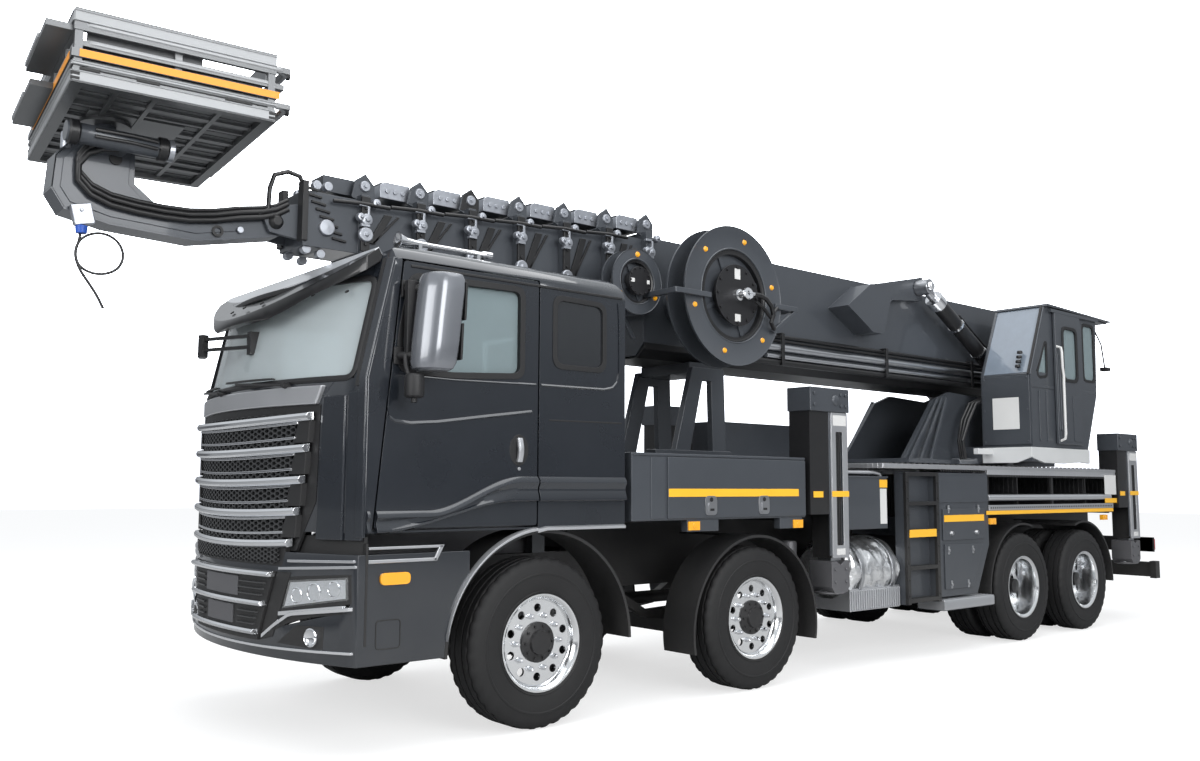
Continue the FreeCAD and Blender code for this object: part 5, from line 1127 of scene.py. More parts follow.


# ---------------------------------------------------------------- sun visor
# A deep peak over the windscreen with black screws along its lip, black below. The pale band on its upward
# faces behind the lip is a painted reflection of the bright sky.

visor_skin = bpy.data.materials.new("visor_skin")
visor_skin.use_nodes = True
peak = visor_skin.node_tree
worn_peak = wire(peak, "ShaderNodeGroup", node_tree=weather)
worn_peak.inputs["Gloss"].default_value = 0.3
looks_up = wire(peak, "ShaderNodeSeparateXYZ", {0: wire(peak, "ShaderNodeNewGeometry").outputs["Normal"]})
# Painted reflection: upward faces in a band behind the lip take a pale colour for the sky they reflect; the
# rest of the visor stays black.
topside = wire(peak, "ShaderNodeMapRange", {
    "Value": looks_up.outputs["Z"], "From Min": 0.05, "From Max": 0.15})
peak_spot = wire(peak, "ShaderNodeSeparateXYZ",
                 {0: wire(peak, "ShaderNodeTexCoord").outputs["Object"]}).outputs
peak_reach = calc(peak, "SUBTRACT", 0.412,
                  calc(peak, "MULTIPLY", calc(peak, "POWER", peak_spot["Y"], 2.0), 0.243))
peak_share = calc(peak, "DIVIDE", calc(peak, "SUBTRACT", peak_spot["X"], FRONT_AXLE + 1.133), peak_reach)
reflection_band = wire(peak, "ShaderNodeMapRange", {"Value": peak_share, "From Min": 0.53, "From Max": 0.50})
painted_reflection_mix = wire(peak, "ShaderNodeMix", data_type="RGBA")
peak.links.new(calc(peak, "MULTIPLY", topside.outputs[0], reflection_band.outputs[0]), painted_reflection_mix.inputs[0])
painted_reflection_mix.inputs[6].default_value = (0.012, 0.012, 0.013, 1)
painted_reflection_mix.inputs[7].default_value = (0.60, 0.62, 0.65, 1)
peak.links.new(painted_reflection_mix.outputs[2], worn_peak.inputs["Paint"])
peak.links.new(worn_peak.outputs["Color"], peak.nodes["Principled BSDF"].inputs["Base Color"])
peak.links.new(worn_peak.outputs["Roughness"], peak.nodes["Principled BSDF"].inputs["Roughness"])
peak.nodes["Principled BSDF"].inputs["Metallic"].default_value = 0.3
peak.nodes["Principled BSDF"].inputs["Coat Weight"].default_value = 0.5
coat_nodes(visor_skin, "sun_visor")

screws = Work()
for y in sweep(-0.96, 0.96, 9):
    reach = math.sqrt(1.0 - (y / 1.13) ** 2 * 0.44)
    screws.disc(0.014, 0, 0.008, facing((FRONT_AXLE + 1.235 + 0.31 * (1 - (y / 1.13) ** 2) - 0.055, y,
                                         2.55 + 0.06), (0.74, 0.2 * y, 0.9)), 12)
screws.made("visor_screws", black_plastic, "chassis", "black_plastic", bevel=0.002)


# ---------------------------------------------------------------- toolboxes
# Folded sheet boxes behind the cab with a drop side: a lip along the top, two plated paddle
# latches, a reflective strip, and square marker lamps on brackets below.

ALONG = Matrix.Translation((FRONT_AXLE, 0, 0))


def bar(work, x0, x1, y0, y1, z0, z1):
    work.block(x0, x1, y0, y1, z0, z1, ALONG)


def bolt(work, x, y, z, radius=0.012, direction=(0, 1, 0)):
    work.disc(radius, 0, radius * 0.7, facing((FRONT_AXLE + x, y, z), direction), 6, radius * 0.92)


BOX_SIDE = 1.222
box_trim = Work()
bar(box_trim, -2.545, -0.73, BOX_SIDE - 0.02, BOX_SIDE + 0.010, 1.706, 1.724)
bar(box_trim, -2.545, -1.05, BOX_SIDE - 0.01, BOX_SIDE + 0.012, 1.272, 1.70)
bar(box_trim, -1.03, -0.895, BOX_SIDE - 0.01, BOX_SIDE + 0.006, 1.272, 1.70)
for x0, x1 in ((-1.565, -1.245), (-2.51, -2.244)):
    bar(box_trim, x0, x1, BOX_SIDE - 0.06, BOX_SIDE + 0.002, 1.178, 1.262)
box_trim.both_sides().made("toolbox_flaps", upper_paint, "chassis", "upper_paint", bevel=0.005)
strip = Work()
bar(strip, -2.457, -1.055, BOX_SIDE + 0.011, BOX_SIDE + 0.014, 1.424, 1.480)
strip.both_sides().made("toolbox_tape", tape_yellow, "chassis", "clear_lens")
latches = Work()
for x in (-1.474, -2.047):
    plate = softened(rectangle(x - 0.060, x + 0.060, 1.292, 1.430), 0.035)
    latches.pierced(plate, [], BOX_SIDE + 0.010, BOX_SIDE + 0.018, SIDE)
    latches.pierced(softened(rectangle(x - 0.036, x + 0.036, 1.305, 1.382), 0.02),
                    [], BOX_SIDE + 0.016, BOX_SIDE + 0.026, SIDE)
latches.both_sides().made("toolbox_latches", steel, "chassis", "steel_rod", bevel=0.003)
keyholes = Work()
for x in (-1.474, -2.047):
    keyholes.disc(0.017, 0, 0.0075, outward(x, BOX_SIDE + 0.014, 1.403), 18)
    bar(keyholes, x - 0.022, x + 0.022, BOX_SIDE + 0.02, BOX_SIDE + 0.0275, 1.322, 1.340)
keyholes.both_sides().made("toolbox_keyholes", black_plastic, "chassis", "black_plastic", bevel=0.002)
markers = Work()
for x0, x1, z0, z1 in ((-1.364, -1.250, 1.188, 1.250), (-2.509, -2.395, 1.180, 1.243),
                       (-5.405, -5.300, 1.148, 1.206), (-7.769, -7.660, 1.150, 1.206)):
    bar(markers, x0, x1, BOX_SIDE - 0.03, BOX_SIDE + 0.012, z0, z1)
    markers.disc(0.017, 0, 0.006, outward((x0 + x1) / 2, BOX_SIDE + 0.010, (z0 + z1) / 2), 16)
markers.both_sides().made("side_marker_lamps", amber, "chassis", "clear_lens", bevel=0.008)


# ---------------------------------------------------------------- outriggers
# Each leg column carries a bright slotted cover over its hoses, a strip of tape, a bolted head
# box and, on the leg itself, a cast foot.

for corner in CORNERS:
    low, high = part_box(f"outrigger_beam_{corner}")
    leg_low, leg_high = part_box(f"outrigger_leg_{corner}")
    body = f"outrigger_beam_{corner}"
    right_side = "right" in corner
    face, middle, top = 1.235, (leg_low.x + leg_high.x) / 2, high.z
    place = Matrix(((1, 0, 0, middle), (0, 0, 1, 0), (0, 1, 0, 0), (0, 0, 0, 1)))
    slot_high = top - 0.35

    def on_corner(work, name, material, ride_on, slot, **more):
        if right_side:
            work.flipped()
        work.made(f"{ride_on}_{name}", material, ride_on, slot, **more)

    cover = Work()
    cover.pierced(rectangle(-0.105, 0.105, 0.932, top - 0.195),
                  [softened(rectangle(-0.036, 0.050, 1.03, slot_high), 0.012, 3)],
                  face + 0.012, face + 0.020, place)
    for u in (-0.105, 0.097):
        cover.block(u, u + 0.008, 0.932, top - 0.195, face - 0.002, face + 0.014, place)
    on_corner(cover, "cover", aluminium, body, "tread_plate", bevel=0.003)

    dark = Work()
    dark.block(-0.095, 0.095, 0.96, top - 0.23, face - 0.004, face + 0.004, place)
    for u in (-0.014, 0.010, 0.034):
        dark.pipe([(u, z, face + 0.008) for z in (1.0, 1.3, 1.6, slot_high)], 0.008, 8, place)
    on_corner(dark, "hoses", hose_rubber, body, "black_plastic")

    head = Work()
    x0, x1 = low.x - middle - 0.012, high.x - middle + 0.012
    head.block(x0, x1, top - 0.19, top + 0.002, face - 0.215, face + 0.022, place)
    head.block(x0 + 0.02, x1 - 0.25, 0.95, top - 0.19, face - 0.01, face + 0.006, place)
    for u, v in ((x0 + 0.05, top - 0.05), (x0 + 0.05, top - 0.14), (x1 - 0.05, top - 0.05),
                 (x1 - 0.05, top - 0.14), (-0.02, top - 0.05), (-0.02, top - 0.14)):
        head.disc(0.016, 0, 0.012,
                  Matrix.Translation((middle + u, face + 0.022, v)) @ facing((0, 0, 0), (0, 1, 0)), 6)
    head.turned([(0.0001, 0.014), (0.030, 0.014), (0.040, 0.008), (0.044, 0)],
                facing((middle + 0.05, face + 0.022, top - 0.095), (0, 1, 0)), 24, closed=False)
    on_corner(head, "head_box", upper_paint, body, "upper_paint", bevel=0.005)

    band = Work()
    band.block(-0.110, 0.110, 1.418, 1.464, face + 0.0195, face + 0.0225, place)
    band.block(x1 - 0.17, x1 - 0.05, 1.414, 1.462, face + 0.001, face + 0.004, place)
    on_corner(band, "tape", tape_yellow, body, "clear_lens")

    foot = Work()
    outline = [(-0.115, 0.70), (-0.08, 0.655), (0.08, 0.655), (0.115, 0.70), (0.115, 0.905), (0.05, 0.905),
               (0.0, 0.875), (-0.05, 0.905), (-0.115, 0.905)]
    foot.pierced(outline, [], face - 0.215, face + 0.010, place)
    for u in (-0.07, 0.07):
        for v in (0.74, 0.84):
            foot.disc(0.014, 0, 0.010, facing((middle + u, face + 0.010, v), (0, 1, 0)), 6)
    foot.turned([(0.0001, 0.640), (0.105, 0.640), (0.125, 0.646), (0.125, 0.658), (0.07, 0.668),
                 (0.05, 0.70)],
                Matrix.Translation((middle, face - 0.105, 0)), 32, closed=False)
    on_corner(foot, "foot", cast_grey, f"outrigger_leg_{corner}", "cast_block", bevel=0.004)

    label = Work()
    label.block(-0.085, 0.085, top - 0.30, top - 0.215, face + 0.0195, face + 0.0215, place)
    label.block(-0.05, 0.06, 0.955, 1.005, face + 0.0195, face + 0.0215, place)
    on_corner(label, "labels", white_label, body, "clear_lens")


# ---------------------------------------------------------------- control box, tank and ladder
# A sheet box with a blank label strip hangs under a bright pipe; a crinkled foil shield wraps the
# silencer over a ribbed box; a bolted ladder has tape on its middle tread.

control = Work()
bar(control, -3.745, -3.165, 1.145, 1.156, 1.145, 1.585)
bar(control, -3.755, -3.155, 1.03, 1.165, 1.575, 1.590)
control.made("control_box_lid", upper_paint, "chassis", "upper_paint", bevel=0.004)
blanks = Work()
bar(blanks, -3.735, -3.640, 1.155, 1.158, 1.185, 1.484)
bar(blanks, -8.040, -7.760, 1.216, 1.219, 1.425, 1.640)
blanks.made("blank_labels", white_label, "chassis", "clear_lens", bevel=0.001)
handrail = Work()
handrail.pipe([(FRONT_AXLE + x, 1.12, z)
               for x, z in ((-3.08, 1.62), (-3.60, 1.62), (-3.68, 1.61), (-3.71, 1.57), (-3.71, 1.50))],
              0.016, 12)
handrail.made("handrail", aluminium, "chassis", "tread_plate")

foil = finish("heat_foil", (0.78, 0.79, 0.80), 0.30, metal=0.95, film=0.12, break_up=0.3, cloud=0.3,
              patches=9.0, relief=0.9, grain=16.0, depth=0.02)


def silencer(work, centre_x, length, side):
    """A foil-wrapped drum, dented here and there, lying along the frame."""
    loops = []
    for i in range(33):
        t = i / 32
        x = centre_x + length * (t - 0.5)
        scale = 1 - 0.16 * max(0, abs(t - 0.5) - 0.44) / 0.06
        loop = []
        for j in range(40):
            a = 2 * math.pi * j / 40
            dent = 0.010 * math.sin(9.1 * t + 5 * a) * math.sin(23 * t + 1.3)
            dent += 0.006 * math.sin(31 * t - 7 * a)
            loop.append((FRONT_AXLE + x, side * (0.86 + math.cos(a) * (0.295 + dent) * scale),
                         0.785 + math.sin(a) * (0.275 + dent) * scale))
        loops.append(loop)
    work.swept(loops)


shield = Work()
silencer(shield, -3.58, 0.72, 1)
silencer(shield, -4.02, 0.74, -1)
shield.made("heat_shields", foil, "chassis", "tread_plate", stands_for=("tanks",))
ribbed = Work()
for x0, x1, side in ((-3.93, -3.22, 1), (-4.39, -3.65, -1)):
    lo, hi = sorted((side * 0.60, side * 1.135))
    bar(ribbed, x0, x1, lo, hi, 0.472, 0.655)
    face_y = side * 1.135
    for x in sweep(x0 + 0.02, x1 - 0.02, 22):
        lo, hi = sorted((face_y - side * 0.01, face_y + side * 0.014))
        bar(ribbed, x - 0.007, x + 0.007, lo, hi, 0.482, 0.640)
ribbed.made("silencer_boxes", aluminium, "chassis", "tread_plate", bevel=0.004)
straps = Work()
for centre, side in ((-3.36, 1), (-3.80, 1), (-3.80, -1), (-4.24, -1)):
    ring = [(side * (0.86 + 0.312 * math.cos(a)), 0.785 + 0.29 * math.sin(a))
            for a in sweep(-math.pi * 0.55, math.pi * 0.9, 30)]
    straps.swept([[(FRONT_AXLE + centre + u, y + (y - side * 0.86) * w, z + (z - 0.785) * w)
                   for u, w in ((-0.02, -0.03), (-0.02, 0.01), (0.02, 0.01), (0.02, -0.03))]
                   for y, z in ring])
straps.made("silencer_straps", steel, "chassis", "steel_rod", bevel=0.002)

climb = Work()
for z in (0.515, 0.795, 1.075, 1.355, 1.613):
    bar(climb, -4.405, -3.965, 1.125, 1.222, z - 0.017, z + 0.017)
for x in (-4.425, -3.955):
    bar(climb, x - 0.022, x + 0.022, 1.19, 1.2225, 0.487, 1.628)
    for z in (0.56, 0.70, 0.84, 0.98, 1.12, 1.26, 1.40, 1.54):
        bolt(climb, x, 1.222, z, 0.010)
climb.made("ladder", chassis_black, "chassis", "frame_paint", bevel=0.003)
strips = Work()
bar(strips, -4.385, -3.965, 1.220, 1.226, 1.062, 1.128)
bar(strips, -3.745, -3.635, 1.155, 1.1585, 1.494, 1.560)
strips.made("ladder_tape", tape_yellow, "chassis", "clear_lens")


# ---------------------------------------------------------------- side panels
# Hinged sheet panels ahead of the rear wheels, cut back below for the tyre: an upper flap over a
# tapered lower door, plated hinges and latches, tape, and a drawn step bar underneath.

panels = Work()
outer = 1.215
panels.pierced(rectangle(-4.50, -5.21, 1.02, 1.30), [], outer - 0.005, outer + 0.009, SIDE)
panels.pierced([(-4.52, 0.585), (-4.985, 0.585), (-5.165, 0.975), (-4.52, 0.985)],
               [], outer - 0.005, outer + 0.009, SIDE)
panels.pierced(rectangle(-4.455, -5.29, 1.36, 1.60), [], outer - 0.005, outer + 0.004, SIDE)
panels.both_sides().made("side_panel_doors", upper_paint, "chassis", "upper_paint", bevel=0.004)
plated = Work()
for x in (-4.590, -5.100):
    bar(plated, x - 0.012, x + 0.012, outer, outer + 0.016, 1.262, 1.335)
    plated.disc(0.012, 0, 0.02, outward(x, outer + 0.004, 1.30), 12)
for x in (-4.632, -5.060):
    plated.disc(0.024, 0, 0.022, outward(x, outer + 0.006, 1.082), 18, 0.017)
for x, z in ((-4.578, 0.93), (-4.985, 0.925), (-4.612, 0.625), (-4.892, 0.620)):
    bar(plated, x - 0.012, x + 0.012, outer, outer + 0.016, z - 0.035, z + 0.035)
    plated.disc(0.013, 0, 0.02, outward(x, outer + 0.004, z), 12)
plated.both_sides().made("side_panel_hinges", steel, "chassis", "steel_rod", bevel=0.003)
panel_tape = Work()
bar(panel_tape, -5.195, -4.515, outer + 0.008, outer + 0.012, 1.186, 1.246)
bar(panel_tape, -7.945, -5.255, outer + 0.001, outer + 0.005, 1.240, 1.276)
bar(panel_tape, -8.045, -7.755, outer + 0.001, outer + 0.004, 1.335, 1.385)
panel_tape.both_sides().made("side_panel_tape", tape_yellow, "chassis", "clear_lens")
step = Work()
step.prism([(0.975, 0.404), (1.243, 0.404), (1.250, 0.412), (1.250, 0.480), (1.243, 0.494), (0.975, 0.494)],
           -5.295, -4.445, "X", ALONG)
for y in sweep(1.0, 1.22, 8):
    bar(step, -5.28, -4.46, y - 0.004, y + 0.004, 0.493, 0.498)
step.both_sides().made("side_steps", aluminium, "chassis", "tread_plate", bevel=0.004)


# ---------------------------------------------------------------- deck
# Aluminium tread plate, its raised bars set both ways, on a black frame. Round-headed bolts run
# along the edge over a punched bright kick strip and a lower rail.

tread = bpy.data.materials.new("tread_plate")
tread.use_nodes = True
plate_tree = tread.node_tree
worn_plate = wire(plate_tree, "ShaderNodeGroup", node_tree=weather)
for key, value in (("Gloss", 0.36), ("Road Film", 0.15), ("Break Up", 0.15), ("Grain", 200.0)):
    worn_plate.inputs[key].default_value = value
on_plate = wire(plate_tree, "ShaderNodeTexCoord").outputs["Object"]
depth_z = wire(plate_tree, "ShaderNodeSeparateXYZ", {0: on_plate}).outputs["Z"]
is_top = calc(plate_tree, "GREATER_THAN", depth_z, 1.62)
two_metals = wire(plate_tree, "ShaderNodeMix", data_type="RGBA")
plate_tree.links.new(is_top, two_metals.inputs[0])
two_metals.inputs[6].default_value = (0.012, 0.012, 0.013, 1)
two_metals.inputs[7].default_value = (0.70, 0.71, 0.73, 1)
plate_tree.links.new(two_metals.outputs[2], worn_plate.inputs["Paint"])
skin = plate_tree.nodes["Principled BSDF"]
plate_tree.links.new(worn_plate.outputs["Color"], skin.inputs["Base Color"])
plate_tree.links.new(worn_plate.outputs["Roughness"], skin.inputs["Roughness"])
plate_tree.links.new(calc(plate_tree, "MULTIPLY", is_top, 0.85), skin.inputs["Metallic"])
bars_made = []
for turn in (math.radians(45), math.radians(-45)):
    turned_round = wire(plate_tree, "ShaderNodeMapping", {"Vector": on_plate, "Rotation": (0, 0, turn)})
    bars_made.append(wire(plate_tree, "ShaderNodeTexWave",
                          {"Vector": turned_round.outputs[0], "Scale": 9.0}).outputs[1])
crossed = calc(plate_tree, "MAXIMUM", bars_made[0], bars_made[1])
raised = wire(plate_tree, "ShaderNodeMapRange",
              {"Value": crossed, "From Min": 0.78, "From Max": 0.92}).outputs[0]
plate_bump = wire(plate_tree, "ShaderNodeBump", {"Strength": 0.5, "Distance": 0.004, "Height": raised})
plate_tree.links.new(plate_bump.outputs[0], skin.inputs["Normal"])
coat_nodes(tread, "deck")

edge_strip = Work()
bar(edge_strip, -8.035, -3.605, 1.213, 1.222, 1.668, 1.700)
bar(edge_strip, -7.95, -5.30, 1.214, 1.221, 1.278, 1.330)
edge_strip.pipe([(FRONT_AXLE + x, 1.19, 1.40) for x in (-7.92, -6.6, -5.31)], 0.032, 14)
edge_strip.both_sides().made("deck_edges", aluminium, "chassis", "tread_plate", bevel=0.003)
edge_bolts = Work()
for x in sweep(-7.96, -3.70, 48):
    edge_bolts.disc(0.020, 0, 0.012, facing((FRONT_AXLE + x, 1.165, 1.6995), (0, 0, 1)), 12, 0.013)
for x in sweep(-7.90, -5.34, 66):
    edge_bolts.disc(0.009, 0, 0.002, outward(x, 1.2205, 1.304), 8)
for x in sweep(-5.24, -4.49, 20):
    bar(edge_bolts, x - 0.009, x + 0.009, 1.2135, 1.223, 1.640, 1.655)
edge_bolts.both_sides().made("deck_bolts", black_plastic, "chassis", "black_plastic")


# ---------------------------------------------------------------- rear end and underbody
# Lamp clusters on plates above the rear bar with amber turn lamps beside them, a filter canister on each side
# by the front jack and two air tanks under the frame.

clusters = Work()
for y in (0.98, -0.98):
    bar(clusters, -9.238, -9.166, y - 0.150, y + 0.150, 0.760, 0.900)
clusters.made("tail_lamps", red_lens, "chassis", "clear_lens", bevel=0.014)
cluster_parts = Work()
for y in (0.98, -0.98):
    for shift in (-0.05, 0.05):
        bar(cluster_parts, -9.241, -9.235, y + shift - 0.003, y + shift + 0.003, 0.766, 0.894)
    bar(cluster_parts, -9.170, -9.150, y - 0.165, y + 0.165, 0.745, 0.915)
cluster_parts.made("tail_lamp_rims", black_plastic, "chassis", "black_plastic", bevel=0.003)
turn_lamps = Work()
for y in (1.078, -1.078):
    bar(turn_lamps, -9.2405, -9.20, y - 0.045, y + 0.045, 0.772, 0.888)
turn_lamps.made("turn_lamps", amber, "chassis", "clear_lens", bevel=0.006)
under = Work()
for y in (0.86, -0.86):
    under.turned([(0.0001, -0.10), (0.055, -0.10), (0.066, -0.085), (0.066, 0.075), (0.058, 0.09),
                  (0.0001, 0.095)],
                 Matrix.Translation((FRONT_AXLE - 2.81 + 0.03, y, 0.965)), 24, closed=False)
for y in (0.56, -0.56):
    under.turned([(0.0001, -0.45), (0.10, -0.45), (0.14, -0.42), (0.15, -0.38), (0.15, 0.38), (0.14, 0.42),
                  (0.10, 0.45), (0.0001, 0.45)],
                  facing((FRONT_AXLE - 3.2 + 0.06, y + (0.05 if y > 0 else -0.05), 0.60), (1, 0, 0)), 28,
                 closed=False)
under.made("air_tanks", cast_grey, "chassis", "frame_paint")


# ---------------------------------------------------------------- boom
# Welded steel tubes. Steel pipes run low along the base; each section's head carries bored rope
# ears, a punched plate box over its pulleys, bright side rollers, a cable clamp and a slanting rib.

BOOM_HALF, BOOM_FRONT, PITCH = 0.33, -1.65, 0.41

pipes = Work()
pipes.pipe([(FRONT_AXLE + x, 0.362, 2.745) for x in (-7.35, -5.0, -2.62)], 0.034, 14)
pipes.pipe([(FRONT_AXLE + x, 0.366, 2.664) for x in (-7.30, -5.0, -3.10)], 0.022, 12)
pipes.both_sides().made("boom_pipes", steel, "boom_base", "steel_rod")
thin_lines = Work()
for y, z, radius in ((0.350, 2.850, 0.017), (0.348, 2.812, 0.013), (0.356, 2.612, 0.028)):
    thin_lines.pipe([(FRONT_AXLE + x, y, z) for x in (-7.35, -5.0, -2.45)], radius, 10)
for x in (-3.3, -4.9, -6.5):
    bar(thin_lines, x - 0.02, x + 0.02, BOOM_HALF - 0.005, 0.40, 2.588, 2.602)
    bar(thin_lines, x - 0.02, x + 0.02, 0.392, 0.404, 2.588, 2.875)
    bar(thin_lines, x - 0.02, x + 0.02, BOOM_HALF - 0.005, 0.40, 2.868, 2.880)
thin_lines.both_sides().made("boom_hard_lines", hose_rubber, "boom_base", "barrel_paint", bevel=0.002)
# Painted shade: the chamfered underside of the boom base is given the chassis black to stand for the shade
# under its rounded lower edges; the boom itself is in upper paint.
folds = Work()
folds.prism([(-0.335, 2.652), (-0.235, 2.552), (-0.22, 2.542), (0.22, 2.542), (0.235, 2.552), (0.335, 2.652),
             (0.335, 2.60), (0.24, 2.532), (-0.24, 2.532), (-0.335, 2.60)], -8.62, BOOM_FRONT - 0.01, "X",
             ALONG)
folds.made("boom_keel_painted_shade", chassis_black, "boom_base", "upper_paint", bevel=0.004)


def section_sizes(i):
    """Front end, half width, underside and top of a moving section."""
    return BOOM_FRONT + PITCH * (i + 1), 0.305 - 0.025 * i, 2.935 + 0.02 * i, 3.50 - 0.02 * i


zinc = finish("zinc_plate", (0.42, 0.44, 0.48), 0.36, metal=0.8, film=0.0, cloud=0.35, patches=24.0,
              relief=0.15, grain=60.0)
heads = [("boom_base", BOOM_FRONT, BOOM_HALF, 2.90, 3.52)]
heads += [(name, *section_sizes(i)) for i, name in enumerate(SECTIONS)]
for index, (body, x, half, low, high) in enumerate(heads):
    cover = Work()
    top = high + 0.035
    if index < 6:
        cover.prism([(x - 0.005, top + 0.012), (x + 0.225, top + 0.012), (x + 0.225, top + 0.10),
                     (x + 0.19, top + 0.128), (x - 0.005, top + 0.128)], 0.082 - half, half - 0.082, "Y",
                     ALONG)
        for y in (0.078 - half, half - 0.078):
            for u in (0.05, 0.11, 0.17):
                cover.disc(0.016, -0.004, 0.006, facing((FRONT_AXLE + x + u, y, top + 0.065), (0, y, 0)), 12)
    for side in (1, -1):
        y = side * (half - 0.028)
        cover.disc(0.040, 0, 0.014, facing((FRONT_AXLE + x - 0.055, y, top + 0.075), (0, side, 0)), 24, 0.034)
        cover.disc(0.014, 0, 0.026, facing((FRONT_AXLE + x - 0.055, y, top + 0.075), (0, side, 0)), 6)
        low_y = side * (half + 0.035)
        for dx, dz, radius in ((-0.03, 0.20, 0.042), (-0.10, 0.055, 0.030), (0.012, -0.13, 0.028)):
            z = high - 0.26 + dz * 0.6 if radius > 0.04 else high - 0.05 + dz * 0.6
            cover.turned([(0.0001, 0.050), (radius * 0.35, 0.050), (radius * 0.42, 0.038),
                          (radius * 0.9, 0.036), (radius, 0.028), (radius, 0.0)],
                          facing((FRONT_AXLE + x + dx, low_y, z), (0, side, 0)), 22,
                         closed=False)
        if index:
            cover.turned([(0.0001, 0.034), (0.012, 0.034), (0.016, 0.026), (0.046, 0.026), (0.052, 0.018),
                          (0.052, 0.0)],
                         facing((FRONT_AXLE + x - 0.03, side * (half + 0.040), low + 0.125), (0, side, 0)),
                         28, closed=False)
        for u0, u1, v0, v1, depth in ((-0.052, -0.034, -0.19, -0.035, 0.030),
                                      (-0.052, 0.026, -0.052, -0.035, 0.030),
                                      (-0.052, 0.012, -0.19, -0.172, 0.036)):
            lo, hi = sorted((low_y - side * 0.004, low_y + side * depth))
            bar(cover, x + u0, x + u1, lo, hi, high + v0, high + v1)
    cover.made(f"{body}_head_plates", zinc, body, "tread_plate", bevel=0.003, crisp=30)

    rib, ears = Work(), Work()
    for side in (1, -1):
        if index:
            lo, hi = sorted((side * (half - 0.003), side * (half + 0.014)))
            for shift, wide in ((0.0, 0.060), (0.095, 0.022)):
                rib.prism([(x - 0.19 - shift, high - 0.07), (x - 0.19 - shift - wide, high - 0.07),
                           (x - 0.064 - shift * 0.3 - wide, low + 0.08),
                           (x - 0.064 - shift * 0.3, low + 0.08)],
                          lo, hi, "Y", ALONG)
            lo, hi = sorted((side * (half + 0.030), side * (half + 0.050)))
            bar(rib, x - 0.062, x + 0.002, lo, hi, low + 0.01, high + 0.02)
            for z in (low + 0.06, low + 0.20, low + 0.33, high - 0.06):
                rib.disc(0.013, 0, 0.012,
                         facing((FRONT_AXLE + x - 0.03, side * (half + 0.048), z), (0, side, 0)), 6)
        low_z = high - 0.035
        if index:
            rib.pipe([(FRONT_AXLE + x - 0.20, side * (half + 0.062), low_z),
                      (FRONT_AXLE + x, side * (half + 0.058), low_z),
                      (FRONT_AXLE + x + 0.205, side * (half + 0.040), low_z - 0.012)], 0.014, 10)
    if index < 6:
        ear = [(x - 0.125, top - 0.02), (x - 0.125, top + 0.088), (x - 0.060, top + 0.158),
               (x + 0.012, top + 0.106), (x + 0.036, top - 0.005)]
        for side in (1, -1):
            lo, hi = sorted((side * (half - 0.046), side * (half - 0.0275)))
            ears.prism(ear, lo, hi, "Y", ALONG)
        ears.made(f"{body}_rope_ears", chassis_black if index == 4 else upper_paint, body, "upper_paint",
                  bevel=0.003)
    if index:
        rib.made(f"{body}_head_ribs", chassis_black, body, "barrel_paint", bevel=0.003)

tip = Work()
for i, z in enumerate(sweep(3.09, 3.40, 8)):
    for side in (1, -1):
        lo, hi = sorted((side * 0.178, side * 0.196))
        tip.prism([(0.90 + 0.03 * i, z), (1.00 + 0.03 * i, z + 0.012), (1.00 + 0.03 * i, z + 0.028),
                   (0.90 + 0.03 * i, z + 0.016)], lo, hi, "Y", ALONG)
for side in (1, -1):
    tip.turned([(0.0001, 0.04), (0.028, 0.04), (0.045, 0.02), (0.05, 0)],
               facing((FRONT_AXLE + 1.36, side * 0.122, 3.17), (0, side, 0)), 24, closed=False)
    lo, hi = sorted((side * 0.12, side * 0.20))
    bar(tip, 1.175, 1.215, lo, hi, 3.065, 3.46)
tip.made("boom_tip_fins", chassis_black, "boom_section_7", "barrel_paint", bevel=0.003)
tip_bright = Work()
for x, z in ((1.02, 3.56), (1.10, 3.555), (1.06, 3.00), (1.16, 3.02)):
    for side in (1, -1):
        tip_bright.disc(0.030, 0, 0.05,
                        facing((FRONT_AXLE + x, side * 0.11, z - 0.10 if z > 3.3 else z), (0, side, 0)), 18)
for side in (1, -1):
    tip_bright.turned([(0.0001, 0.022), (0.050, 0.020), (0.055, 0.012), (0.055, 0.0)],
                      facing((FRONT_AXLE + 1.04, side * 0.182, 3.172), (0, side, 0)), 28, closed=False)
tip_bright.made("boom_tip_rollers", zinc, "boom_section_7", "steel_rod", bevel=0.003)


# ---------------------------------------------------------------- hose and cable reels
# Spun steel flanges with rolled rims and six amber reflectors round a coil of black hose. A bolted
# hub plate with blank labels turns on a swivel joint, and a braced yoke stands across the front.

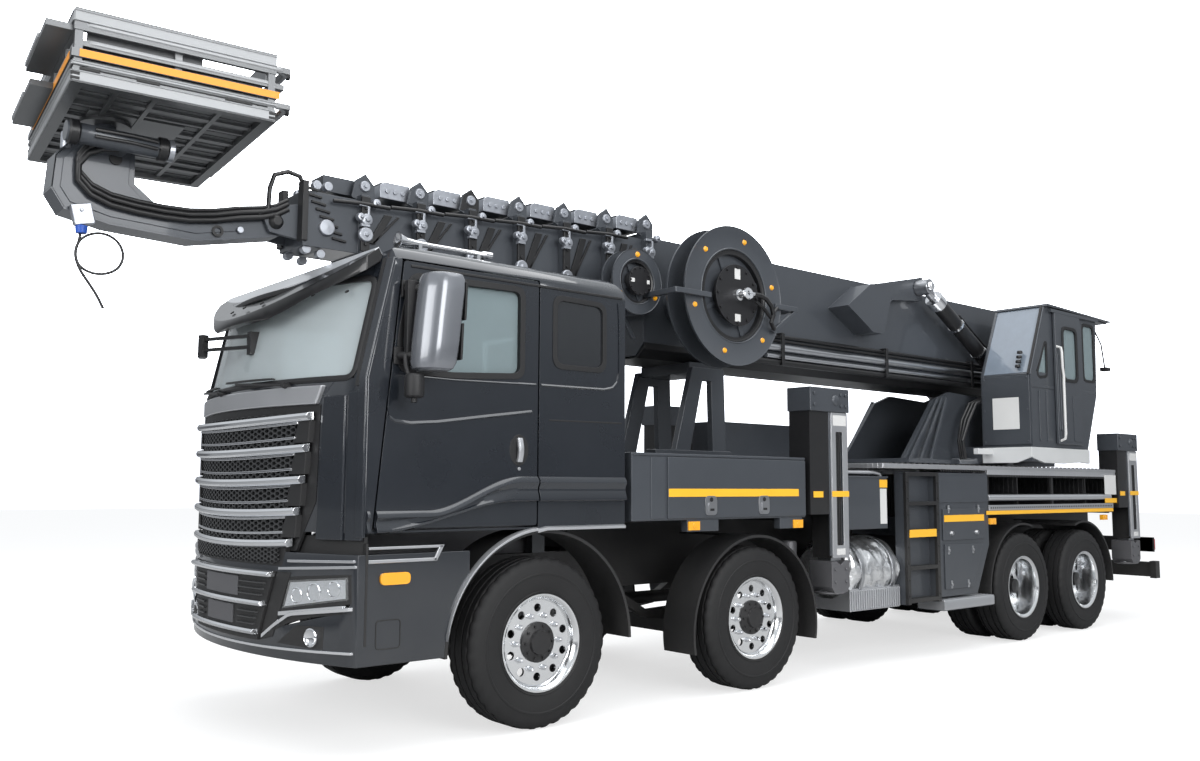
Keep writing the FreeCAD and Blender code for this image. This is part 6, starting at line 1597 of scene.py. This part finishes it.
def reel_parts(name, outer_y, radius, depth, dots, side):
    """Flanges, coil and hub of one reel, centred on its own node."""
    low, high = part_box(name)
    cx, cz = (low.x + high.x) / 2, (low.z + high.z) / 2
    place = facing((cx, side * outer_y, cz), (0, side, 0))
    steelwork = Work()
    inner = radius * 0.66
    for level in (0.0, -depth):
        steelwork.turned([(inner, level - 0.010), (inner, level), (radius * 0.98, level),
                          (radius, level + 0.006), (radius, level - 0.014), (radius * 0.97, level - 0.012)],
                          place, 96)
    steelwork.turned([(inner, 0.0), (inner + 0.008, 0.006), (inner + 0.016, 0.0)], place, 72)
    steelwork.turned(rectangle(0.0001, inner, -0.05, -0.058), place, 48, closed=False)
    for i in range(4):
        turn = place @ Matrix.Rotation(math.pi / 2 * i + 0.4, 4, "Z")
        steelwork.block(radius * 0.35, inner + 0.01, -0.018, 0.018, -0.048, -0.036, turn)
    steelwork.made(f"{name}_flanges", upper_paint, name, "barrel_paint", bevel=0.003, stands_for=(name,))
    coil = Work()
    for level in sweep(-0.022, -depth + 0.022, max(3, int(depth / 0.036))):
        coil.turned([(inner * 0.985 + 0.017 * math.cos(a), level + 0.017 * math.sin(a))
                     for a in sweep(0, 2 * math.pi, 9)[:-1]], place, 72)
    coil.turned([(inner * 0.96, -0.01), (inner * 0.96, -depth + 0.01), (inner * 0.90, -depth + 0.01),
                 (inner * 0.90, -0.01)], place, 48)
    coil.made(f"{name}_coil", hose_rubber, name, "black_plastic")
    plate = Work()
    hub_radius = radius * 0.44
    plate.turned([(0.0001, 0.030), (hub_radius, 0.030), (hub_radius, 0.018), (hub_radius * 0.93, 0.018),
                  (hub_radius * 0.80, -0.055), (0.0001, -0.055)], place, 60, closed=False)
    for i in range(12):
        a = 2 * math.pi * i / 12
        plate.disc(0.011 * radius / 0.55 + 0.003, 0.028, 0.040, place @ Matrix.Translation(
            (hub_radius * 0.90 * math.cos(a), hub_radius * 0.90 * math.sin(a), 0)), 6)
    plate.made(f"{name}_hub", black_hub, name, "barrel_paint", bevel=0.002)
    spots = Work()
    for i in range(dots):
        a = 2 * math.pi * (i + 0.25) / dots
        spot = place @ Matrix.Translation((radius * 0.83 * math.cos(a), radius * 0.83 * math.sin(a), 0))
        spots.turned([(0.0001, 0.012), (0.016, 0.010), (0.022, 0.0)], spot, 18, closed=False)
    spots.made(f"{name}_reflectors", amber, name, "clear_lens")
    labels = Work()
    for v0, v1 in ((0.62, 0.86), (-0.86, -0.52)):
        labels.block(-hub_radius * 0.13, hub_radius * 0.13, hub_radius * v0, hub_radius * v1, 0.0295, 0.0325,
                     place @ Matrix.Rotation(math.pi / 2 if radius < 0.3 else 0, 4, "Z"))
    labels.made(f"{name}_labels", white_label, name, "clear_lens")


reel_parts("hose_reel_left", 1.0, 0.55, 0.19, 6, 1)
reel_parts("hose_reel_right", 1.0, 0.55, 0.19, 6, -1)
reel_parts("cable_reel", 0.73, 0.25, 0.12, 3, 1)

yoke = Work()
for x0, x1 in ((-1.32, -1.70), (-2.44, -2.72)):
    yoke.block(FRONT_AXLE + x1, FRONT_AXLE + x0, 1.012, 1.042, 2.925, 2.965)
yoke.prism([(-2.72, 2.93), (-2.68, 2.93), (-2.40, 2.74), (-2.43, 2.72)], 1.014, 1.040, "Y", ALONG)
for x in (-1.34, -2.70):
    bar(yoke, x - 0.022, x + 0.022, BOOM_HALF - 0.01, 1.040, 2.922, 2.962)
yoke.prism([(-1.36, 2.93), (-1.32, 2.93), (-1.50, 2.66), (-1.54, 2.66)], 0.335, 0.365, "Y", ALONG)
yoke.both_sides().made("reel_yokes", upper_paint, "boom_base", "barrel_paint", bevel=0.004)
swivel = Work()
for side in (1, -1):
    centre = (FRONT_AXLE - 2.0, side * 1.028, 2.98)
    swivel.turned([(0.0001, 0.075), (0.022, 0.075), (0.026, 0.06), (0.03, 0.035), (0.045, 0.03),
                   (0.048, 0.0)],
                  facing(centre, (0, side, 0)), 24, closed=False)
    swivel.turned([(0.020, 0.012), (0.045, 0.012), (0.050, 0.0), (0.045, -0.012), (0.020, -0.012)],
                  facing((centre[0] - 0.03, side * 1.115, 2.985), (0, side, 0.2)), 28)
    swivel.disc(0.016, 0, 0.07, facing((centre[0] - 0.04, side * 1.112, 2.985), (-1, 0, 0.05)), 12)
swivel.made("reel_swivels", chrome, "boom_base", "steel_rod")
reel_hoses = Work()
for side in (1, -1):
    reel_hoses.pipe([(FRONT_AXLE - 2.10, side * 1.112, 2.988), (FRONT_AXLE - 2.18, side * 1.105, 2.99),
                     (FRONT_AXLE - 2.26, side * 1.095, 2.975), (FRONT_AXLE - 2.34, side * 1.08, 2.93),
                     (FRONT_AXLE - 2.38, side * 1.07, 2.86), (FRONT_AXLE - 2.36, side * 1.06, 2.80),
                     (FRONT_AXLE - 2.42, side * 1.04, 2.75)], 0.018, 10)
    reel_hoses.pipe([(FRONT_AXLE - 2.14, side * 1.09, 2.94), (FRONT_AXLE - 2.25, side * 1.08, 2.90),
                     (FRONT_AXLE - 2.35, side * 1.06, 2.84), (FRONT_AXLE - 2.46, side * 1.04, 2.93)], 0.014,
                     10)
reel_hoses.made("reel_hoses", hose_rubber, "boom_base", "black_plastic")


# ---------------------------------------------------------------- roof horn and lift cylinders
# A bright trumpet horn lies along the roof. The lift cylinders have bolted chrome glands and hard
# pipes, and chromed rods run up to the boom's wings.

horn = Work()
bell = [(0.055, 0.0), (0.040, 0.02), (0.028, 0.06), (0.020, 0.12), (0.016, 0.22), (0.014, 0.58),
        (0.022, 0.60), (0.022, 0.66), (0.0001, 0.665)]
horn.turned([(0.0001, 0.02), (0.03, 0.012), (0.05, 0.0), *bell],
            facing((FRONT_AXLE + 0.98, 1.02, 2.948), (-1, 0.03, 0)), 28, closed=False)
for x in (0.84, 0.42):
    bar(horn, x - 0.012, x + 0.012, 1.008, 1.05, 2.885, 2.945)
horn.made("roof_horn", chrome, "chassis", "bright_trim")

lift_pin = Vector((FRONT_AXLE - 7.75, 0, 2.25))
lift_run = (Vector((FRONT_AXLE - 5.47, 0, 3.56)) - lift_pin).normalized()
lift_out = Vector((-lift_run.z, 0, lift_run.x))
glands, hard_pipes = Work(), Work()
for side in (1, -1):
    start = lift_pin + Vector((0, side * 0.48, 0))
    glands.turned([(0.047, 0.0), (0.092, 0.0), (0.094, -0.01), (0.094, -0.11), (0.084, -0.12), (0.084, -0.13),
                   (0.047, -0.13)],
                  facing(start + lift_run * 2.44, lift_run), 40)
    hard_pipes.turned(rectangle(0.047, 0.080, 0.0, -0.20),
                      facing(start + lift_run * 2.40, lift_run), 40)
    for t in (0.35, 0.9, 1.45, 1.95):
        glands.turned(rectangle(0.0805, 0.088, -0.015, 0.015),
                      facing(start + lift_run * t, lift_run), 32)
    for across_y in (-0.035, 0.035):
        hard_pipes.pipe([start + lift_run * t + lift_out * 0.096 + Vector((0, across_y, 0))
                         for t in (0.16, 1.0, 2.0)],
                        0.011, 10)
    hard_pipes.block(start.x - 0.06, start.x + 0.06, start.y - 0.05, start.y + 0.05, start.z + 0.10,
                     start.z + 0.165)
glands.made("lift_glands", chrome, "lift_barrels", "steel_rod", crisp=30)
hard_pipes.made("lift_pipes", chassis_black, "lift_barrels", "barrel_paint")
ends = Work()
for side in (1, -1):
    eye = (FRONT_AXLE - 5.47, side * 0.555, 3.56)
    ends.turned([(0.0001, 0.03), (0.035, 0.03), (0.045, 0.02), (0.05, 0.0)], facing(eye, (0, side, 0)), 24,
                closed=False)
ends.made("lift_pin_ends", chrome, "lift_rods", "steel_rod")


# ---------------------------------------------------------------- operator's cab
# A pressed cab with rounded windows in black rubber, panel folds, a pale skirt below, a white
# grab rail on the sliding door, a blank data plate in front and a lamp with a bracket behind.

OP_SIDE = 1.175
OP_WINDOWS = ([(-6.42, 2.68), (-6.60, 3.02), (-6.64, 3.02), (-6.64, 2.66), (-6.47, 2.64)],
              rectangle(-7.465, -7.735, 2.67, 3.30))
OP_DOOR_WINDOW = rectangle(-7.235, -6.925, 2.64, 3.205)
op_rubbers = Work()
for outline in OP_WINDOWS:
    ringed(op_rubbers, outline, 0.016, 0.018, 0.06, OP_SIDE - 0.01, OP_SIDE + 0.002)
op_rubbers.pierced(
    [(-6.29, 2.664), (-6.625, 3.405), (-6.60, 3.415), (-6.26, 2.665)], [], -0.035, -0.010,
    SIDE @ Matrix.Translation((0, 0, OP_SIDE)))
op_rubbers.made("operator_window_rubbers", black_plastic, "turret", "black_plastic", bevel=0.004)
op_panes = Work()
for outline in OP_WINDOWS:
    op_panes.pierced(softened(offset(outline, 0.004), 0.05), [], OP_SIDE - 0.02, OP_SIDE - 0.014, SIDE)
op_panes.prism([(-6.315, 2.672), (-6.322, 2.676), (-6.645, 3.402), (-6.636, 3.405)], 0.66, 1.135, "Y", ALONG)
dark_glass = bpy.data.materials.new("dark_glass")
dark_glass.use_nodes = True
dark_pane = dark_glass.node_tree.nodes["Principled BSDF"]
dark_pane.inputs["Metallic"].default_value = 0.0
dark_pane.inputs["IOR"].default_value = 1.5
film_noise = wire(dark_glass.node_tree, "ShaderNodeTexNoise", {"Scale": 5.0, "Detail": 4.0})
film_rough = wire(dark_glass.node_tree, "ShaderNodeMapRange",
                  {"Value": film_noise.outputs[0], "To Min": 0.03, "To Max": 0.16})
dark_glass.node_tree.links.new(film_rough.outputs[0], dark_pane.inputs["Roughness"])
film_tint = wire(dark_glass.node_tree, "ShaderNodeMix", data_type="RGBA")
dark_glass.node_tree.links.new(film_noise.outputs[0], film_tint.inputs[0])
film_tint.inputs[6].default_value = (0.16, 0.19, 0.23, 1)
film_tint.inputs[7].default_value = (0.20, 0.24, 0.29, 1)
dark_glass.node_tree.links.new(film_tint.outputs[2], dark_pane.inputs["Base Color"])
op_panes.made("operator_panes", window_glass, "turret", "window_glass")
front_sheet = Work()
front_sheet.prism([(-6.282, 2.685), (-6.288, 2.682), (-6.624, 3.396), (-6.617, 3.400)], 0.635, 1.16, "Y",
                  ALONG)
front_sheet.made("operator_front_glass", dark_glass, "turret", "window_glass", bevel=0.002)

op_trim = Work()
for y in (0.630, 1.150):
    op_trim.prism([(-6.27, 2.66), (-6.285, 2.65), (-6.635, 3.425), (-6.618, 3.43)], y, y + 0.028, "Y", ALONG)
for u in (-6.60, -6.44):
    op_trim.pierced(rectangle(u - 0.012, u + 0.012, 1.98, 2.50), [], OP_SIDE - 0.005, OP_SIDE + 0.010, SIDE)
op_trim.pierced(rectangle(-6.30, -6.76, 2.53, 2.56), [], OP_SIDE - 0.005, OP_SIDE + 0.008, SIDE)
op_trim.pierced(rectangle(-7.35, -7.74, 2.53, 2.56), [], OP_SIDE - 0.005, OP_SIDE + 0.002, SIDE)
bar(op_trim, -6.29, -6.268, 0.635, 1.16, 1.94, 2.655)
for y in (0.66, 1.135):
    for z in (1.97, 2.30, 2.63):
        bolt(op_trim, -6.270, y, z, 0.012, (1, 0, 0))
op_trim.prism([(-6.60, 3.405), (-8.09, 3.375), (-8.09, 3.392), (-6.62, 3.432)], 0.61, 1.215, "Y", ALONG)
op_trim.made("operator_cab_trim", upper_paint, "turret", "upper_paint", bevel=0.004)
op_door_trim = Work()
for low_u, high_u in ((-7.31, -7.11), (-7.06, -6.80)):
    op_door_trim.pierced(softened(rectangle(low_u, high_u, 1.99, 2.48), 0.03), [],
                         1.205, 1.216, SIDE)
op_door_trim.made("operator_door_folds", upper_paint, "operator_door", "upper_paint", bevel=0.004)
door_ring = Work()
ringed(door_ring, OP_DOOR_WINDOW, 0.018, 0.016, 0.07, 1.20, 1.220)
door_ring.made("operator_door_rubber", black_plastic, "operator_door", "black_plastic", bevel=0.004)
door_pane = Work()
door_pane.pierced(softened(OP_DOOR_WINDOW, 0.06), [], 1.192, 1.198, SIDE)
door_pane.made("operator_door_pane", window_glass, "operator_door", "window_glass")
grab = Work()
grab.pipe([(FRONT_AXLE + u, y, z) for u, y, z in (
    (-6.815, 1.205, 1.99), (-6.815, 1.255, 2.01), (-6.815, 1.262, 2.06), (-6.815, 1.262, 2.60),
    (-6.82, 1.262, 2.68), (-6.80, 1.262, 2.76), (-6.795, 1.262, 2.92), (-6.795, 1.255, 2.97),
    (-6.795, 1.205, 2.99))], 0.014, 12)
grab.made("operator_grab_rail", white_label, "operator_door", "bright_trim")
pale = finish("pale_skirt", (0.62, 0.63, 0.63), 0.42, metal=0.1, film=0.2, coat=0.2, relief=0.05)
skirt = Work()
skirt.pierced([(-6.25, 1.912), (-6.26, 1.80), (-6.50, 1.752), (-6.95, 1.752), (-7.30, 1.77), (-7.505, 1.76),
               (-7.515, 1.912)], [], 1.150, 1.186, SIDE)
skirt.prism(rectangle(-5.95, -6.27, 1.90, 1.84), 0.70, 0.76, "Y", ALONG)
skirt.prism([(0.64, 1.912), (1.186, 1.912), (1.186, 1.81), (1.02, 1.752), (0.64, 1.752)], -6.262, -6.232, "X",
            ALONG)
skirt.made("operator_skirt", pale, "turret", "upper_paint", bevel=0.006)
plate = Work()
plate.block(FRONT_AXLE - 6.271, FRONT_AXLE - 6.262, 0.755, 1.045, 2.10, 2.43)
plate.made("operator_data_plate", white_label, "turret", "clear_lens", bevel=0.002)
extras = Work()
extras.pipe([(FRONT_AXLE - 7.79, 1.15, 3.30), (FRONT_AXLE - 7.95, 1.16, 3.12),
             (FRONT_AXLE - 8.02, 1.16, 2.86)], 0.009, 8)
bar(extras, -8.08, -7.98, 1.12, 1.20, 2.82, 2.86)
for z in (2.75, 2.80, 2.85, 2.90):
    extras.turned([(0.0001, 0.018), (0.022, 0.018), (0.028, 0.008), (0.028, -0.008), (0.022, -0.012)],
                  Matrix.Translation((FRONT_AXLE - 6.30 + (z - 2.75) * -0.35 + 0.02, 1.04, z)), 20,
                  closed=False)
extras.made("operator_cab_fittings", black_plastic, "turret", "black_plastic", bevel=0.002)
fan = Work()
for shift in (0.0, 0.055, 0.11):
    fan.prism([(-5.22 - shift * 3, 1.78), (-5.26 - shift * 3, 1.78), (-5.80 - shift, 2.42),
               (-5.77 - shift, 2.44)], 0.395 + shift * 0.3,
              0.415 + shift * 0.3, "Y", ALONG)
fan.both_sides().made("turret_ribs", upper_paint, "turret", "upper_paint", bevel=0.003)
turret_hoses = Work()
for k, y in enumerate((0.52, 0.56, 0.60)):
    turret_hoses.pipe([(FRONT_AXLE - 6.02 + 0.03 * k, y, 1.79), (FRONT_AXLE - 5.98 + 0.03 * k, y, 1.98),
                       (FRONT_AXLE - 6.05, y, 2.20), (FRONT_AXLE - 6.20, y, 2.38),
                       (FRONT_AXLE - 6.45, y, 2.46)], 0.018, 10)
turret_hoses.made("turret_hoses", hose_rubber, "turret", "black_plastic")


# ---------------------------------------------------------------- levelled arm
# A plate-built arm, edged all round, with two thick hoses from the boom's head to the slewing
# cylinder, a bored boss, a pin, and a grey switch box from which a spare control cable hangs.

arm = Work()
for side in (1, -1):
    lo, hi = sorted((side * 0.088, side * 0.097))
    arm.prism([(1.60, 3.075), (1.85, 3.02), (2.34, 3.04), (2.56, 3.09), (2.615, 3.17), (2.605, 3.34),
               (2.50, 3.455), (2.25, 3.455), (2.25, 3.25), (2.11, 3.12), (1.85, 3.105), (1.66, 3.145)], lo,
               hi, "Y", ALONG)
arm.made("arm_side_plates", upper_paint, "levelling_arm", "upper_paint", bevel=0.003)
arm_edge = Work()
edge_path = [(1.33, 3.088), (1.85, 2.979), (2.344, 2.999), (2.59, 3.050), (2.661, 3.158), (2.648, 3.352),
             (2.535, 3.487)]
arm_edge.swept([[(FRONT_AXLE + x, y, z + up) for y, up in ((-0.097, 0.006), (-0.097, -0.006), (0.097, -0.006),
                                                           (0.097, 0.006))] for x, z in edge_path])
arm_edge.made("arm_edge", upper_paint, "levelling_arm", "upper_paint", bevel=0.002)
arm_hoses = Work()
for k, (dz, dy) in enumerate(((0.0, 0.112), (-0.036, 0.116), (0.028, 0.112))):
    arm_hoses.pipe([(FRONT_AXLE + x, y + dy - 0.112, z + dz) for x, y, z in (
        (1.28, 0.115, 3.30), (1.36, 0.118, 3.25), (1.45, 0.120, 3.22), (1.60, 0.120, 3.19),
        (1.75, 0.120, 3.15), (1.90, 0.120, 3.125), (2.05, 0.120, 3.12), (2.20, 0.120, 3.125),
        (2.35, 0.120, 3.14), (2.46, 0.121, 3.18), (2.53, 0.123, 3.25), (2.535, 0.130, 3.34),
        (2.49, 0.145, 3.41), (2.42, 0.17, 3.445), (2.34, 0.20, 3.45))], 0.018 if k < 2 else 0.012, 12)
arm_hoses.pipe([(FRONT_AXLE + x, y, z) for x, y, z in (
    (1.18, 0.14, 3.42), (1.22, 0.15, 3.49), (1.30, 0.15, 3.505), (1.385, 0.14, 3.47), (1.41, 0.13, 3.38),
    (1.41, 0.118, 3.25), (1.47, 0.118, 3.20))], 0.016, 12)
for x in (2.12, 2.60):
    arm_hoses.turned([(0.060, -0.03), (0.070, -0.02), (0.070, 0.02), (0.060, 0.03)],
                     facing((FRONT_AXLE + x, 0.25, 3.45), (1, 0, 0)), 28)
for z in (3.43, 3.47):
    arm_hoses.pipe([(FRONT_AXLE + 2.16, 0.31, z), (FRONT_AXLE + 2.30, 0.318, z + 0.004),
                    (FRONT_AXLE + 2.50, 0.312, z)], 0.011, 10)
arm_hoses.made("arm_hoses", hose_rubber, "levelling_arm", "black_plastic")
boss = Work()
boss.turned([(0.020, -0.01), (0.034, -0.01), (0.036, 0.008), (0.020, 0.008)], outward(1.72, 0.098, 3.055), 24)
boss.disc(0.035, 0, 0.012, outward(2.33, 0.097, 3.385), 24)
boss.made("arm_bores", black_plastic, "levelling_arm", "black_plastic")
bright_pins = Work()
bright_pins.disc(0.020, 0, 0.016, outward(1.58, 0.097, 3.085), 20)
bright_pins.turned([(0.0001, 0.10), (0.03, 0.10), (0.034, 0.09), (0.034, 0.0)],
                   Matrix.Translation((FRONT_AXLE + 2.585, 0.06, 3.40)), 20, closed=False)
bright_pins.turned([(0.036, -0.03), (0.064, -0.03), (0.066, 0.0), (0.036, 0.0)],
                   facing((FRONT_AXLE + 2.06, 0.25, 3.45), (-1, 0, 0)), 24)
bright_pins.made("arm_pins", zinc, "levelling_arm", "steel_rod", bevel=0.002)
switch_box = Work()
switch_box.block(-0.055, 0.055, 0.098, 0.150, -0.06, 0.06, facing((FRONT_AXLE + 2.50, 0, 3.02), (0.25, 0, 1)))
switch_box.disc(0.012, 0.0, 0.012, outward(2.51, 0.150, 3.04), 6)
switch_box.made("arm_switch_box", zinc, "levelling_arm", "tread_plate", bevel=0.006)
plug = Work()
plug.disc(0.034, 0, 0.045, facing((FRONT_AXLE + 2.50, 0.125, 2.955), (0, 0, -1)), 20, 0.030)
plug_blue = finish("connector_blue", (0.02, 0.09, 0.45), 0.4, film=0.05, relief=0.05)
plug.made("arm_connector", plug_blue, "levelling_arm", "black_plastic", bevel=0.004)


lead_run = bpy.data.curves.new("control_lead", "CURVE")
lead_run.dimensions, lead_run.bevel_depth, lead_run.bevel_resolution = "3D", 0.008, 4
lead_line = lead_run.splines.new("NURBS")
LEAD_ROUTE = (
    (2.50, 0.105, 3.03), (2.50, 0.118, 2.97), (2.505, 0.125, 2.88), (2.53, 0.127, 2.79), (2.50, 0.130, 2.71),
    (2.40, 0.134, 2.68), (2.30, 0.138, 2.72), (2.265, 0.143, 2.81), (2.31, 0.149, 2.90), (2.41, 0.154, 2.93),
    (2.51, 0.158, 2.88), (2.54, 0.160, 2.79), (2.51, 0.160, 2.70), (2.45, 0.158, 2.62), (2.40, 0.155, 2.55),
    (2.37, 0.152, 2.49))
lead_line.points.add(len(LEAD_ROUTE) - 1)
for spot, (x, y, z) in zip(lead_line.points, LEAD_ROUTE):
    spot.co = (FRONT_AXLE + x, y, z, 1)
lead_line.order_u, lead_line.use_endpoint_u = 3, True
lead_run.materials.append(hose_rubber)
lead = bpy.data.objects.new("control_lead", lead_run)
bpy.context.scene.collection.objects.link(lead)
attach(lead, "levelling_arm")


# ---------------------------------------------------------------- work platform
# A folding aluminium deck under the arm's post: extruded frames with rounded tube ends, folded
# guard rails, orange tape, slatted underside and plug caps in the corner tubes.

SWING = Vector((FRONT_AXLE + 2.37, 0, 0))
YAW = Matrix.Translation(SWING) @ Matrix.Rotation(math.radians(-5), 4, "Z") @ Matrix.Translation(-SWING)
MID_X, MID_Y, LONG, WIDE, FLOOR = FRONT_AXLE + 2.12, -0.165, 0.535, 0.845, 3.595
REAR, FORE, RIGHT, LEFT = MID_X - LONG, MID_X + LONG, MID_Y - WIDE, MID_Y + WIDE
# Painted shade: the platform's frame and its floor beams are light alloy, darkened to mid grey to stand for
# the shade under the top rail and through the slots, partly also the dark grey inset.
alloy_grey_and_painted_shade = finish("alloy_grey_and_painted_shade", (0.15, 0.155, 0.16), 0.38, metal=0.75, film=0.0, cloud=0.2, relief=0.1,
                    grain=150.0)
coat_nodes(alloy_grey_and_painted_shade, "platform")
slats = Work()
for y in sweep(RIGHT + 0.09, LEFT - 0.09, 18):
    slats.block(REAR + 0.065, FORE - 0.065, y - 0.034, y + 0.034, FLOOR + 0.036, FLOOR + 0.050, YAW)
# Painted shade: the slatted underside and the inner decks are near black for the shade under and inside the
# platform, partly also its dark grey inset.
dark_alloy_and_painted_shade = finish("dark_alloy_and_painted_shade", (0.13, 0.135, 0.14), 0.5, metal=0.6, film=0.0, cloud=0.3, relief=0.2,
                    grain=120.0)
slats.made("platform_slats", dark_alloy_and_painted_shade, "platform", "tread_plate", bevel=0.003)
inner = Work()
for z in (3.775, 3.835):
    inner.block(REAR + 0.07, FORE - 0.06, RIGHT + 0.08, LEFT - 0.075, z, z + 0.018, YAW)
for y in (LEFT - 0.10, RIGHT + 0.09):
    inner.block(REAR + 0.08, FORE - 0.07, y, y + 0.012, FLOOR + 0.075, 3.86, YAW)
for y in (LEFT - 0.07, RIGHT + 0.06):
    inner.block(REAR + 0.40, FORE - 0.07, y, y + 0.010, 3.80, 3.90, YAW)
inner.made("platform_folded_decks", dark_alloy_and_painted_shade, "platform", "tread_plate", bevel=0.003)
rail_alloy = finish("rail_alloy", (0.36, 0.37, 0.38), 0.5, metal=0.4, film=0.0, cloud=0.25, relief=0.1,
                    grain=150.0)
beams = Work()
for x in (MID_X - 0.25, MID_X + 0.10, MID_X + 0.30):
    beams.block(x - 0.014, x + 0.014, RIGHT + 0.06, LEFT - 0.06, FLOOR + 0.016, FLOOR + 0.038, YAW)
for y in (MID_Y - 0.40, MID_Y + 0.02, MID_Y + 0.42):
    beams.block(REAR + 0.06, FORE - 0.06, y - 0.012, y + 0.012, FLOOR + 0.020, FLOOR + 0.038, YAW)
beams.made("platform_beams", alloy_grey_and_painted_shade, "platform", "tread_plate", bevel=0.003)
orange = finish("tape_orange", (0.90, 0.34, 0.02), 0.42, film=0.05, relief=0.3, grain=400.0)
TAPE_LOW, TAPE_HIGH = FLOOR + 0.137, FLOOR + 0.178
orange_tape = Work()
orange_tape.block(REAR - 0.02, FORE - 0.03, LEFT + 0.0075, LEFT + 0.0105, TAPE_LOW, TAPE_HIGH, YAW)
orange_tape.block(FORE + 0.0075, FORE + 0.0105, MID_Y - 0.60, LEFT - 0.06, TAPE_LOW, TAPE_HIGH, YAW)
orange_tape.block(REAR - 0.0105, REAR - 0.0075, MID_Y - 0.70, MID_Y + 0.70, TAPE_LOW, TAPE_HIGH, YAW)
orange_tape.made("platform_tape", orange, "platform", "clear_lens")


def round_rail(work, z, radius, grow, back):
    """A bent tube round the platform, its corners swept."""
    x0, x1 = REAR - grow - back, FORE + grow
    y0, y1 = RIGHT - grow, LEFT + grow
    loop = softened(rectangle(x1, x0, y1, y0), 0.09, 7)
    loop = loop[-1:] + loop
    work.pipe([YAW @ Vector((x, y, z)) for x, y in loop + loop[1:2]], radius, 10)


tubes = Work()
round_rail(tubes, FLOOR + 0.100, 0.017, -0.012, 0.085)
round_rail(tubes, FLOOR + 0.228, 0.017, -0.022, 0.060)
round_rail(tubes, 3.915, 0.019, -0.012, 0.085)
round_rail(tubes, 3.965, 0.017, -0.030, 0.020)
for y in (-0.35, 0.10, 0.52):
    for x in (REAR + 0.02, FORE - 0.02):
        tubes.pipe([YAW @ Vector((x, MID_Y + y, FLOOR + 0.09)), YAW @ Vector((x, MID_Y + y, 3.90))], 0.013, 8)
tubes.made("platform_tubes", rail_alloy, "platform", "tread_plate")
folded = Work()
for z0, z1 in ((3.925, 3.985), (FLOOR + 0.004, FLOOR + 0.062), (FLOOR + 0.092, FLOOR + 0.112)):
    for lip0, lip1, proud in ((z0, z1, 0.004), (z0, z0 + 0.006, 0.009), (z1 - 0.006, z1, 0.009)):
        folded.block(REAR, FORE, LEFT - 0.002, LEFT + proud, lip0, lip1, YAW)
        folded.block(FORE - 0.002, FORE + proud, RIGHT, LEFT, lip0, lip1, YAW)
        folded.block(REAR, FORE, RIGHT - proud, RIGHT + 0.002, lip0, lip1, YAW)
for y in (LEFT - 0.055, RIGHT + 0.035):
    for x in (REAR + 0.01, MID_X - 0.02, FORE - 0.05):
        folded.block(x, x + 0.04, y, y + 0.02, FLOOR + 0.05, 3.93, YAW)
for v, z in ((0.30, 3.90), (-0.25, 3.74)):
    folded.block(FORE + 0.10, FORE + 0.14, MID_Y + v - 0.25, MID_Y + v + 0.25, z, z + 0.030, YAW)
folded.made("platform_folds", rail_alloy, "platform", "tread_plate", bevel=0.003)
caps = Work()
for x in (REAR + 0.015, FORE - 0.015):
    for z in (FLOOR + 0.018, FLOOR + 0.045):
        caps.block(x - 0.022, x + 0.022, LEFT - 0.002, LEFT + 0.006, z - 0.009, z + 0.009, YAW)
for x0, x1 in ((0.10, 0.22), (0.40, 0.50), (-0.40, -0.25)):
    caps.block(MID_X + x0, MID_X + x1, LEFT - 0.004, LEFT + 0.0065, FLOOR + 0.068, FLOOR + 0.084, YAW)
for x, z in ((REAR - 0.085, FLOOR + 0.10), (REAR - 0.085, 3.915)):
    spot = YAW @ Vector((x - 0.002, LEFT - 0.09, z))
    caps.disc(0.020, 0, 0.02, facing(spot, (-1, 0.1, 0)), 14)
caps.made("platform_caps", black_plastic, "platform", "black_plastic", bevel=0.002)
